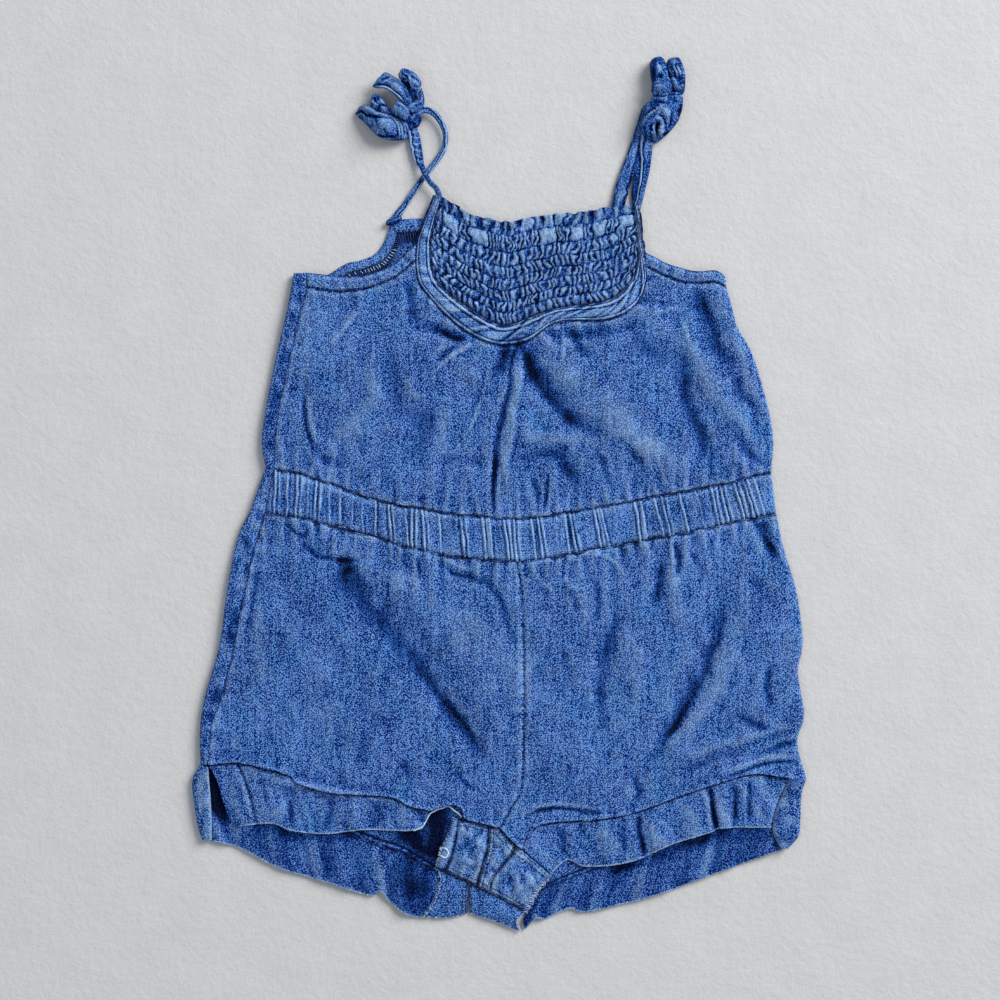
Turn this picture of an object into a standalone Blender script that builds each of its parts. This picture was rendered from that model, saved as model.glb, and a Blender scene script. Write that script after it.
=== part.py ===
"""A baby romper in blue chambray, laid flat on its back, front side up.

Every piece of cloth is a closed wall. The back lies on the surface at z = 0, the front lies
on the back, and the two meet along the sides. Tables are in millimetres and MM turns them to
metres. X runs from the garment's right side (seen on the left) to its left side, Y from the
hem to the shoulder ties, Z up from the surface it lies on.
"""
import math
import random

import bmesh
import bpy
import numpy as np

MM = 0.001
WALL = 1.2          # thickness of a wall of cloth
HALF_GAP = 0.18     # what each piece keeps clear of a seam
REST_LEVEL = 4.4    # height of the front's upper face where nothing folds
CEILING = 4.8       # highest the inside of the front layer reaches
SIDE_FOOT = 1.5     # where the front's side ends, just above the back layer
ROLL_REACH = 3.0    # how far in from a side the rounding starts
ROLL_START = 0.975  # where a front panel's own columns end and the rounding takes over

CHAMBRAY = (0.045, 0.125, 0.36)
CHAMBRAY_INSIDE = (0.032, 0.085, 0.24)
CHAMBRAY_WORN = (0.085, 0.17, 0.4)

# Wide rises of the front layer. Columns: x, y, reach, rise.
PUFFS = [
    (-70, 55, 45, 0.7),
    (70, 45, 50, 0.8),
    (-80, -95, 50, 0.8),
    (85, -95, 55, 0.8),
    (20, -100, 40, 0.5),
]

# Largest folds of the front layer. Columns: route across the cloth, width, rise.
FOLDS = [
    ([(14, 75), (9, 60), (5, 44), (2, 25), (0, 7), (4, -11)], 6, 1.3),
    ([(3, 70), (-3, 50), (-7, 25), (-9, 5)], 6, -0.8),
    ([(16, 70), (24, 55), (32, 41)], 8, -1.1),
    ([(-15, 79), (-38, 60)], 6, 0.9),
    ([(-56, 75), (-56, 46)], 7, -0.9),
    ([(-63, 90), (-91, 72)], 8, 0.8),
    ([(-103, 54), (-100, 22)], 6, -0.8),
    ([(104, 97), (108, 86), (114, 66)], 8, -1.2),
    ([(100, 35), (114, 17)], 7, -0.8),
    ([(62, 87), (90, 96)], 6, 0.9),
    ([(-97, -31), (-69, -33), (-65, -61), (-46, -89), (-23, -117), (-7, -132)], 10, -1.3),
    ([(111, -61), (102, -89), (90, -113), (79, -143)], 9, -1.3),
    ([(63, -59), (49, -89)], 9, -0.9),
    ([(126, -127), (154, -119)], 7, 1.0),
    ([(-118, -60), (-128, -105)], 11, 0.8),
    ([(30, -60), (28, -120)], 12, 0.7),
]

# Seam lines and edges, each from left to right or from top to bottom. Columns: x, y.
BODICE_FOLD = [(-107.9, 114.1), (-111.5, 94.9), (-117.8, 67.9), (-123.0, 41.3), (-124.5, 25.7),
               (-122.5, 13.8)]
BODICE_SIDE_SEAM = [(-101.1, 106.8), (-104.5, 94.0), (-108.8, 75.7), (-115.2, 48.1),
                    (-117.8, 29.9), (-118.3, 12.7)]
BODICE_RIGHT = [(117.0, 106.5), (118.7, 101.2), (120.7, 93.2), (122.7, 86.1), (130.3, 72.5),
                (138.1, 46.5), (141.2, 27.8), (140.1, 10.5)]
ARM_LEFT_EDGE = [(-101.1, 114.4), (-82.0, 112.7), (-68.7, 113.6), (-55.5, 119.0),
                 (-50.7, 123.6), (-43.9, 130.2)]
ARM_LEFT_STITCH = [(-101.1, 106.8), (-87.3, 104.8), (-78.8, 105.0), (-68.7, 106.6),
                   (-55.5, 112.0), (-44.8, 120.4)]
ARM_RIGHT_EDGE = [(73.8, 125.5), (80.1, 122.3), (85.3, 119.5), (92.1, 117.3), (98.4, 115.6),
                  (104.0, 115.3), (111.2, 115.7), (116.4, 112.6)]
ARM_RIGHT_STITCH = [(74.9, 117.9), (80.1, 115.1), (88.1, 111.5), (94.1, 109.6), (102.4, 109.0),
                    (111.0, 109.4), (117.0, 106.5)]
YOKE_SIDE_LEFT = [(-34.7, 154.4), (-38.6, 144.5), (-41.8, 136.2), (-43.9, 130.2),
                  (-44.8, 120.4)]
YOKE_BOWL = [(-44.8, 120.4), (-43.6, 111.5), (-39.8, 104.4), (-24.3, 88.0), (-8.1, 78.5),
             (4.4, 77.0), (14.8, 79.6), (29.1, 88.7), (55.0, 90.1), (69.7, 97.5),
             (74.8, 109.0), (74.9, 117.9)]
YOKE_SIDE_RIGHT = [(74.9, 117.9), (73.8, 125.5), (72.8, 134.0), (70.9, 149.5)]
PANEL_SIDE_LEFT = [(-31.0, 153.9), (-34.6, 141.0), (-36.6, 130.5), (-35.9, 117.0)]
PANEL_BOWL = [(-35.9, 117.0), (-32.5, 109.0), (-22.6, 100.1), (-4.5, 88.8), (4.2, 87.5),
              (16.2, 91.8), (29.1, 96.1), (55.0, 100.1), (66.4, 109.5), (69.9, 117.0)]
PANEL_SIDE_RIGHT = [(69.9, 117.0), (70.6, 124.0), (69.8, 136.0), (68.6, 149.6)]
PANEL_TOP = [(-31.0, 153.9), (-24.7, 149.9), (-17.4, 145.5), (-4.4, 141.9), (6.7, 140.7),
             (17.6, 143.7), (35.1, 145.1), (55.6, 148.0), (68.6, 149.6)]
WAIST_TOP = [(-118.3, 12.7), (-106.9, 10.4), (-91.0, 5.5), (-63.4, -4.2), (-39.0, -8.9),
             (-10.3, -12.5), (9.6, -13.4), (36.1, -9.9), (69.9, -3.7), (107.2, 3.0),
             (140.1, 10.5)]
WAIST_BOTTOM_LEFT = [(-123.0, -9.6), (-106.9, -12.0), (-82.5, -17.8), (-50.7, -26.8),
                     (-31.6, -31.6), (-5.0, -34.6), (8.1, -34.9)]
WAIST_BOTTOM_RIGHT = [(8.1, -34.9), (20.4, -34.0), (56.4, -27.4), (95.9, -20.1),
                      (124.0, -14.2), (142.7, -10.5)]
SHORTS_FOLD = [(-130.3, -8.5), (-137.0, -23.1), (-142.2, -47.6), (-146.6, -78.8),
               (-154.2, -105.8), (-156.6, -123.0), (-156.4, -140.4)]
SHORTS_SIDE_SEAM = [(-123.0, -9.6), (-127.1, -24.2), (-131.8, -42.4), (-137.0, -68.4),
                    (-144.8, -103.2), (-151.3, -122.5), (-152.1, -140.7)]
SHORTS_RIGHT = [(142.7, -10.5), (146.9, -29.4), (153.1, -50.2), (156.5, -76.2),
                (154.2, -93.3), (157.3, -115.2), (153.7, -129.2), (158.3, -147.9)]
CENTRE_FRONT = [(8.1, -34.9), (10.7, -55.4), (11.7, -97.0), (10.7, -149.0), (5.5, -162.5),
                (-0.8, -173.3)]
CENTRE_BACK = [(8.1, -34.9), (8.0, -100.0), (2.0, -170.0), (-2.3, -208.0)]
HEM_LEFT = [(-152.1, -140.7), (-136.5, -139.6), (-122.6, -142.5), (-110.0, -146.1),
            (-104.3, -150.6), (-87.6, -155.2), (-58.1, -157.2), (-48.1, -162.0),
            (-37.2, -164.6)]
CROTCH_LEFT = [(-37.2, -164.6), (-28.3, -161.7), (-20.9, -162.8), (-18.6, -168.6),
               (-7.3, -171.6), (-0.8, -173.3)]
CROTCH_RIGHT = [(-0.8, -173.3), (6.6, -181.1), (10.7, -184.3)]
HEM_RIGHT = [(10.7, -184.3), (14.8, -175.5), (21.6, -171.3), (38.7, -169.6), (53.3, -168.5),
             (69.9, -165.1), (90.2, -157.8), (108.4, -151.4), (129.7, -145.4),
             (146.0, -147.0), (158.3, -147.9)]
CUFF_LEFT_START = [(-152.1, -140.7), (-147.4, -149.5), (-144.0, -161.5), (-140.1, -169.8),
                   (-136.0, -172.9)]
CUFF_LEFT_FACING = [(-136.5, -139.6), (-133.7, -145.9), (-130.4, -156.6), (-127.1, -171.7)]
CUFF_LEFT_EDGE = [(-127.1, -171.7), (-117.8, -171.5), (-108.4, -175.1), (-90.7, -176.7),
                  (-71.7, -174.6), (-45.0, -174.8), (-38.5, -169.2)]
CUFF_RIGHT_EDGE = [(25.7, -197.3), (34.1, -190.3), (42.4, -193.4), (55.7, -193.2),
                   (69.9, -190.3), (87.9, -182.4), (108.2, -176.0), (115.3, -173.6),
                   (140.8, -173.4)]
CUFF_RIGHT_SEAM = [(150.0, -147.4), (146.4, -155.0), (142.7, -164.0), (140.8, -173.4)]
CUFF_RIGHT_WRAP_SEAM = [(150.0, -147.4), (142.7, -164.0), (141.0, -174.5), (143.0, -180.0),
                        (146.0, -184.3)]
CUFF_RIGHT_FOLD = [(158.3, -147.9), (155.9, -156.0), (155.2, -168.7), (154.2, -177.5),
                   (149.0, -183.7)]
CUFF_LEFT_FOLD = [(-156.4, -140.4), (-160.4, -148.5), (-159.9, -158.5), (-157.8, -172.4),
                  (-155.4, -179.5)]
CUFF_LEFT_ROLL = [(-152.9, -142.0), (-151.8, -152.0), (-151.1, -163.0), (-150.8, -173.0),
                  (-151.0, -179.9)]
BACK_HEM_LEFT = [(-156.4, -140.4), (-125.6, -152.0), (-89.2, -168.7), (-65.8, -178.6),
                 (-50.7, -183.8), (-33.7, -194.0)]
BACK_HEM_RIGHT = [(19.0, -205.0), (40.0, -196.0), (80.0, -182.0), (120.0, -167.0),
                  (154.5, -150.5)]
BACK_EDGE_LEFT = [(-155.4, -179.5), (-137.0, -183.8), (-116.2, -194.2), (-91.6, -201.8),
                  (-68.6, -208.8), (-63.6, -206.4), (-57.5, -212.8), (-49.1, -218.9),
                  (-41.6, -220.2)]
BACK_CUFF_RIGHT_START = [(19.0, -205.0), (14.2, -212.0), (12.7, -218.0), (11.0, -222.3),
                         (12.4, -226.4)]
BACK_EDGE_RIGHT = [(12.4, -226.4), (18.0, -220.6), (22.5, -221.2), (30.4, -217.4),
                   (36.7, -215.6), (45.0, -217.2), (78.3, -209.3), (114.1, -196.3),
                   (149.0, -183.7)]
BACK_ARM_LEFT = [(-107.9, 114.1), (-98.0, 111.9), (-90.7, 113.4), (-81.1, 119.3),
                 (-73.2, 121.2), (-65.8, 124.4), (-61.0, 130.5), (-58.8, 136.5),
                 (-57.5, 141.9)]
BACK_ARM_LEFT_STITCH = [(-108.9, 109.0), (-97.5, 106.9), (-88.5, 108.4), (-79.3, 114.0),
                        (-71.5, 116.0), (-62.3, 120.0), (-56.9, 126.3), (-54.0, 134.9)]
BACK_NECK = [(-57.5, 141.9), (-45.3, 142.9), (-37.4, 142.0), (-0.8, 135.5), (40.8, 137.6),
             (68.5, 144.6)]
BACK_NECK_STITCH = [(-54.0, 134.9), (-45.0, 135.9), (-37.0, 135.0), (-0.8, 128.5),
                    (40.8, 130.6), (65.5, 137.6)]
BACK_ARM_RIGHT = [(68.5, 144.6), (70.0, 134.0), (74.0, 123.5), (84.0, 117.5), (98.0, 113.6),
                  (109.0, 113.4), (115.2, 111.6)]
BACK_ARM_RIGHT_STITCH = [(65.5, 137.6), (66.0, 130.0), (70.0, 119.5), (81.5, 112.5),
                         (97.0, 108.6), (108.0, 108.4), (116.2, 106.0)]
GUSSET_TOP_LEFT = [(-22.6, -169.6), (-15.8, -169.6), (-6.6, -172.6)]
GUSSET_TOP_MIDDLE = [(-6.6, -172.6), (-0.8, -173.8), (7.4, -182.6)]
GUSSET_TOP_RIGHT = [(7.4, -182.6), (16.6, -189.6), (26.0, -197.9)]
GUSSET_SEAM_LEFT = [(-6.6, -172.6), (-7.3, -184.0), (-10.3, -194.0), (-13.0, -204.1)]
GUSSET_SEAM_RIGHT = [(7.4, -182.6), (5.6, -187.0), (-0.4, -194.0), (-4.8, -200.5),
                     (-6.4, -207.4)]
GUSSET_STRIP_LINE = [(-22.6, -169.6), (-23.8, -179.0), (-26.2, -189.0), (-29.7, -195.8)]
GUSSET_LEFT_EDGE = [(-25.6, -167.6), (-27.2, -174.1), (-31.2, -184.0), (-34.2, -193.5)]
GUSSET_RIGHT_EDGE = [(26.0, -197.9), (19.0, -206.4), (13.1, -218.0)]
GUSSET_FOOT_EDGE = [(-34.2, -193.5), (-29.7, -195.8)]
GUSSET_FOOT_LEFT = [(-29.7, -195.8), (-22.0, -199.8), (-13.0, -204.1)]
GUSSET_FOOT_MIDDLE = [(-13.0, -204.1), (-6.4, -207.4)]
GUSSET_FOOT_RIGHT = [(-6.4, -207.4), (5.1, -213.4), (13.1, -218.0)]
CUFF_END_A_TOP = [(-33.6, -194.4), (-26.0, -198.4), (-17.3, -202.6)]
CUFF_END_A_LEFT = [(-33.6, -194.4), (-31.8, -200.0), (-33.2, -207.9), (-37.7, -216.4),
                   (-40.8, -220.0)]
CUFF_END_A_FOOT = [(-40.8, -220.0), (-28.0, -220.4), (-17.8, -218.2)]
CUFF_END_A_RIGHT = [(-17.3, -202.6), (-17.6, -210.0), (-17.8, -218.2)]
CUFF_END_B_TOP = [(-16.7, -202.9), (-2.3, -209.9), (5.1, -213.8), (11.6, -217.8)]
CUFF_END_B_FOOT = [(-16.6, -218.1), (-2.3, -222.6), (9.6, -227.6)]
CUFF_END_B_RIGHT = [(11.6, -217.8), (8.0, -222.0), (9.6, -227.6)]

# Section of a side where the front layer turns down. Columns: how far in and how high the
# outer face is, then the same for the inner face. Heights are shares of the side's height.
FRONT_ROLL = [
    (ROLL_REACH, 1.00, ROLL_REACH, 1.00),
    (0.8, 0.88, 1.9, 0.92),
    (0.0, 0.45, WALL, 0.45),
    (0.0, 0.00, WALL, 0.00),
]

# Section of a side where the back layer wraps round to the front, from the underside up.
BACK_WRAP = [
    (2.6, 0.00, 3.0, 0.00),
    (0.6, 0.06, 1.6, 0.10),
    (0.0, 0.50, WALL, 0.50),
    (0.7, 0.93, 1.7, 0.92),
    (ROLL_REACH, 1.00, ROLL_REACH, 1.00),
]

# Pleats pressed into the right front hem band. Columns: share of its length, width, depth.
CUFF_PLEATS = [(0.10, 0.03, 0.8), (0.42, 0.035, 1.0), (0.74, 0.03, 1.3), (0.87, 0.05, 0.7)]

# Shoulder ties. Columns: x, y, height of the middle, width, twist in degrees.
STRAP_THICKNESS = 1.4
STRAP_LEFT_FRONT = [
    (-33.4, 155.2, 3.2, 5.0, 0),
    (-36.2, 160.2, 3.9, 4.0, 30),
    (-39.6, 165.4, 4.1, 3.6, 40),
    (-42.3, 169.5, 2.9, 4.6, 20),
    (-44.5, 176.0, 1.7, 5.6, 0),
    (-46.2, 183.0, 2.0, 5.6, 0),
    (-47.0, 188.3, 3.0, 5.0, 0),
    (-48.0, 193.1, 3.8, 4.2, 0),
]
STRAP_LEFT_BACK = [
    (-54.1, 143.6, 1.1, 4.4, 0),
    (-50.6, 149.8, 1.1, 4.0, 0),
    (-45.8, 156.4, 1.1, 3.6, 0),
    (-42.2, 162.2, 0.95, 3.4, 0),
    (-39.2, 166.4, 0.95, 3.4, 0),
    (-35.6, 170.6, 1.2, 3.6, 10),
    (-31.5, 176.0, 1.7, 3.6, 20),
    (-29.2, 182.0, 2.2, 3.6, 30),
    (-29.6, 188.6, 2.6, 3.6, 30),
    (-32.6, 194.6, 3.0, 3.8, 30),
    (-37.0, 198.2, 3.2, 4.0, 20),
    (-41.6, 198.8, 3.2, 4.0, 0),
    (-45.8, 198.2, 3.2, 4.0, 0),
]
STRAP_RIGHT_FRONT = [
    (59.4, 146.4, 1.9, 8.0, 0),
    (60.8, 151.3, 1.7, 8.0, 0),
    (64.3, 162.2, 1.6, 7.0, 0),
    (67.9, 174.0, 1.6, 6.2, 0),
    (70.2, 184.0, 1.8, 5.6, 0),
    (72.2, 192.0, 2.4, 3.6, 10),
    (74.2, 199.0, 3.0, 2.8, 20),
    (76.4, 204.6, 3.8, 2.4, 20),
]
STRAP_RIGHT_BACK = [
    (69.3, 145.2, 1.1, 4.4, 0),
    (73.2, 157.5, 1.3, 4.8, 0),
    (74.7, 166.4, 1.4, 5.0, 0),
    (76.0, 175.0, 1.6, 4.4, 0),
    (77.2, 181.2, 2.0, 3.8, 0),
    (78.2, 185.2, 2.6, 3.6, 0),
]

# Loops and tails of the two bows. Columns: x, y, height of the middle, width, then the
# compass angle and the slope of the width, in degrees.
BOW_THICKNESS = 1.6
BOW_LEFT_LOOP_LOWER = [
    (-51.5, 189.0, 1.6, 8.0, 80, 0),
    (-60.0, 189.4, 1.6, 10.0, 85, 0),
    (-69.0, 193.0, 2.0, 9.5, 70, 0),
    (-74.4, 197.4, 5.2, 7.0, 60, 0),
    (-69.5, 195.6, 9.0, 8.5, 70, 0),
    (-61.0, 192.2, 10.6, 10.0, 80, 0),
    (-55.0, 190.3, 10.2, 9.5, 82, 0),
]
BOW_LEFT_LOOP_UPPER = [
    (-47.1, 201.8, 4.4, 6.0, 60, 70),
    (-42.6, 205.4, 4.4, 6.2, 20, 70),
    (-40.8, 209.6, 4.4, 6.4, -10, 70),
    (-42.0, 214.6, 4.6, 6.6, 30, 70),
    (-46.8, 217.8, 4.6, 6.6, 100, 70),
    (-50.8, 215.6, 4.6, 6.4, 150, 70),
    (-50.0, 211.2, 4.6, 5.6, 200, 70),
]
BOW_LEFT_TAIL_UPPER = [
    (-51.1, 204.9, 8.6, 6.4, 45, 20),
    (-55.2, 208.8, 9.8, 7.0, 52, 20),
    (-59.6, 212.0, 9.4, 7.2, 60, 20),
    (-64.6, 213.6, 7.4, 7.4, 72, 20),
]
BOW_LEFT_TAIL_SMALL = [
    (-56.8, 199.5, 6.0, 4.4, 60, 0),
    (-61.2, 200.6, 5.6, 4.8, 50, 10),
    (-64.2, 203.0, 4.6, 5.2, 30, 20),
    (-66.2, 206.4, 4.0, 4.6, 10, 30),
]
BOW_RIGHT_EAR_LEFT = [
    (83.2, 215.2, 1.8, 6.4, 0, 0),
    (82.2, 221.0, 1.6, 7.0, 0, 0),
    (81.8, 226.2, 4.6, 5.4, 0, 0),
    (82.2, 221.2, 7.8, 7.0, 0, 0),
    (83.2, 215.6, 8.4, 7.0, 0, 0),
]
BOW_RIGHT_EAR_RIGHT = [
    (91.9, 212.0, 1.8, 5.2, 10, 0),
    (91.9, 219.0, 1.6, 6.6, 5, 0),
    (91.0, 225.6, 4.6, 5.2, 0, 0),
    (91.4, 219.0, 7.8, 6.4, 5, 0),
    (92.0, 212.4, 8.4, 5.2, 10, 0),
]
BOW_RIGHT_LOOP_LOWER = [
    (84.9, 206.7, 2.4, 13.0, 3, 0),
    (84.6, 200.4, 1.7, 16.0, 10, 0),
    (82.9, 193.6, 1.7, 14.6, 15, 0),
    (81.6, 188.2, 2.4, 9.6, 12, 0),
    (81.3, 185.8, 5.0, 8.0, 10, 0),
    (81.6, 188.4, 7.6, 9.6, 12, 0),
    (82.9, 193.6, 8.3, 14.6, 15, 0),
    (84.6, 200.2, 8.5, 16.0, 10, 0),
    (84.9, 206.5, 8.0, 13.0, 3, 0),
]

# Shirred panel: the rows of elastic as shares of its depth, and how far its cloth stands up.
SHIRRING = [0.0, 0.17, 0.34, 0.47, 0.60, 0.72, 0.83, 0.92, 1.0]
SMOCK_COLUMNS = 42
SMOCK_LEVEL = 4.6
SMOCK_UNDERSIDE = 2.9
SMOCK_RISE = 1.5
SMOCK_DIP = -0.35
FRILL_RISE = 1.0
WAIST_GATHERS = 40

# How far the middles of the bands stand up.
BAND_CROWN = 0.5
YOKE_BAND_CROWN = 0.6

# Where a piece is cut across, as shares of its length.
SHORTS_ROWS = [0, 0.07, 0.16, 0.26, 0.37, 0.48, 0.59, 0.7, 0.81, 0.91, 1]
HEM_RIGHT_STATIONS = [0, 0.03, 0.065, 0.105, 0.16, 0.24, 0.32, 0.41, 0.5, 0.59, 0.68, 0.77,
                      0.86, 0.93, ROLL_START]

# Knots. Columns: x, y, height of the middle, half widths along x, y and z, turn in degrees.
KNOT_LEFT = (-51.3, 198.2, 5.6, 5.0, 4.9, 5.0, 35)
KNOT_RIGHT = (83.6, 211.0, 5.6, 5.7, 3.9, 5.0, 0)


def smooth_curve(points, steps=12):
    """A curve through the points, travelled at an even speed from 0 to 1."""
    rows = [np.array(point, dtype=float) for point in points]
    rows = [2 * rows[0] - rows[1]] + rows + [2 * rows[-1] - rows[-2]]
    trail = []
    for before, start, end, after in zip(rows, rows[1:], rows[2:], rows[3:]):
        for step in range(steps):
            u = step / steps
            bend = (2 * before - 5 * start + 4 * end - after) * u * u
            twist = (3 * start - before - 3 * end + after) * u ** 3
            trail.append(0.5 * (2 * start + (end - before) * u + bend + twist))
    trail.append(rows[-2])
    trail = np.array(trail)
    place = min(3, trail.shape[1])
    spans = np.linalg.norm(np.diff(trail[:, :place], axis=0), axis=1)
    travelled = np.concatenate([[0.0], np.cumsum(spans)])
    travelled /= travelled[-1]

    def at(u):
        return np.array([np.interp(u, travelled, column) for column in trail.T])

    return at


def joined(*parts):
    """One curve from (curve, share) parts, laid end to end."""

    def at(u):
        start = 0.0
        for curve, share in parts:
            if u <= start + share or curve is parts[-1][0]:
                return curve(min(1.0, max(0.0, (u - start) / share)))
            start += share

    return at


def part_of(curve, start, end):
    return lambda u: curve(start + (end - start) * u)


def reverse(curve):
    return lambda u: curve(1.0 - u)


def straight(start, end):
    first, last = np.array(start, dtype=float), np.array(end, dtype=float)
    return lambda u: first + (last - first) * u


def patch(top, foot, left, right):
    """A four-sided stretch of cloth: s runs from left to right, t from top to foot."""
    corners = (top(0.0), top(1.0), foot(0.0), foot(1.0))

    def at(s, t):
        level = (1 - t) * top(s) + t * foot(s)
        upright = (1 - s) * left(t) + s * right(t)
        plain = (1 - t) * ((1 - s) * corners[0] + s * corners[1])
        plain = plain + t * ((1 - s) * corners[2] + s * corners[3])
        return level + upright - plain

    return at


def steps_between(start, end, count):
    return [start + (end - start) * step / count for step in range(count + 1)]


def distance_to_route(spot, route):
    nearest = 1e9
    for start, end in zip(route, route[1:]):
        start, end = np.array(start, dtype=float), np.array(end, dtype=float)
        along = end - start
        share = np.clip(np.dot(spot - start, along) / np.dot(along, along), 0.0, 1.0)
        nearest = min(nearest, np.linalg.norm(spot - start - along * share))
    return nearest


def height(spot):
    """Height of the front layer's upper face over a point of the surface."""
    level = REST_LEVEL
    for x, y, reach, rise in PUFFS:
        away = math.hypot(spot[0] - x, spot[1] - y) / reach
        level += rise * math.exp(-away * away)
    for route, width, rise in FOLDS:
        away = distance_to_route(spot, route) / width
        level += rise * math.exp(-away * away)
    return level


def cloth_material(name, colour):
    material = bpy.data.materials.new(name)
    material.use_nodes = True
    shader = material.node_tree.nodes["Principled BSDF"]
    shader.inputs["Base Color"].default_value = (*colour, 1.0)
    shader.inputs["Roughness"].default_value = 0.9
    shader.inputs["Metallic"].default_value = 0.0
    material.diffuse_color = (*colour, 1.0)
    return material


def add_object(name, mesh_builder, colour):
    bmesh.ops.recalc_face_normals(mesh_builder, faces=mesh_builder.faces)
    if mesh_builder.calc_volume(signed=True) < 0:
        bmesh.ops.reverse_faces(mesh_builder, faces=mesh_builder.faces)
    mesh = bpy.data.meshes.new(name)
    mesh_builder.to_mesh(mesh)
    mesh_builder.free()
    mesh.shade_smooth()
    mesh.set_sharp_from_angle(angle=math.radians(50))
    mesh.materials.append(cloth_material(name + "_cloth", colour))
    piece = bpy.data.objects.new(name, mesh)
    bpy.context.collection.objects.link(piece)
    return piece


def lay_grid(builder, rows, columns):
    """A flat grid of faces, with the row and column of each of its vertices."""
    bmesh.ops.create_grid(builder, x_segments=columns - 1, y_segments=rows - 1, size=0.5)
    return set(builder.verts)


def grid_place(vertex, rows, columns):
    row = round((vertex.co.y + 0.5) * (rows - 1))
    column = round((vertex.co.x + 0.5) * (columns - 1))
    return row, column


def wall(name, outer, inner, colour):
    """A wall of cloth between two grids of points."""
    rows, columns = len(outer), len(outer[0])
    builder = bmesh.new()
    outside = lay_grid(builder, rows, columns)
    bmesh.ops.extrude_face_region(builder, geom=builder.faces[:])
    for vertex in builder.verts:
        row, column = grid_place(vertex, rows, columns)
        points = outer if vertex in outside else inner
        vertex.co = points[row][column] * MM
    return add_object(name, builder, colour)


def slab(name, outer, underside, colour):
    """Gathered cloth: raised upper points over one plain underside."""
    rows, columns = len(outer), len(outer[0])
    builder = bmesh.new()
    upper = lay_grid(builder, rows, columns)
    rim = [edge for edge in builder.edges if edge.is_boundary]
    bmesh.ops.extrude_edge_only(builder, edges=rim)
    lower_edges = []
    for vertex in builder.verts:
        row, column = grid_place(vertex, rows, columns)
        point = np.array(outer[row][column])
        if vertex not in upper:
            point[2] = underside
        vertex.co = point * MM
    for edge in builder.edges:
        if not any(vertex in upper for vertex in edge.verts):
            lower_edges.append(edge)
    bmesh.ops.holes_fill(builder, edges=lower_edges, sides=0)
    return add_object(name, builder, colour)


def at_height(spot, level):
    return np.array([spot[0], spot[1], level])


def seam_shift(before, after, inward, gap):
    """How far a seam's point moves in, square to the seam."""
    along = after - before
    square = np.array([-along[1], along[0]])
    square = square / max(np.linalg.norm(square), 1e-6)
    if np.dot(square, inward) < 0:
        square = -square
    return square * gap


def clear_seams(outer, inner, last_column, sides, gap):
    """Draw the edges of a piece back from its seams. sides names t(op), f(oot), l(eft), r(ight)."""
    flat = [[point[:2] for point in row] for row in outer]
    moves = {}
    last_row = len(outer) - 1
    for row, beyond, side in ((0, 1, "t"), (last_row, last_row - 1, "f")):
        if side not in sides:
            continue
        for column in range(len(outer[0])):
            middle = min(column, last_column)
            before = flat[row][max(middle - 1, 0)]
            after = flat[row][min(middle + 1, last_column)]
            inward = flat[beyond][middle] - flat[row][middle]
            moves[row, column] = seam_shift(before, after, inward, gap)
    for column, beyond, side in ((0, 1, "l"), (len(outer[0]) - 1, len(outer[0]) - 2, "r")):
        if side not in sides:
            continue
        for row in range(len(outer)):
            before = flat[max(row - 1, 0)][column]
            after = flat[min(row + 1, last_row)][column]
            inward = flat[row][beyond] - flat[row][column]
            shift = seam_shift(before, after, inward, gap)
            moves[row, column] = moves.get((row, column), np.zeros(2)) + shift
    for (row, column), shift in moves.items():
        for points in (outer, inner):
            if points is not None:
                points[row][column][:2] += shift


def front_piece(name, spread, across, along, sides, relief=None, lift=0.0, roll=False,
                wall_depth=WALL, gap=HALF_GAP, colour=CHAMBRAY):
    """A piece of the front layer. With roll, its right side turns down to the back layer."""
    outer, inner = [], []
    for t in along:
        outer_row, inner_row = [], []
        for s in across:
            spot = spread(s, t)
            level = height(spot) + lift
            raised = relief(s, t) if relief else 0.0
            outer_row.append(at_height(spot, level + raised))
            inner_row.append(at_height(spot, min(level - wall_depth, CEILING)))
        if roll:
            edge = spread(1.0, t)
            inward = spread(0.97, t) - edge
            inward = inward / np.linalg.norm(inward)
            level = height(edge + inward * ROLL_REACH) + lift
            ceiling = min(level - wall_depth, CEILING)
            for out_in, out_up, in_in, in_up in FRONT_ROLL:
                outer_level = SIDE_FOOT + (level - SIDE_FOOT) * out_up
                inner_level = SIDE_FOOT + (ceiling - SIDE_FOOT) * in_up
                outer_row.append(at_height(edge + inward * out_in, outer_level))
                inner_row.append(at_height(edge + inward * in_in, inner_level))
        outer.append(outer_row)
        inner.append(inner_row)
    clear_seams(outer, inner, len(across) - 1, sides, gap)
    return wall(name, outer, inner, colour)


def back_piece(name, spread, across, along, sides, relief=None, fold=None, seam=None,
               gap=HALF_GAP, colour=CHAMBRAY_INSIDE):
    """A piece of the back layer, flat underneath. With a fold line its side wraps round
    to the seam line on the front. across runs from the far side towards the fold."""
    outer, inner = [], []
    for t in along:
        outer_row, inner_row = [], []
        for s in across:
            spot = spread(s, t)
            raised = relief(s, t) if relief else 0.0
            outer_row.append(at_height(spot, 0.0))
            inner_row.append(at_height(spot, WALL + raised))
        if fold:
            edge, seam_spot = fold(t), seam(t)
            width = np.linalg.norm(seam_spot - edge)
            inward = (seam_spot - edge) / width
            level = height(seam_spot)
            for out_in, out_up, in_in, in_up in BACK_WRAP:
                reach = min(1.0, width / (ROLL_REACH + 1.0))
                inner_level = WALL + (level - 2 * WALL) * in_up
                outer_row.append(at_height(edge + inward * out_in * reach, level * out_up))
                inner_row.append(at_height(edge + inward * in_in * reach, inner_level))
            outer_row.append(at_height(seam_spot, level))
            inner_row.append(at_height(seam_spot, level - WALL))
        outer.append(outer_row)
        inner.append(inner_row)
    clear_seams(outer, inner, len(across) - 1, sides, gap)
    return wall(name, outer, inner, colour)


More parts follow.
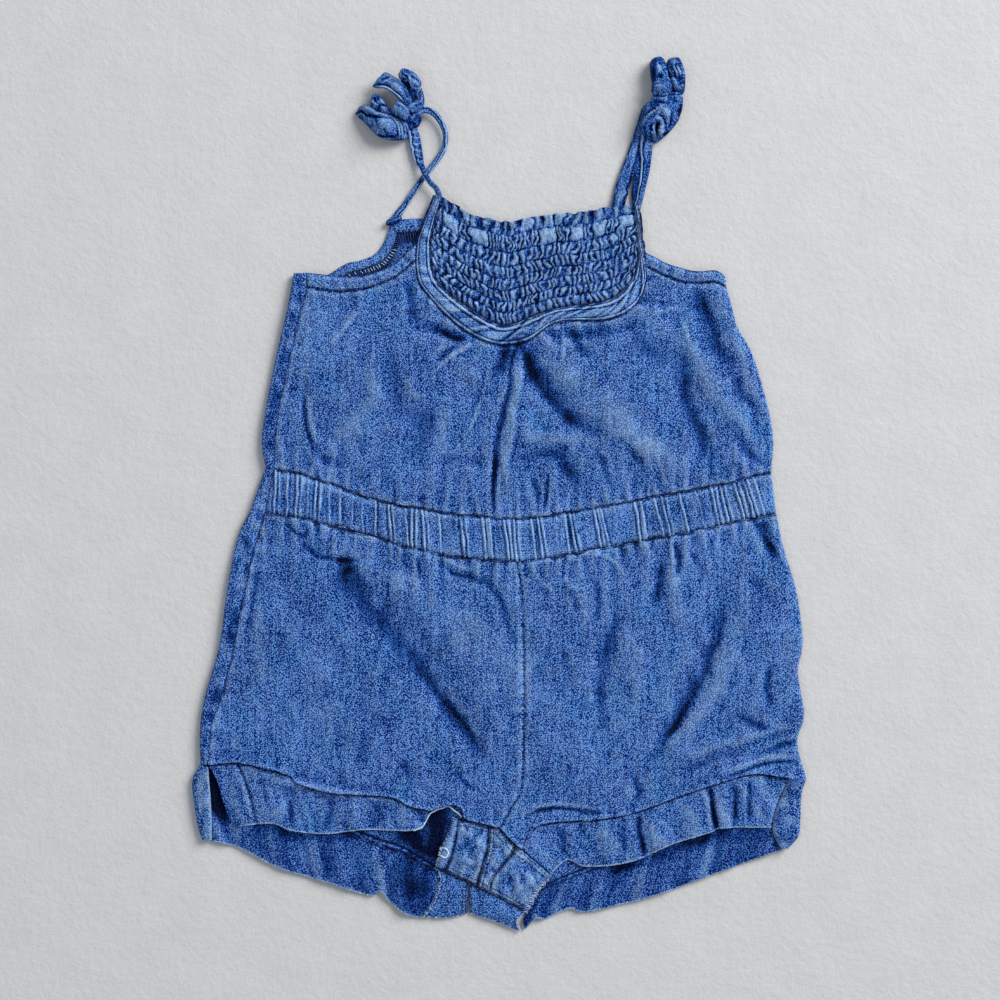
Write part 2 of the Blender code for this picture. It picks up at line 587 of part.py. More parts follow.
def uneven_gathers(count, seed, depth):
    """Ridges and dips of uneven width along a band: their places from 0 to 1 and their rises."""
    dice = random.Random(seed)
    widths = [dice.uniform(0.6, 1.5) for _ in range(count)]
    places, rises = [0.0], [0.0]
    for width in widths:
        share = width / sum(widths)
        places += [places[-1] + 0.5 * share, places[-1] + share]
        rises += [depth * dice.uniform(0.7, 1.1), -depth * dice.uniform(0.2, 0.5)]
    places[-1] = 1.0
    return places, rises


def build_bodice():
    left_arm, bowl, right_arm = (smooth_curve(points) for points in
                                 (ARM_LEFT_STITCH, YOKE_BOWL, ARM_RIGHT_STITCH))
    waist = smooth_curve(WAIST_TOP)
    arm_share, bowl_share = 0.26, 0.53
    top = joined((left_arm, arm_share), (bowl, bowl_share),
                 (right_arm, 1 - arm_share - bowl_share))
    spread = patch(top, waist, smooth_curve(BODICE_SIDE_SEAM), smooth_curve(BODICE_RIGHT))
    across = steps_between(0, arm_share, 6)
    across += steps_between(arm_share, arm_share + bowl_share, 20)[1:]
    across += steps_between(arm_share + bowl_share, ROLL_START, 5)[1:]
    along = [0, 0.06, 0.15, 0.25, 0.36, 0.47, 0.58, 0.69, 0.8, 0.91, 1]
    front_piece("front_bodice", spread, across, along, "tfl", roll=True)


def build_armhole_bands():
    low = smooth_curve(ARM_LEFT_STITCH)
    spread = patch(smooth_curve(ARM_LEFT_EDGE), low,
                   straight(ARM_LEFT_EDGE[0], ARM_LEFT_STITCH[0]),
                   straight(ARM_LEFT_EDGE[-1], ARM_LEFT_STITCH[-1]))
    across = steps_between(0, 1, 10)
    front_piece("front_armhole_band_left", spread, across, [0, 0.5, 1], "flr",
                relief=band_crown, lift=0.1)
    spread = patch(smooth_curve(ARM_RIGHT_EDGE), smooth_curve(ARM_RIGHT_STITCH),
                   straight(ARM_RIGHT_EDGE[0], ARM_RIGHT_STITCH[0]),
                   straight(ARM_RIGHT_EDGE[-1], ARM_RIGHT_STITCH[-1]))
    across = steps_between(0, 0.93, 8)
    front_piece("front_armhole_band_right", spread, across, [0, 0.5, 1], "fl",
                relief=band_crown, lift=0.1, roll=True)


def band_crown(s, t):
    """A turned hem is thickest along its middle."""
    return BAND_CROWN * math.sin(math.pi * t)


def build_yoke_band():
    outer_edge = joined((smooth_curve(YOKE_SIDE_LEFT), 0.16), (smooth_curve(YOKE_BOWL), 0.70),
                        (smooth_curve(YOKE_SIDE_RIGHT), 0.14))
    inner_edge = joined((smooth_curve(PANEL_SIDE_LEFT), 0.18), (smooth_curve(PANEL_BOWL), 0.66),
                        (reverse(smooth_curve(PANEL_SIDE_RIGHT[::-1])), 0.16))
    spread = patch(inner_edge, outer_edge,
                   straight(PANEL_SIDE_LEFT[0], YOKE_SIDE_LEFT[0]),
                   straight(PANEL_SIDE_RIGHT[-1], YOKE_SIDE_RIGHT[-1]))
    across = steps_between(0, 0.16, 7) + steps_between(0.16, 0.86, 40)[1:]
    across += steps_between(0.86, 1, 6)[1:]
    front_piece("yoke_band", spread, across, [0, 0.35, 0.7, 1], "tf", relief=yoke_band_crown,
                lift=0.5, wall_depth=1.8, gap=0.4)


def yoke_band_crown(s, t):
    return YOKE_BAND_CROWN * math.sin(math.pi * t)


def build_smocked_panel():
    left = smooth_curve(PANEL_SIDE_LEFT)
    right = smooth_curve(PANEL_SIDE_RIGHT[::-1])
    spread = patch(smooth_curve(PANEL_TOP), smooth_curve(PANEL_BOWL), left, right)
    across = steps_between(0, 1, SMOCK_COLUMNS)
    along = [0.0]
    dice = random.Random(11)
    rises = [[FRILL_RISE * dice.uniform(0.3, 1.0) for _ in across]]
    for row, (start, end) in enumerate(zip(SHIRRING, SHIRRING[1:])):
        along.append((start + end) / 2)
        pleats = []
        for column in range(SMOCK_COLUMNS + 1):
            ridge = (column + row) % 2
            pleats.append(SMOCK_RISE * (0.8 if ridge else 0.25) * dice.uniform(0.75, 1.2))
        rises.append(pleats)
        along.append(end)
        rises.append([SMOCK_DIP * dice.uniform(0.4, 1.0) for _ in across])
    outer = []
    for t, row_rises in zip(along, rises):
        row = [at_height(spread(s, t), SMOCK_LEVEL + rise) for s, rise in zip(across, row_rises)]
        outer.append(row)
    clear_seams(outer, None, SMOCK_COLUMNS, "flr", HALF_GAP)
    slab("yoke_smocked", outer, SMOCK_UNDERSIDE, CHAMBRAY)


def build_waistband():
    low = joined((smooth_curve(WAIST_BOTTOM_LEFT), 0.49), (smooth_curve(WAIST_BOTTOM_RIGHT), 0.51))
    spread = patch(smooth_curve(WAIST_TOP), low,
                   straight(WAIST_TOP[0], WAIST_BOTTOM_LEFT[0]),
                   straight(WAIST_TOP[-1], WAIST_BOTTOM_RIGHT[-1]))
    places, rises = uneven_gathers(WAIST_GATHERS, seed=5, depth=0.8)
    across = [ROLL_START * place for place in places]

    def gathers(s, t):
        return np.interp(s, across, rises) * (0.3 + 0.7 * math.sin(math.pi * t))

    front_piece("front_waistband", spread, across, [0, 0.3, 0.7, 1], "tfl", relief=gathers,
                lift=0.6, roll=True)


def build_front_shorts():
    hem_share = 0.72
    foot = joined((smooth_curve(HEM_LEFT), hem_share), (smooth_curve(CROTCH_LEFT), 1 - hem_share))
    spread = patch(smooth_curve(WAIST_BOTTOM_LEFT), foot, smooth_curve(SHORTS_SIDE_SEAM),
                   smooth_curve(CENTRE_FRONT))
    across = steps_between(0, hem_share, 12) + steps_between(hem_share, 1, 5)[1:]
    front_piece("front_shorts_left", spread, across, SHORTS_ROWS, "tflr")
    crotch_share = 0.1
    foot = joined((smooth_curve(CROTCH_RIGHT), crotch_share),
                  (smooth_curve(HEM_RIGHT), 1 - crotch_share))
    spread = patch(smooth_curve(WAIST_BOTTOM_RIGHT), foot, smooth_curve(CENTRE_FRONT),
                   smooth_curve(SHORTS_RIGHT))
    across = [0] + [crotch_share + (1 - crotch_share) * share for share in HEM_RIGHT_STATIONS]
    front_piece("front_shorts_right", spread, across, SHORTS_ROWS, "tfl", roll=True)


def build_front_cuffs():
    facing = smooth_curve(CUFF_LEFT_FACING)
    hem = smooth_curve(HEM_LEFT)
    facing_share = 0.125
    spread = patch(part_of(hem, 0, facing_share),
                   straight(CUFF_LEFT_START[-1], CUFF_LEFT_FACING[-1]),
                   smooth_curve(CUFF_LEFT_START),
                   with_start(facing, hem(facing_share)))
    front_piece("cuff_facing_left", spread, [0, 0.5, 1], steps_between(0, 1, 5), "tr",
                lift=-0.5, gap=0.3)
    spread = patch(part_of(hem, facing_share, 1), smooth_curve(CUFF_LEFT_EDGE),
                   with_start(facing, hem(facing_share)),
                   straight(HEM_LEFT[-1], CUFF_LEFT_EDGE[-1]))
    front_piece("front_cuff_left", spread, steps_between(0, 1, 21), [0, 0.35, 0.7, 1], "tl",
                relief=cuff_waves, lift=-0.5, gap=0.6)
    hem = smooth_curve(HEM_RIGHT)
    seam_share = 0.95
    spread = patch(part_of(hem, 0, seam_share), smooth_curve(CUFF_RIGHT_EDGE),
                   straight(HEM_RIGHT[0], CUFF_RIGHT_EDGE[0]),
                   with_start(smooth_curve(CUFF_RIGHT_SEAM), hem(seam_share)))
    across = []
    for start, end in zip(HEM_RIGHT_STATIONS, HEM_RIGHT_STATIONS[1:]):
        across += [start / seam_share, (start + end) / 2 / seam_share]
    across = [share for share in across if share < 0.99] + [1]
    front_piece("front_cuff_right", spread, across, [0, 0.35, 0.7, 1], "tlr",
                relief=cuff_pleats, lift=-0.5, gap=0.6)


def with_start(curve, start):
    """The curve with its first end moved to a point, and the rest drawn after it."""
    shift = np.array(start) - curve(0.0)
    return lambda u: curve(u) + shift * (1 - u)


def cuff_waves(s, t):
    return 0.35 * t * math.sin(2 * math.pi * (3.5 * s + 0.6 * math.sin(5 * s)))


def cuff_pleats(s, t):
    level = 0.3 * t * math.sin(2 * math.pi * 4 * s)
    for place, width, depth in CUFF_PLEATS:
        away = (s - place) / width
        level -= depth * math.exp(-away * away) * (0.4 + 0.6 * t)
    return level


def build_back_bodice():
    arm_share, neck_share = 0.33, 0.40
    top = joined((smooth_curve(BACK_ARM_LEFT_STITCH), arm_share),
                 (smooth_curve(BACK_NECK_STITCH), neck_share),
                 (smooth_curve(BACK_ARM_RIGHT_STITCH), 1 - arm_share - neck_share))
    fold = smooth_curve([BACK_ARM_LEFT_STITCH[0]] + BODICE_FOLD[1:])
    right = moved(smooth_curve(BODICE_RIGHT), -0.8, 0)
    waist = joined((straight(BODICE_FOLD[-1], WAIST_TOP[0]), 0.02),
                   (smooth_curve(WAIST_TOP), 0.98))
    spread = patch(top, waist, fold, right)
    across = [0.035] + steps_between(0, arm_share, 7)[1:]
    across += steps_between(arm_share, arm_share + neck_share, 7)[1:]
    across += steps_between(arm_share + neck_share, 1, 6)[1:]
    back_piece("back_bodice", spread, across[::-1], steps_between(0, 1, 7), "tf", fold=fold,
               seam=smooth_curve(BODICE_SIDE_SEAM))


def moved(curve, x, y):
    return lambda u: curve(u) + np.array([x, y])


def build_back_bands():
    fold = straight(BACK_ARM_LEFT[0], BACK_ARM_LEFT_STITCH[0])
    spread = patch(smooth_curve(BACK_ARM_LEFT), smooth_curve(BACK_ARM_LEFT_STITCH), fold,
                   straight(BACK_ARM_LEFT[-1], BACK_ARM_LEFT_STITCH[-1]))
    across = steps_between(1, 0, 7)[:-1] + [0.08]
    back_piece("back_armhole_band_left", spread, across, [0, 0.5, 1], "fl", relief=band_crown,
               fold=fold, seam=straight(ARM_LEFT_EDGE[0], ARM_LEFT_STITCH[0]), gap=0.5)
    bands = [
        ("back_neckband", BACK_NECK, BACK_NECK_STITCH, 7, "flr"),
        ("back_armhole_band_right", BACK_ARM_RIGHT, BACK_ARM_RIGHT_STITCH, 6, "fl"),
    ]
    for name, edge, stitch, count, sides in bands:
        spread = patch(smooth_curve(edge), smooth_curve(stitch), straight(edge[0], stitch[0]),
                       straight(edge[-1], stitch[-1]))
        back_piece(name, spread, steps_between(0, 1, count), [0, 0.5, 1], sides,
                   relief=band_crown, gap=0.5)


def build_back_waistband():
    fold = straight(BODICE_FOLD[-1], SHORTS_FOLD[0])
    seam = straight(WAIST_TOP[0], WAIST_BOTTOM_LEFT[0])
    right = moved(straight(WAIST_TOP[-1], WAIST_BOTTOM_RIGHT[-1]), -0.8, 0)
    top = joined((straight(BODICE_FOLD[-1], WAIST_TOP[0]), 0.02), (smooth_curve(WAIST_TOP), 0.98))
    low = joined((straight(SHORTS_FOLD[0], WAIST_BOTTOM_LEFT[0]), 0.02),
                 (smooth_curve(WAIST_BOTTOM_LEFT), 0.48), (smooth_curve(WAIST_BOTTOM_RIGHT), 0.5))
    spread = patch(top, low, fold, right)
    across = [1 - 0.965 * share for share in steps_between(0, 1, 14)]
    back_piece("back_waistband", spread, across, [0, 0.33, 0.67, 1], "tf", fold=fold, seam=seam)


def build_back_shorts():
    fold = smooth_curve(SHORTS_FOLD)
    middle = smooth_curve(CENTRE_BACK)
    top = joined((straight(SHORTS_FOLD[0], WAIST_BOTTOM_LEFT[0]), 0.05),
                 (smooth_curve(WAIST_BOTTOM_LEFT), 0.95))
    foot = joined((smooth_curve(BACK_HEM_LEFT), 0.75),
                  (straight(BACK_HEM_LEFT[-1], CENTRE_BACK[-1]), 0.25))
    spread = patch(top, foot, fold, middle)
    across = [1, 0.875, 0.75, 0.675, 0.6, 0.45, 0.3, 0.15, 0.05]
    back_piece("back_shorts_left", spread, across, SHORTS_ROWS, "tfl", fold=fold,
               seam=smooth_curve(SHORTS_SIDE_SEAM))
    side = moved(smooth_curve(SHORTS_RIGHT), -0.8, 0)
    right = joined((part_of(side, 0, 0.93), 0.93), (straight(side(0.93), BACK_HEM_RIGHT[-1]), 0.07))
    foot = joined((straight(CENTRE_BACK[-1], BACK_HEM_RIGHT[0]), 0.14),
                  (smooth_curve(BACK_HEM_RIGHT), 0.86))
    spread = patch(smooth_curve(WAIST_BOTTOM_RIGHT), foot, middle, right)
    across = [0, 0.14, 0.3, 0.5, 0.7, 0.85, 1]
    back_piece("back_shorts_right", spread, across, steps_between(0, 1, 8), "tfl")


def build_back_cuffs():
    fold = smooth_curve(CUFF_LEFT_FOLD)
    end = [(-34.1, -194.6), (-32.3, -200.1), (-33.7, -208.0), (-38.2, -216.5), (-41.3, -220.2)]
    spread = patch(smooth_curve(BACK_HEM_LEFT), smooth_curve(BACK_EDGE_LEFT), fold,
                   with_start(smooth_curve(end), BACK_HEM_LEFT[-1]))
    across = [1 - 0.965 * share for share in steps_between(0, 1, 20)]
    back_piece("back_cuff_left", spread, across, [0, 0.25, 0.5, 0.75, 1], "t",
               relief=cuff_inside_waves, fold=fold, seam=smooth_curve(CUFF_LEFT_ROLL), gap=0.4)
    fold = smooth_curve(CUFF_RIGHT_FOLD)
    top = reverse(joined((smooth_curve(BACK_HEM_RIGHT), 0.96),
                         (straight(BACK_HEM_RIGHT[-1], CUFF_RIGHT_FOLD[0]), 0.04)))
    spread = patch(top, reverse(smooth_curve(BACK_EDGE_RIGHT)), fold,
                   smooth_curve(BACK_CUFF_RIGHT_START))
    back_piece("back_cuff_right", spread, across, [0, 0.25, 0.5, 0.75, 1], "t",
               relief=cuff_inside_waves, fold=fold, seam=smooth_curve(CUFF_RIGHT_WRAP_SEAM),
               gap=0.4)


def cuff_inside_waves(s, t):
    return 0.5 * t * (1 + math.sin(2 * math.pi * 6 * s)) * 0.5 * min(1.0, 8 * s)


def build_gusset():
    parts = [
        ("gusset_edge_left", straight(GUSSET_LEFT_EDGE[0], GUSSET_STRIP_LINE[0]),
         smooth_curve(GUSSET_FOOT_EDGE), GUSSET_LEFT_EDGE, GUSSET_STRIP_LINE, 2),
        ("gusset_left", smooth_curve(GUSSET_TOP_LEFT), smooth_curve(GUSSET_FOOT_LEFT),
         GUSSET_STRIP_LINE, GUSSET_SEAM_LEFT, 4),
        ("gusset_middle", smooth_curve(GUSSET_TOP_MIDDLE), smooth_curve(GUSSET_FOOT_MIDDLE),
         GUSSET_SEAM_LEFT, GUSSET_SEAM_RIGHT, 3),
        ("gusset_right", smooth_curve(GUSSET_TOP_RIGHT), smooth_curve(GUSSET_FOOT_RIGHT),
         GUSSET_SEAM_RIGHT, GUSSET_RIGHT_EDGE, 4),
    ]
    for name, top, foot, left, right, count in parts:
        spread = patch(top, foot, smooth_curve(left), smooth_curve(right))
        front_piece(name, spread, steps_between(0, 1, count), steps_between(0, 1, 4), "tflr",
                    relief=gusset_puff, lift=-1.0)


def gusset_puff(s, t):
    return 0.9 * math.sin(math.pi * t) * math.sin(math.pi * s)


def build_cuff_ends():
    spread = patch(smooth_curve(CUFF_END_A_TOP), smooth_curve(CUFF_END_A_FOOT),
                   smooth_curve(CUFF_END_A_LEFT), smooth_curve(CUFF_END_A_RIGHT))
    steps = steps_between(0, 1, 4)
    back_piece("back_cuff_end_left", spread, steps, steps, "", relief=cuff_end_rise)
    spread = patch(smooth_curve(CUFF_END_B_TOP), smooth_curve(CUFF_END_B_FOOT),
                   straight(CUFF_END_B_TOP[0], CUFF_END_B_FOOT[0]),
                   smooth_curve(CUFF_END_B_RIGHT))
    back_piece("back_cuff_end_right", spread, steps, steps, "", relief=cuff_end_rise)


def cuff_end_rise(s, t):
    return 0.5 + 0.9 * math.sin(math.pi * t)


def ribbon(name, rows, thickness, count):
    """A flat tube of cloth along a route, with its own width and slope at each row."""
    route = smooth_curve(rows)
    outer, inner = [], []
    for u in steps_between(0, 1, count):
        x, y, level, width, compass, slope = route(u)
        ahead, behind = route(min(1, u + 0.01)), route(max(0, u - 0.01))
        travel = (ahead - behind)[:3]
        travel /= np.linalg.norm(travel)
        compass, slope = math.radians(compass), math.radians(slope)
        across = np.array([math.cos(compass) * math.cos(slope),
                           math.sin(compass) * math.cos(slope), math.sin(slope)])
        across -= travel * np.dot(across, travel)
        across /= np.linalg.norm(across)
        square = np.cross(across, travel)
        middle = np.array([x, y, level])
        outer.append([middle + across * width * share + square * thickness * 0.5 * swell
                      for share, swell in ((-0.5, 0.6), (0, 1.1), (0.5, 0.6))])
        inner.append([middle + across * width * share - square * thickness * 0.5 * swell
                      for share, swell in ((-0.5, 0.6), (0, 1.1), (0.5, 0.6))])
    return wall(name, outer, inner, CHAMBRAY_WORN)


def strap(name, rows, count):
    """A shoulder tie: its width lies square to its route and turns by its twist."""
    route = smooth_curve([row[:3] for row in rows])
    turned = []
    for step, (x, y, level, width, twist) in enumerate(rows):
        u = step / (len(rows) - 1)
        heading = (route(min(1, u + 0.05)) - route(max(0, u - 0.05)))[:2]
        compass = math.degrees(math.atan2(heading[1], heading[0])) - 90
        turned.append((x, y, level, width, compass, twist))
    return ribbon(name, turned, STRAP_THICKNESS, count)


def knot(name, sizes):
    """The lump of cloth wrapped round the middle of a bow."""
    x, y, level, half_x, half_y, half_z, turn = sizes
    builder = bmesh.new()
    bmesh.ops.create_icosphere(builder, subdivisions=3, radius=1.0)
    turn = math.radians(turn)
    for vertex in builder.verts:
        direction = np.array(vertex.co)
        fullness = (np.abs(direction) ** 3).sum() ** (-1 / 3)
        direction *= fullness
        crease = 1 - 0.08 * (1 + math.cos(9 * direction[0] + 3 * direction[2])) / 2
        across, upward = direction[0] * half_x * crease, direction[1] * half_y * crease
        vertex.co = (
            (x + across * math.cos(turn) - upward * math.sin(turn)) * MM,
            (y + across * math.sin(turn) + upward * math.cos(turn)) * MM,
            (level + direction[2] * half_z * crease) * MM,
        )
    return add_object(name, builder, CHAMBRAY_WORN)


def build_ties():
    strap("strap_left_front", STRAP_LEFT_FRONT, 14)
    strap("strap_left_back", STRAP_LEFT_BACK, 20)
    strap("strap_right_front", STRAP_RIGHT_FRONT, 8)
    strap("strap_right_back", STRAP_RIGHT_BACK, 8)
    knot("bow_left_knot", KNOT_LEFT)
    ribbon("bow_left_loop_lower", BOW_LEFT_LOOP_LOWER, BOW_THICKNESS, 16)
    ribbon("bow_left_loop_upper", BOW_LEFT_LOOP_UPPER, BOW_THICKNESS, 14)
    ribbon("bow_left_tail_upper", BOW_LEFT_TAIL_UPPER, BOW_THICKNESS, 7)
    ribbon("bow_left_tail_small", BOW_LEFT_TAIL_SMALL, BOW_THICKNESS, 7)
    knot("bow_right_knot", KNOT_RIGHT)
    ribbon("bow_right_ear_left", BOW_RIGHT_EAR_LEFT, BOW_THICKNESS, 12)
    ribbon("bow_right_ear_right", BOW_RIGHT_EAR_RIGHT, BOW_THICKNESS, 12)
    ribbon("bow_right_loop_lower", BOW_RIGHT_LOOP_LOWER, BOW_THICKNESS, 18)


def clear_scene():
    for old in list(bpy.data.objects):
        bpy.data.objects.remove(old, do_unlink=True)


def build_romper():
    build_back_bodice()
    build_back_bands()
    build_back_waistband()
    build_back_shorts()
    build_back_cuffs()
    build_bodice()
    build_armhole_bands()
    build_yoke_band()
    build_smocked_panel()
    build_waistband()
    build_front_shorts()
    build_front_cuffs()
    build_gusset()
    build_cuff_ends()
    build_ties()


clear_scene()
build_romper()
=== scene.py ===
import math

import bmesh
import bpy
import numpy as np
from mathutils.bvhtree import BVHTree
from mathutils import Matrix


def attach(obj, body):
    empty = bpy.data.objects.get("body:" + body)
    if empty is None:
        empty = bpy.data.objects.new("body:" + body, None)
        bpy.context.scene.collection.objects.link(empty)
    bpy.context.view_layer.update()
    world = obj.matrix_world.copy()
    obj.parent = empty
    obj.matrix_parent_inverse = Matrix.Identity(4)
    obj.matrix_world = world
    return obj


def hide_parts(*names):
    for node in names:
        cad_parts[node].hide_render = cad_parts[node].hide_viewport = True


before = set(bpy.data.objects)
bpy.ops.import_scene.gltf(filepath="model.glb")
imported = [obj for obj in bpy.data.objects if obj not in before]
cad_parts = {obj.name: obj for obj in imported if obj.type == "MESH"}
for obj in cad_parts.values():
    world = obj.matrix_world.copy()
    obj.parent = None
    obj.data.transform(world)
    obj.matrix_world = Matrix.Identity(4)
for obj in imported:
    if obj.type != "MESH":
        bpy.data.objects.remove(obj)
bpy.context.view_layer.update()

# Camera, light and floor. The camera looks straight down on the garment. A large soft
# light stands at its upper right, and a pale fleece cloth lies under it.
MM = 0.001
VIEW_CENTRE = (-0.78, -3.38)     # where the camera looks, in millimetres
VIEW_WIDTH = 0.5205              # what the camera sees across at floor level, in metres
CAMERA_HEIGHT = 1.05
SENSOR_WIDTH = 36.0
FLEECE = (0.622, 0.619, 0.620)

scene = bpy.context.scene
scene.view_settings.view_transform = "Standard"
camera_data = bpy.data.cameras.new("camera")
camera_data.sensor_width = SENSOR_WIDTH
camera_data.lens = SENSOR_WIDTH * CAMERA_HEIGHT / VIEW_WIDTH
camera = bpy.data.objects.new("camera", camera_data)
camera.location = (VIEW_CENTRE[0] * MM, VIEW_CENTRE[1] * MM, CAMERA_HEIGHT)
scene.collection.objects.link(camera)
scene.camera = camera


def area_light(name, place, size, watts, colour):
    """A square soft light that points at the middle of the garment."""
    data = bpy.data.lights.new(name, "AREA")
    data.shape = "SQUARE"
    data.size = size
    data.energy = watts
    data.color = colour
    light = bpy.data.objects.new(name, data)
    light.location = place
    x, y, height = place
    light.rotation_euler = (math.atan2(math.hypot(x, y), height), 0, math.atan2(x, -y))
    scene.collection.objects.link(light)


area_light("key_light", (2.4, 1.95, 2.05), 2.0, 170.0, (1.0, 0.985, 0.96))
area_light("fill_light", (-0.9, -0.5, 1.5), 1.4, 4.5, (0.9, 0.95, 1.0))
world = bpy.data.worlds.new("soft_daylight")
scene.world = world
world.use_nodes = True
world.node_tree.nodes["Background"].inputs["Color"].default_value = (0.84, 0.91, 1.0, 1.0)
world.node_tree.nodes["Background"].inputs["Strength"].default_value = 0.33


def new_material(name, roughness):
    """A Principled material and its tree, nodes and shader."""
    material = bpy.data.materials.new(name)
    material.use_nodes = True
    tree = material.node_tree
    shader = tree.nodes["Principled BSDF"]
    shader.inputs["Roughness"].default_value = roughness
    shader.inputs["Specular IOR Level"].default_value = 0.12
    return material, tree, shader


def node(tree, kind, **values):
    """A node of the tree, with its settings and inputs set or linked. _0 is its first input."""
    made = tree.nodes.new(kind)
    for name, value in values.items():
        if hasattr(made, name):
            setattr(made, name, value)
            continue
        socket = made.inputs[int(name[1:])] if name[1:].isdigit() else made.inputs[name]
        if isinstance(value, bpy.types.NodeSocket):
            tree.links.new(value, socket)
        else:
            socket.default_value = value
    return made


def reckon(tree, operation, first, second=0.0, third=0.0, clamp=False):
    """The output of a Math node."""
    made = node(tree, "ShaderNodeMath", operation=operation, use_clamp=clamp,
                _0=first, _1=second, _2=third)
    return made.outputs[0]


def blend_colour(tree, share, first, second, kind="MIX"):
    """The output of a Mix node between two colours."""
    made = tree.nodes.new("ShaderNodeMix")
    made.data_type = "RGBA"
    made.blend_type = kind
    for socket, value in ((made.inputs[0], share), (made.inputs[6], first),
                          (made.inputs[7], second)):
        if isinstance(value, bpy.types.NodeSocket):
            tree.links.new(value, socket)
        else:
            socket.default_value = value
    return made.outputs[2]


def noise(tree, coordinates, scales, detail, roughness=0.55):
    """Noise over coordinates in metres, with scales in waves per metre, centred on nought."""
    stretched = node(tree, "ShaderNodeVectorMath", operation="MULTIPLY", _0=coordinates,
                     _1=scales)
    made = node(tree, "ShaderNodeTexNoise", _0=stretched.outputs[0])
    made.inputs["Scale"].default_value = 1.0
    made.inputs["Detail"].default_value = detail
    made.inputs["Roughness"].default_value = roughness
    return reckon(tree, "SUBTRACT", made.outputs["Fac"], 0.5)


bpy.ops.mesh.primitive_grid_add(x_subdivisions=4, y_subdivisions=4, size=3.0)
floor = bpy.context.object
floor.name = "floor"
fleece, tree, shader = new_material("fleece", 0.95)
place = tree.nodes.new("ShaderNodeTexCoord").outputs["Object"]
fuzz = noise(tree, place, (260.0, 260.0, 260.0), detail=5.0, roughness=0.7)
clumps = noise(tree, place, (45.0, 45.0, 45.0), detail=2.0)
pile = reckon(tree, "MULTIPLY_ADD", clumps, 0.8, fuzz)
shade = reckon(tree, "MULTIPLY_ADD", pile, 0.42, 0.5, clamp=True)
deep_fleece, pale_fleece = (tuple(level * channel for channel in FLEECE) + (1.0,)
                            for level in (0.84, 1.16))
tree.links.new(blend_colour(tree, shade, deep_fleece, pale_fleece), shader.inputs["Base Color"])
bump = node(tree, "ShaderNodeBump", Height=pile, Strength=0.35, Distance=0.0015)
tree.links.new(bump.outputs[0], shader.inputs["Normal"])
floor.data.materials.append(fleece)

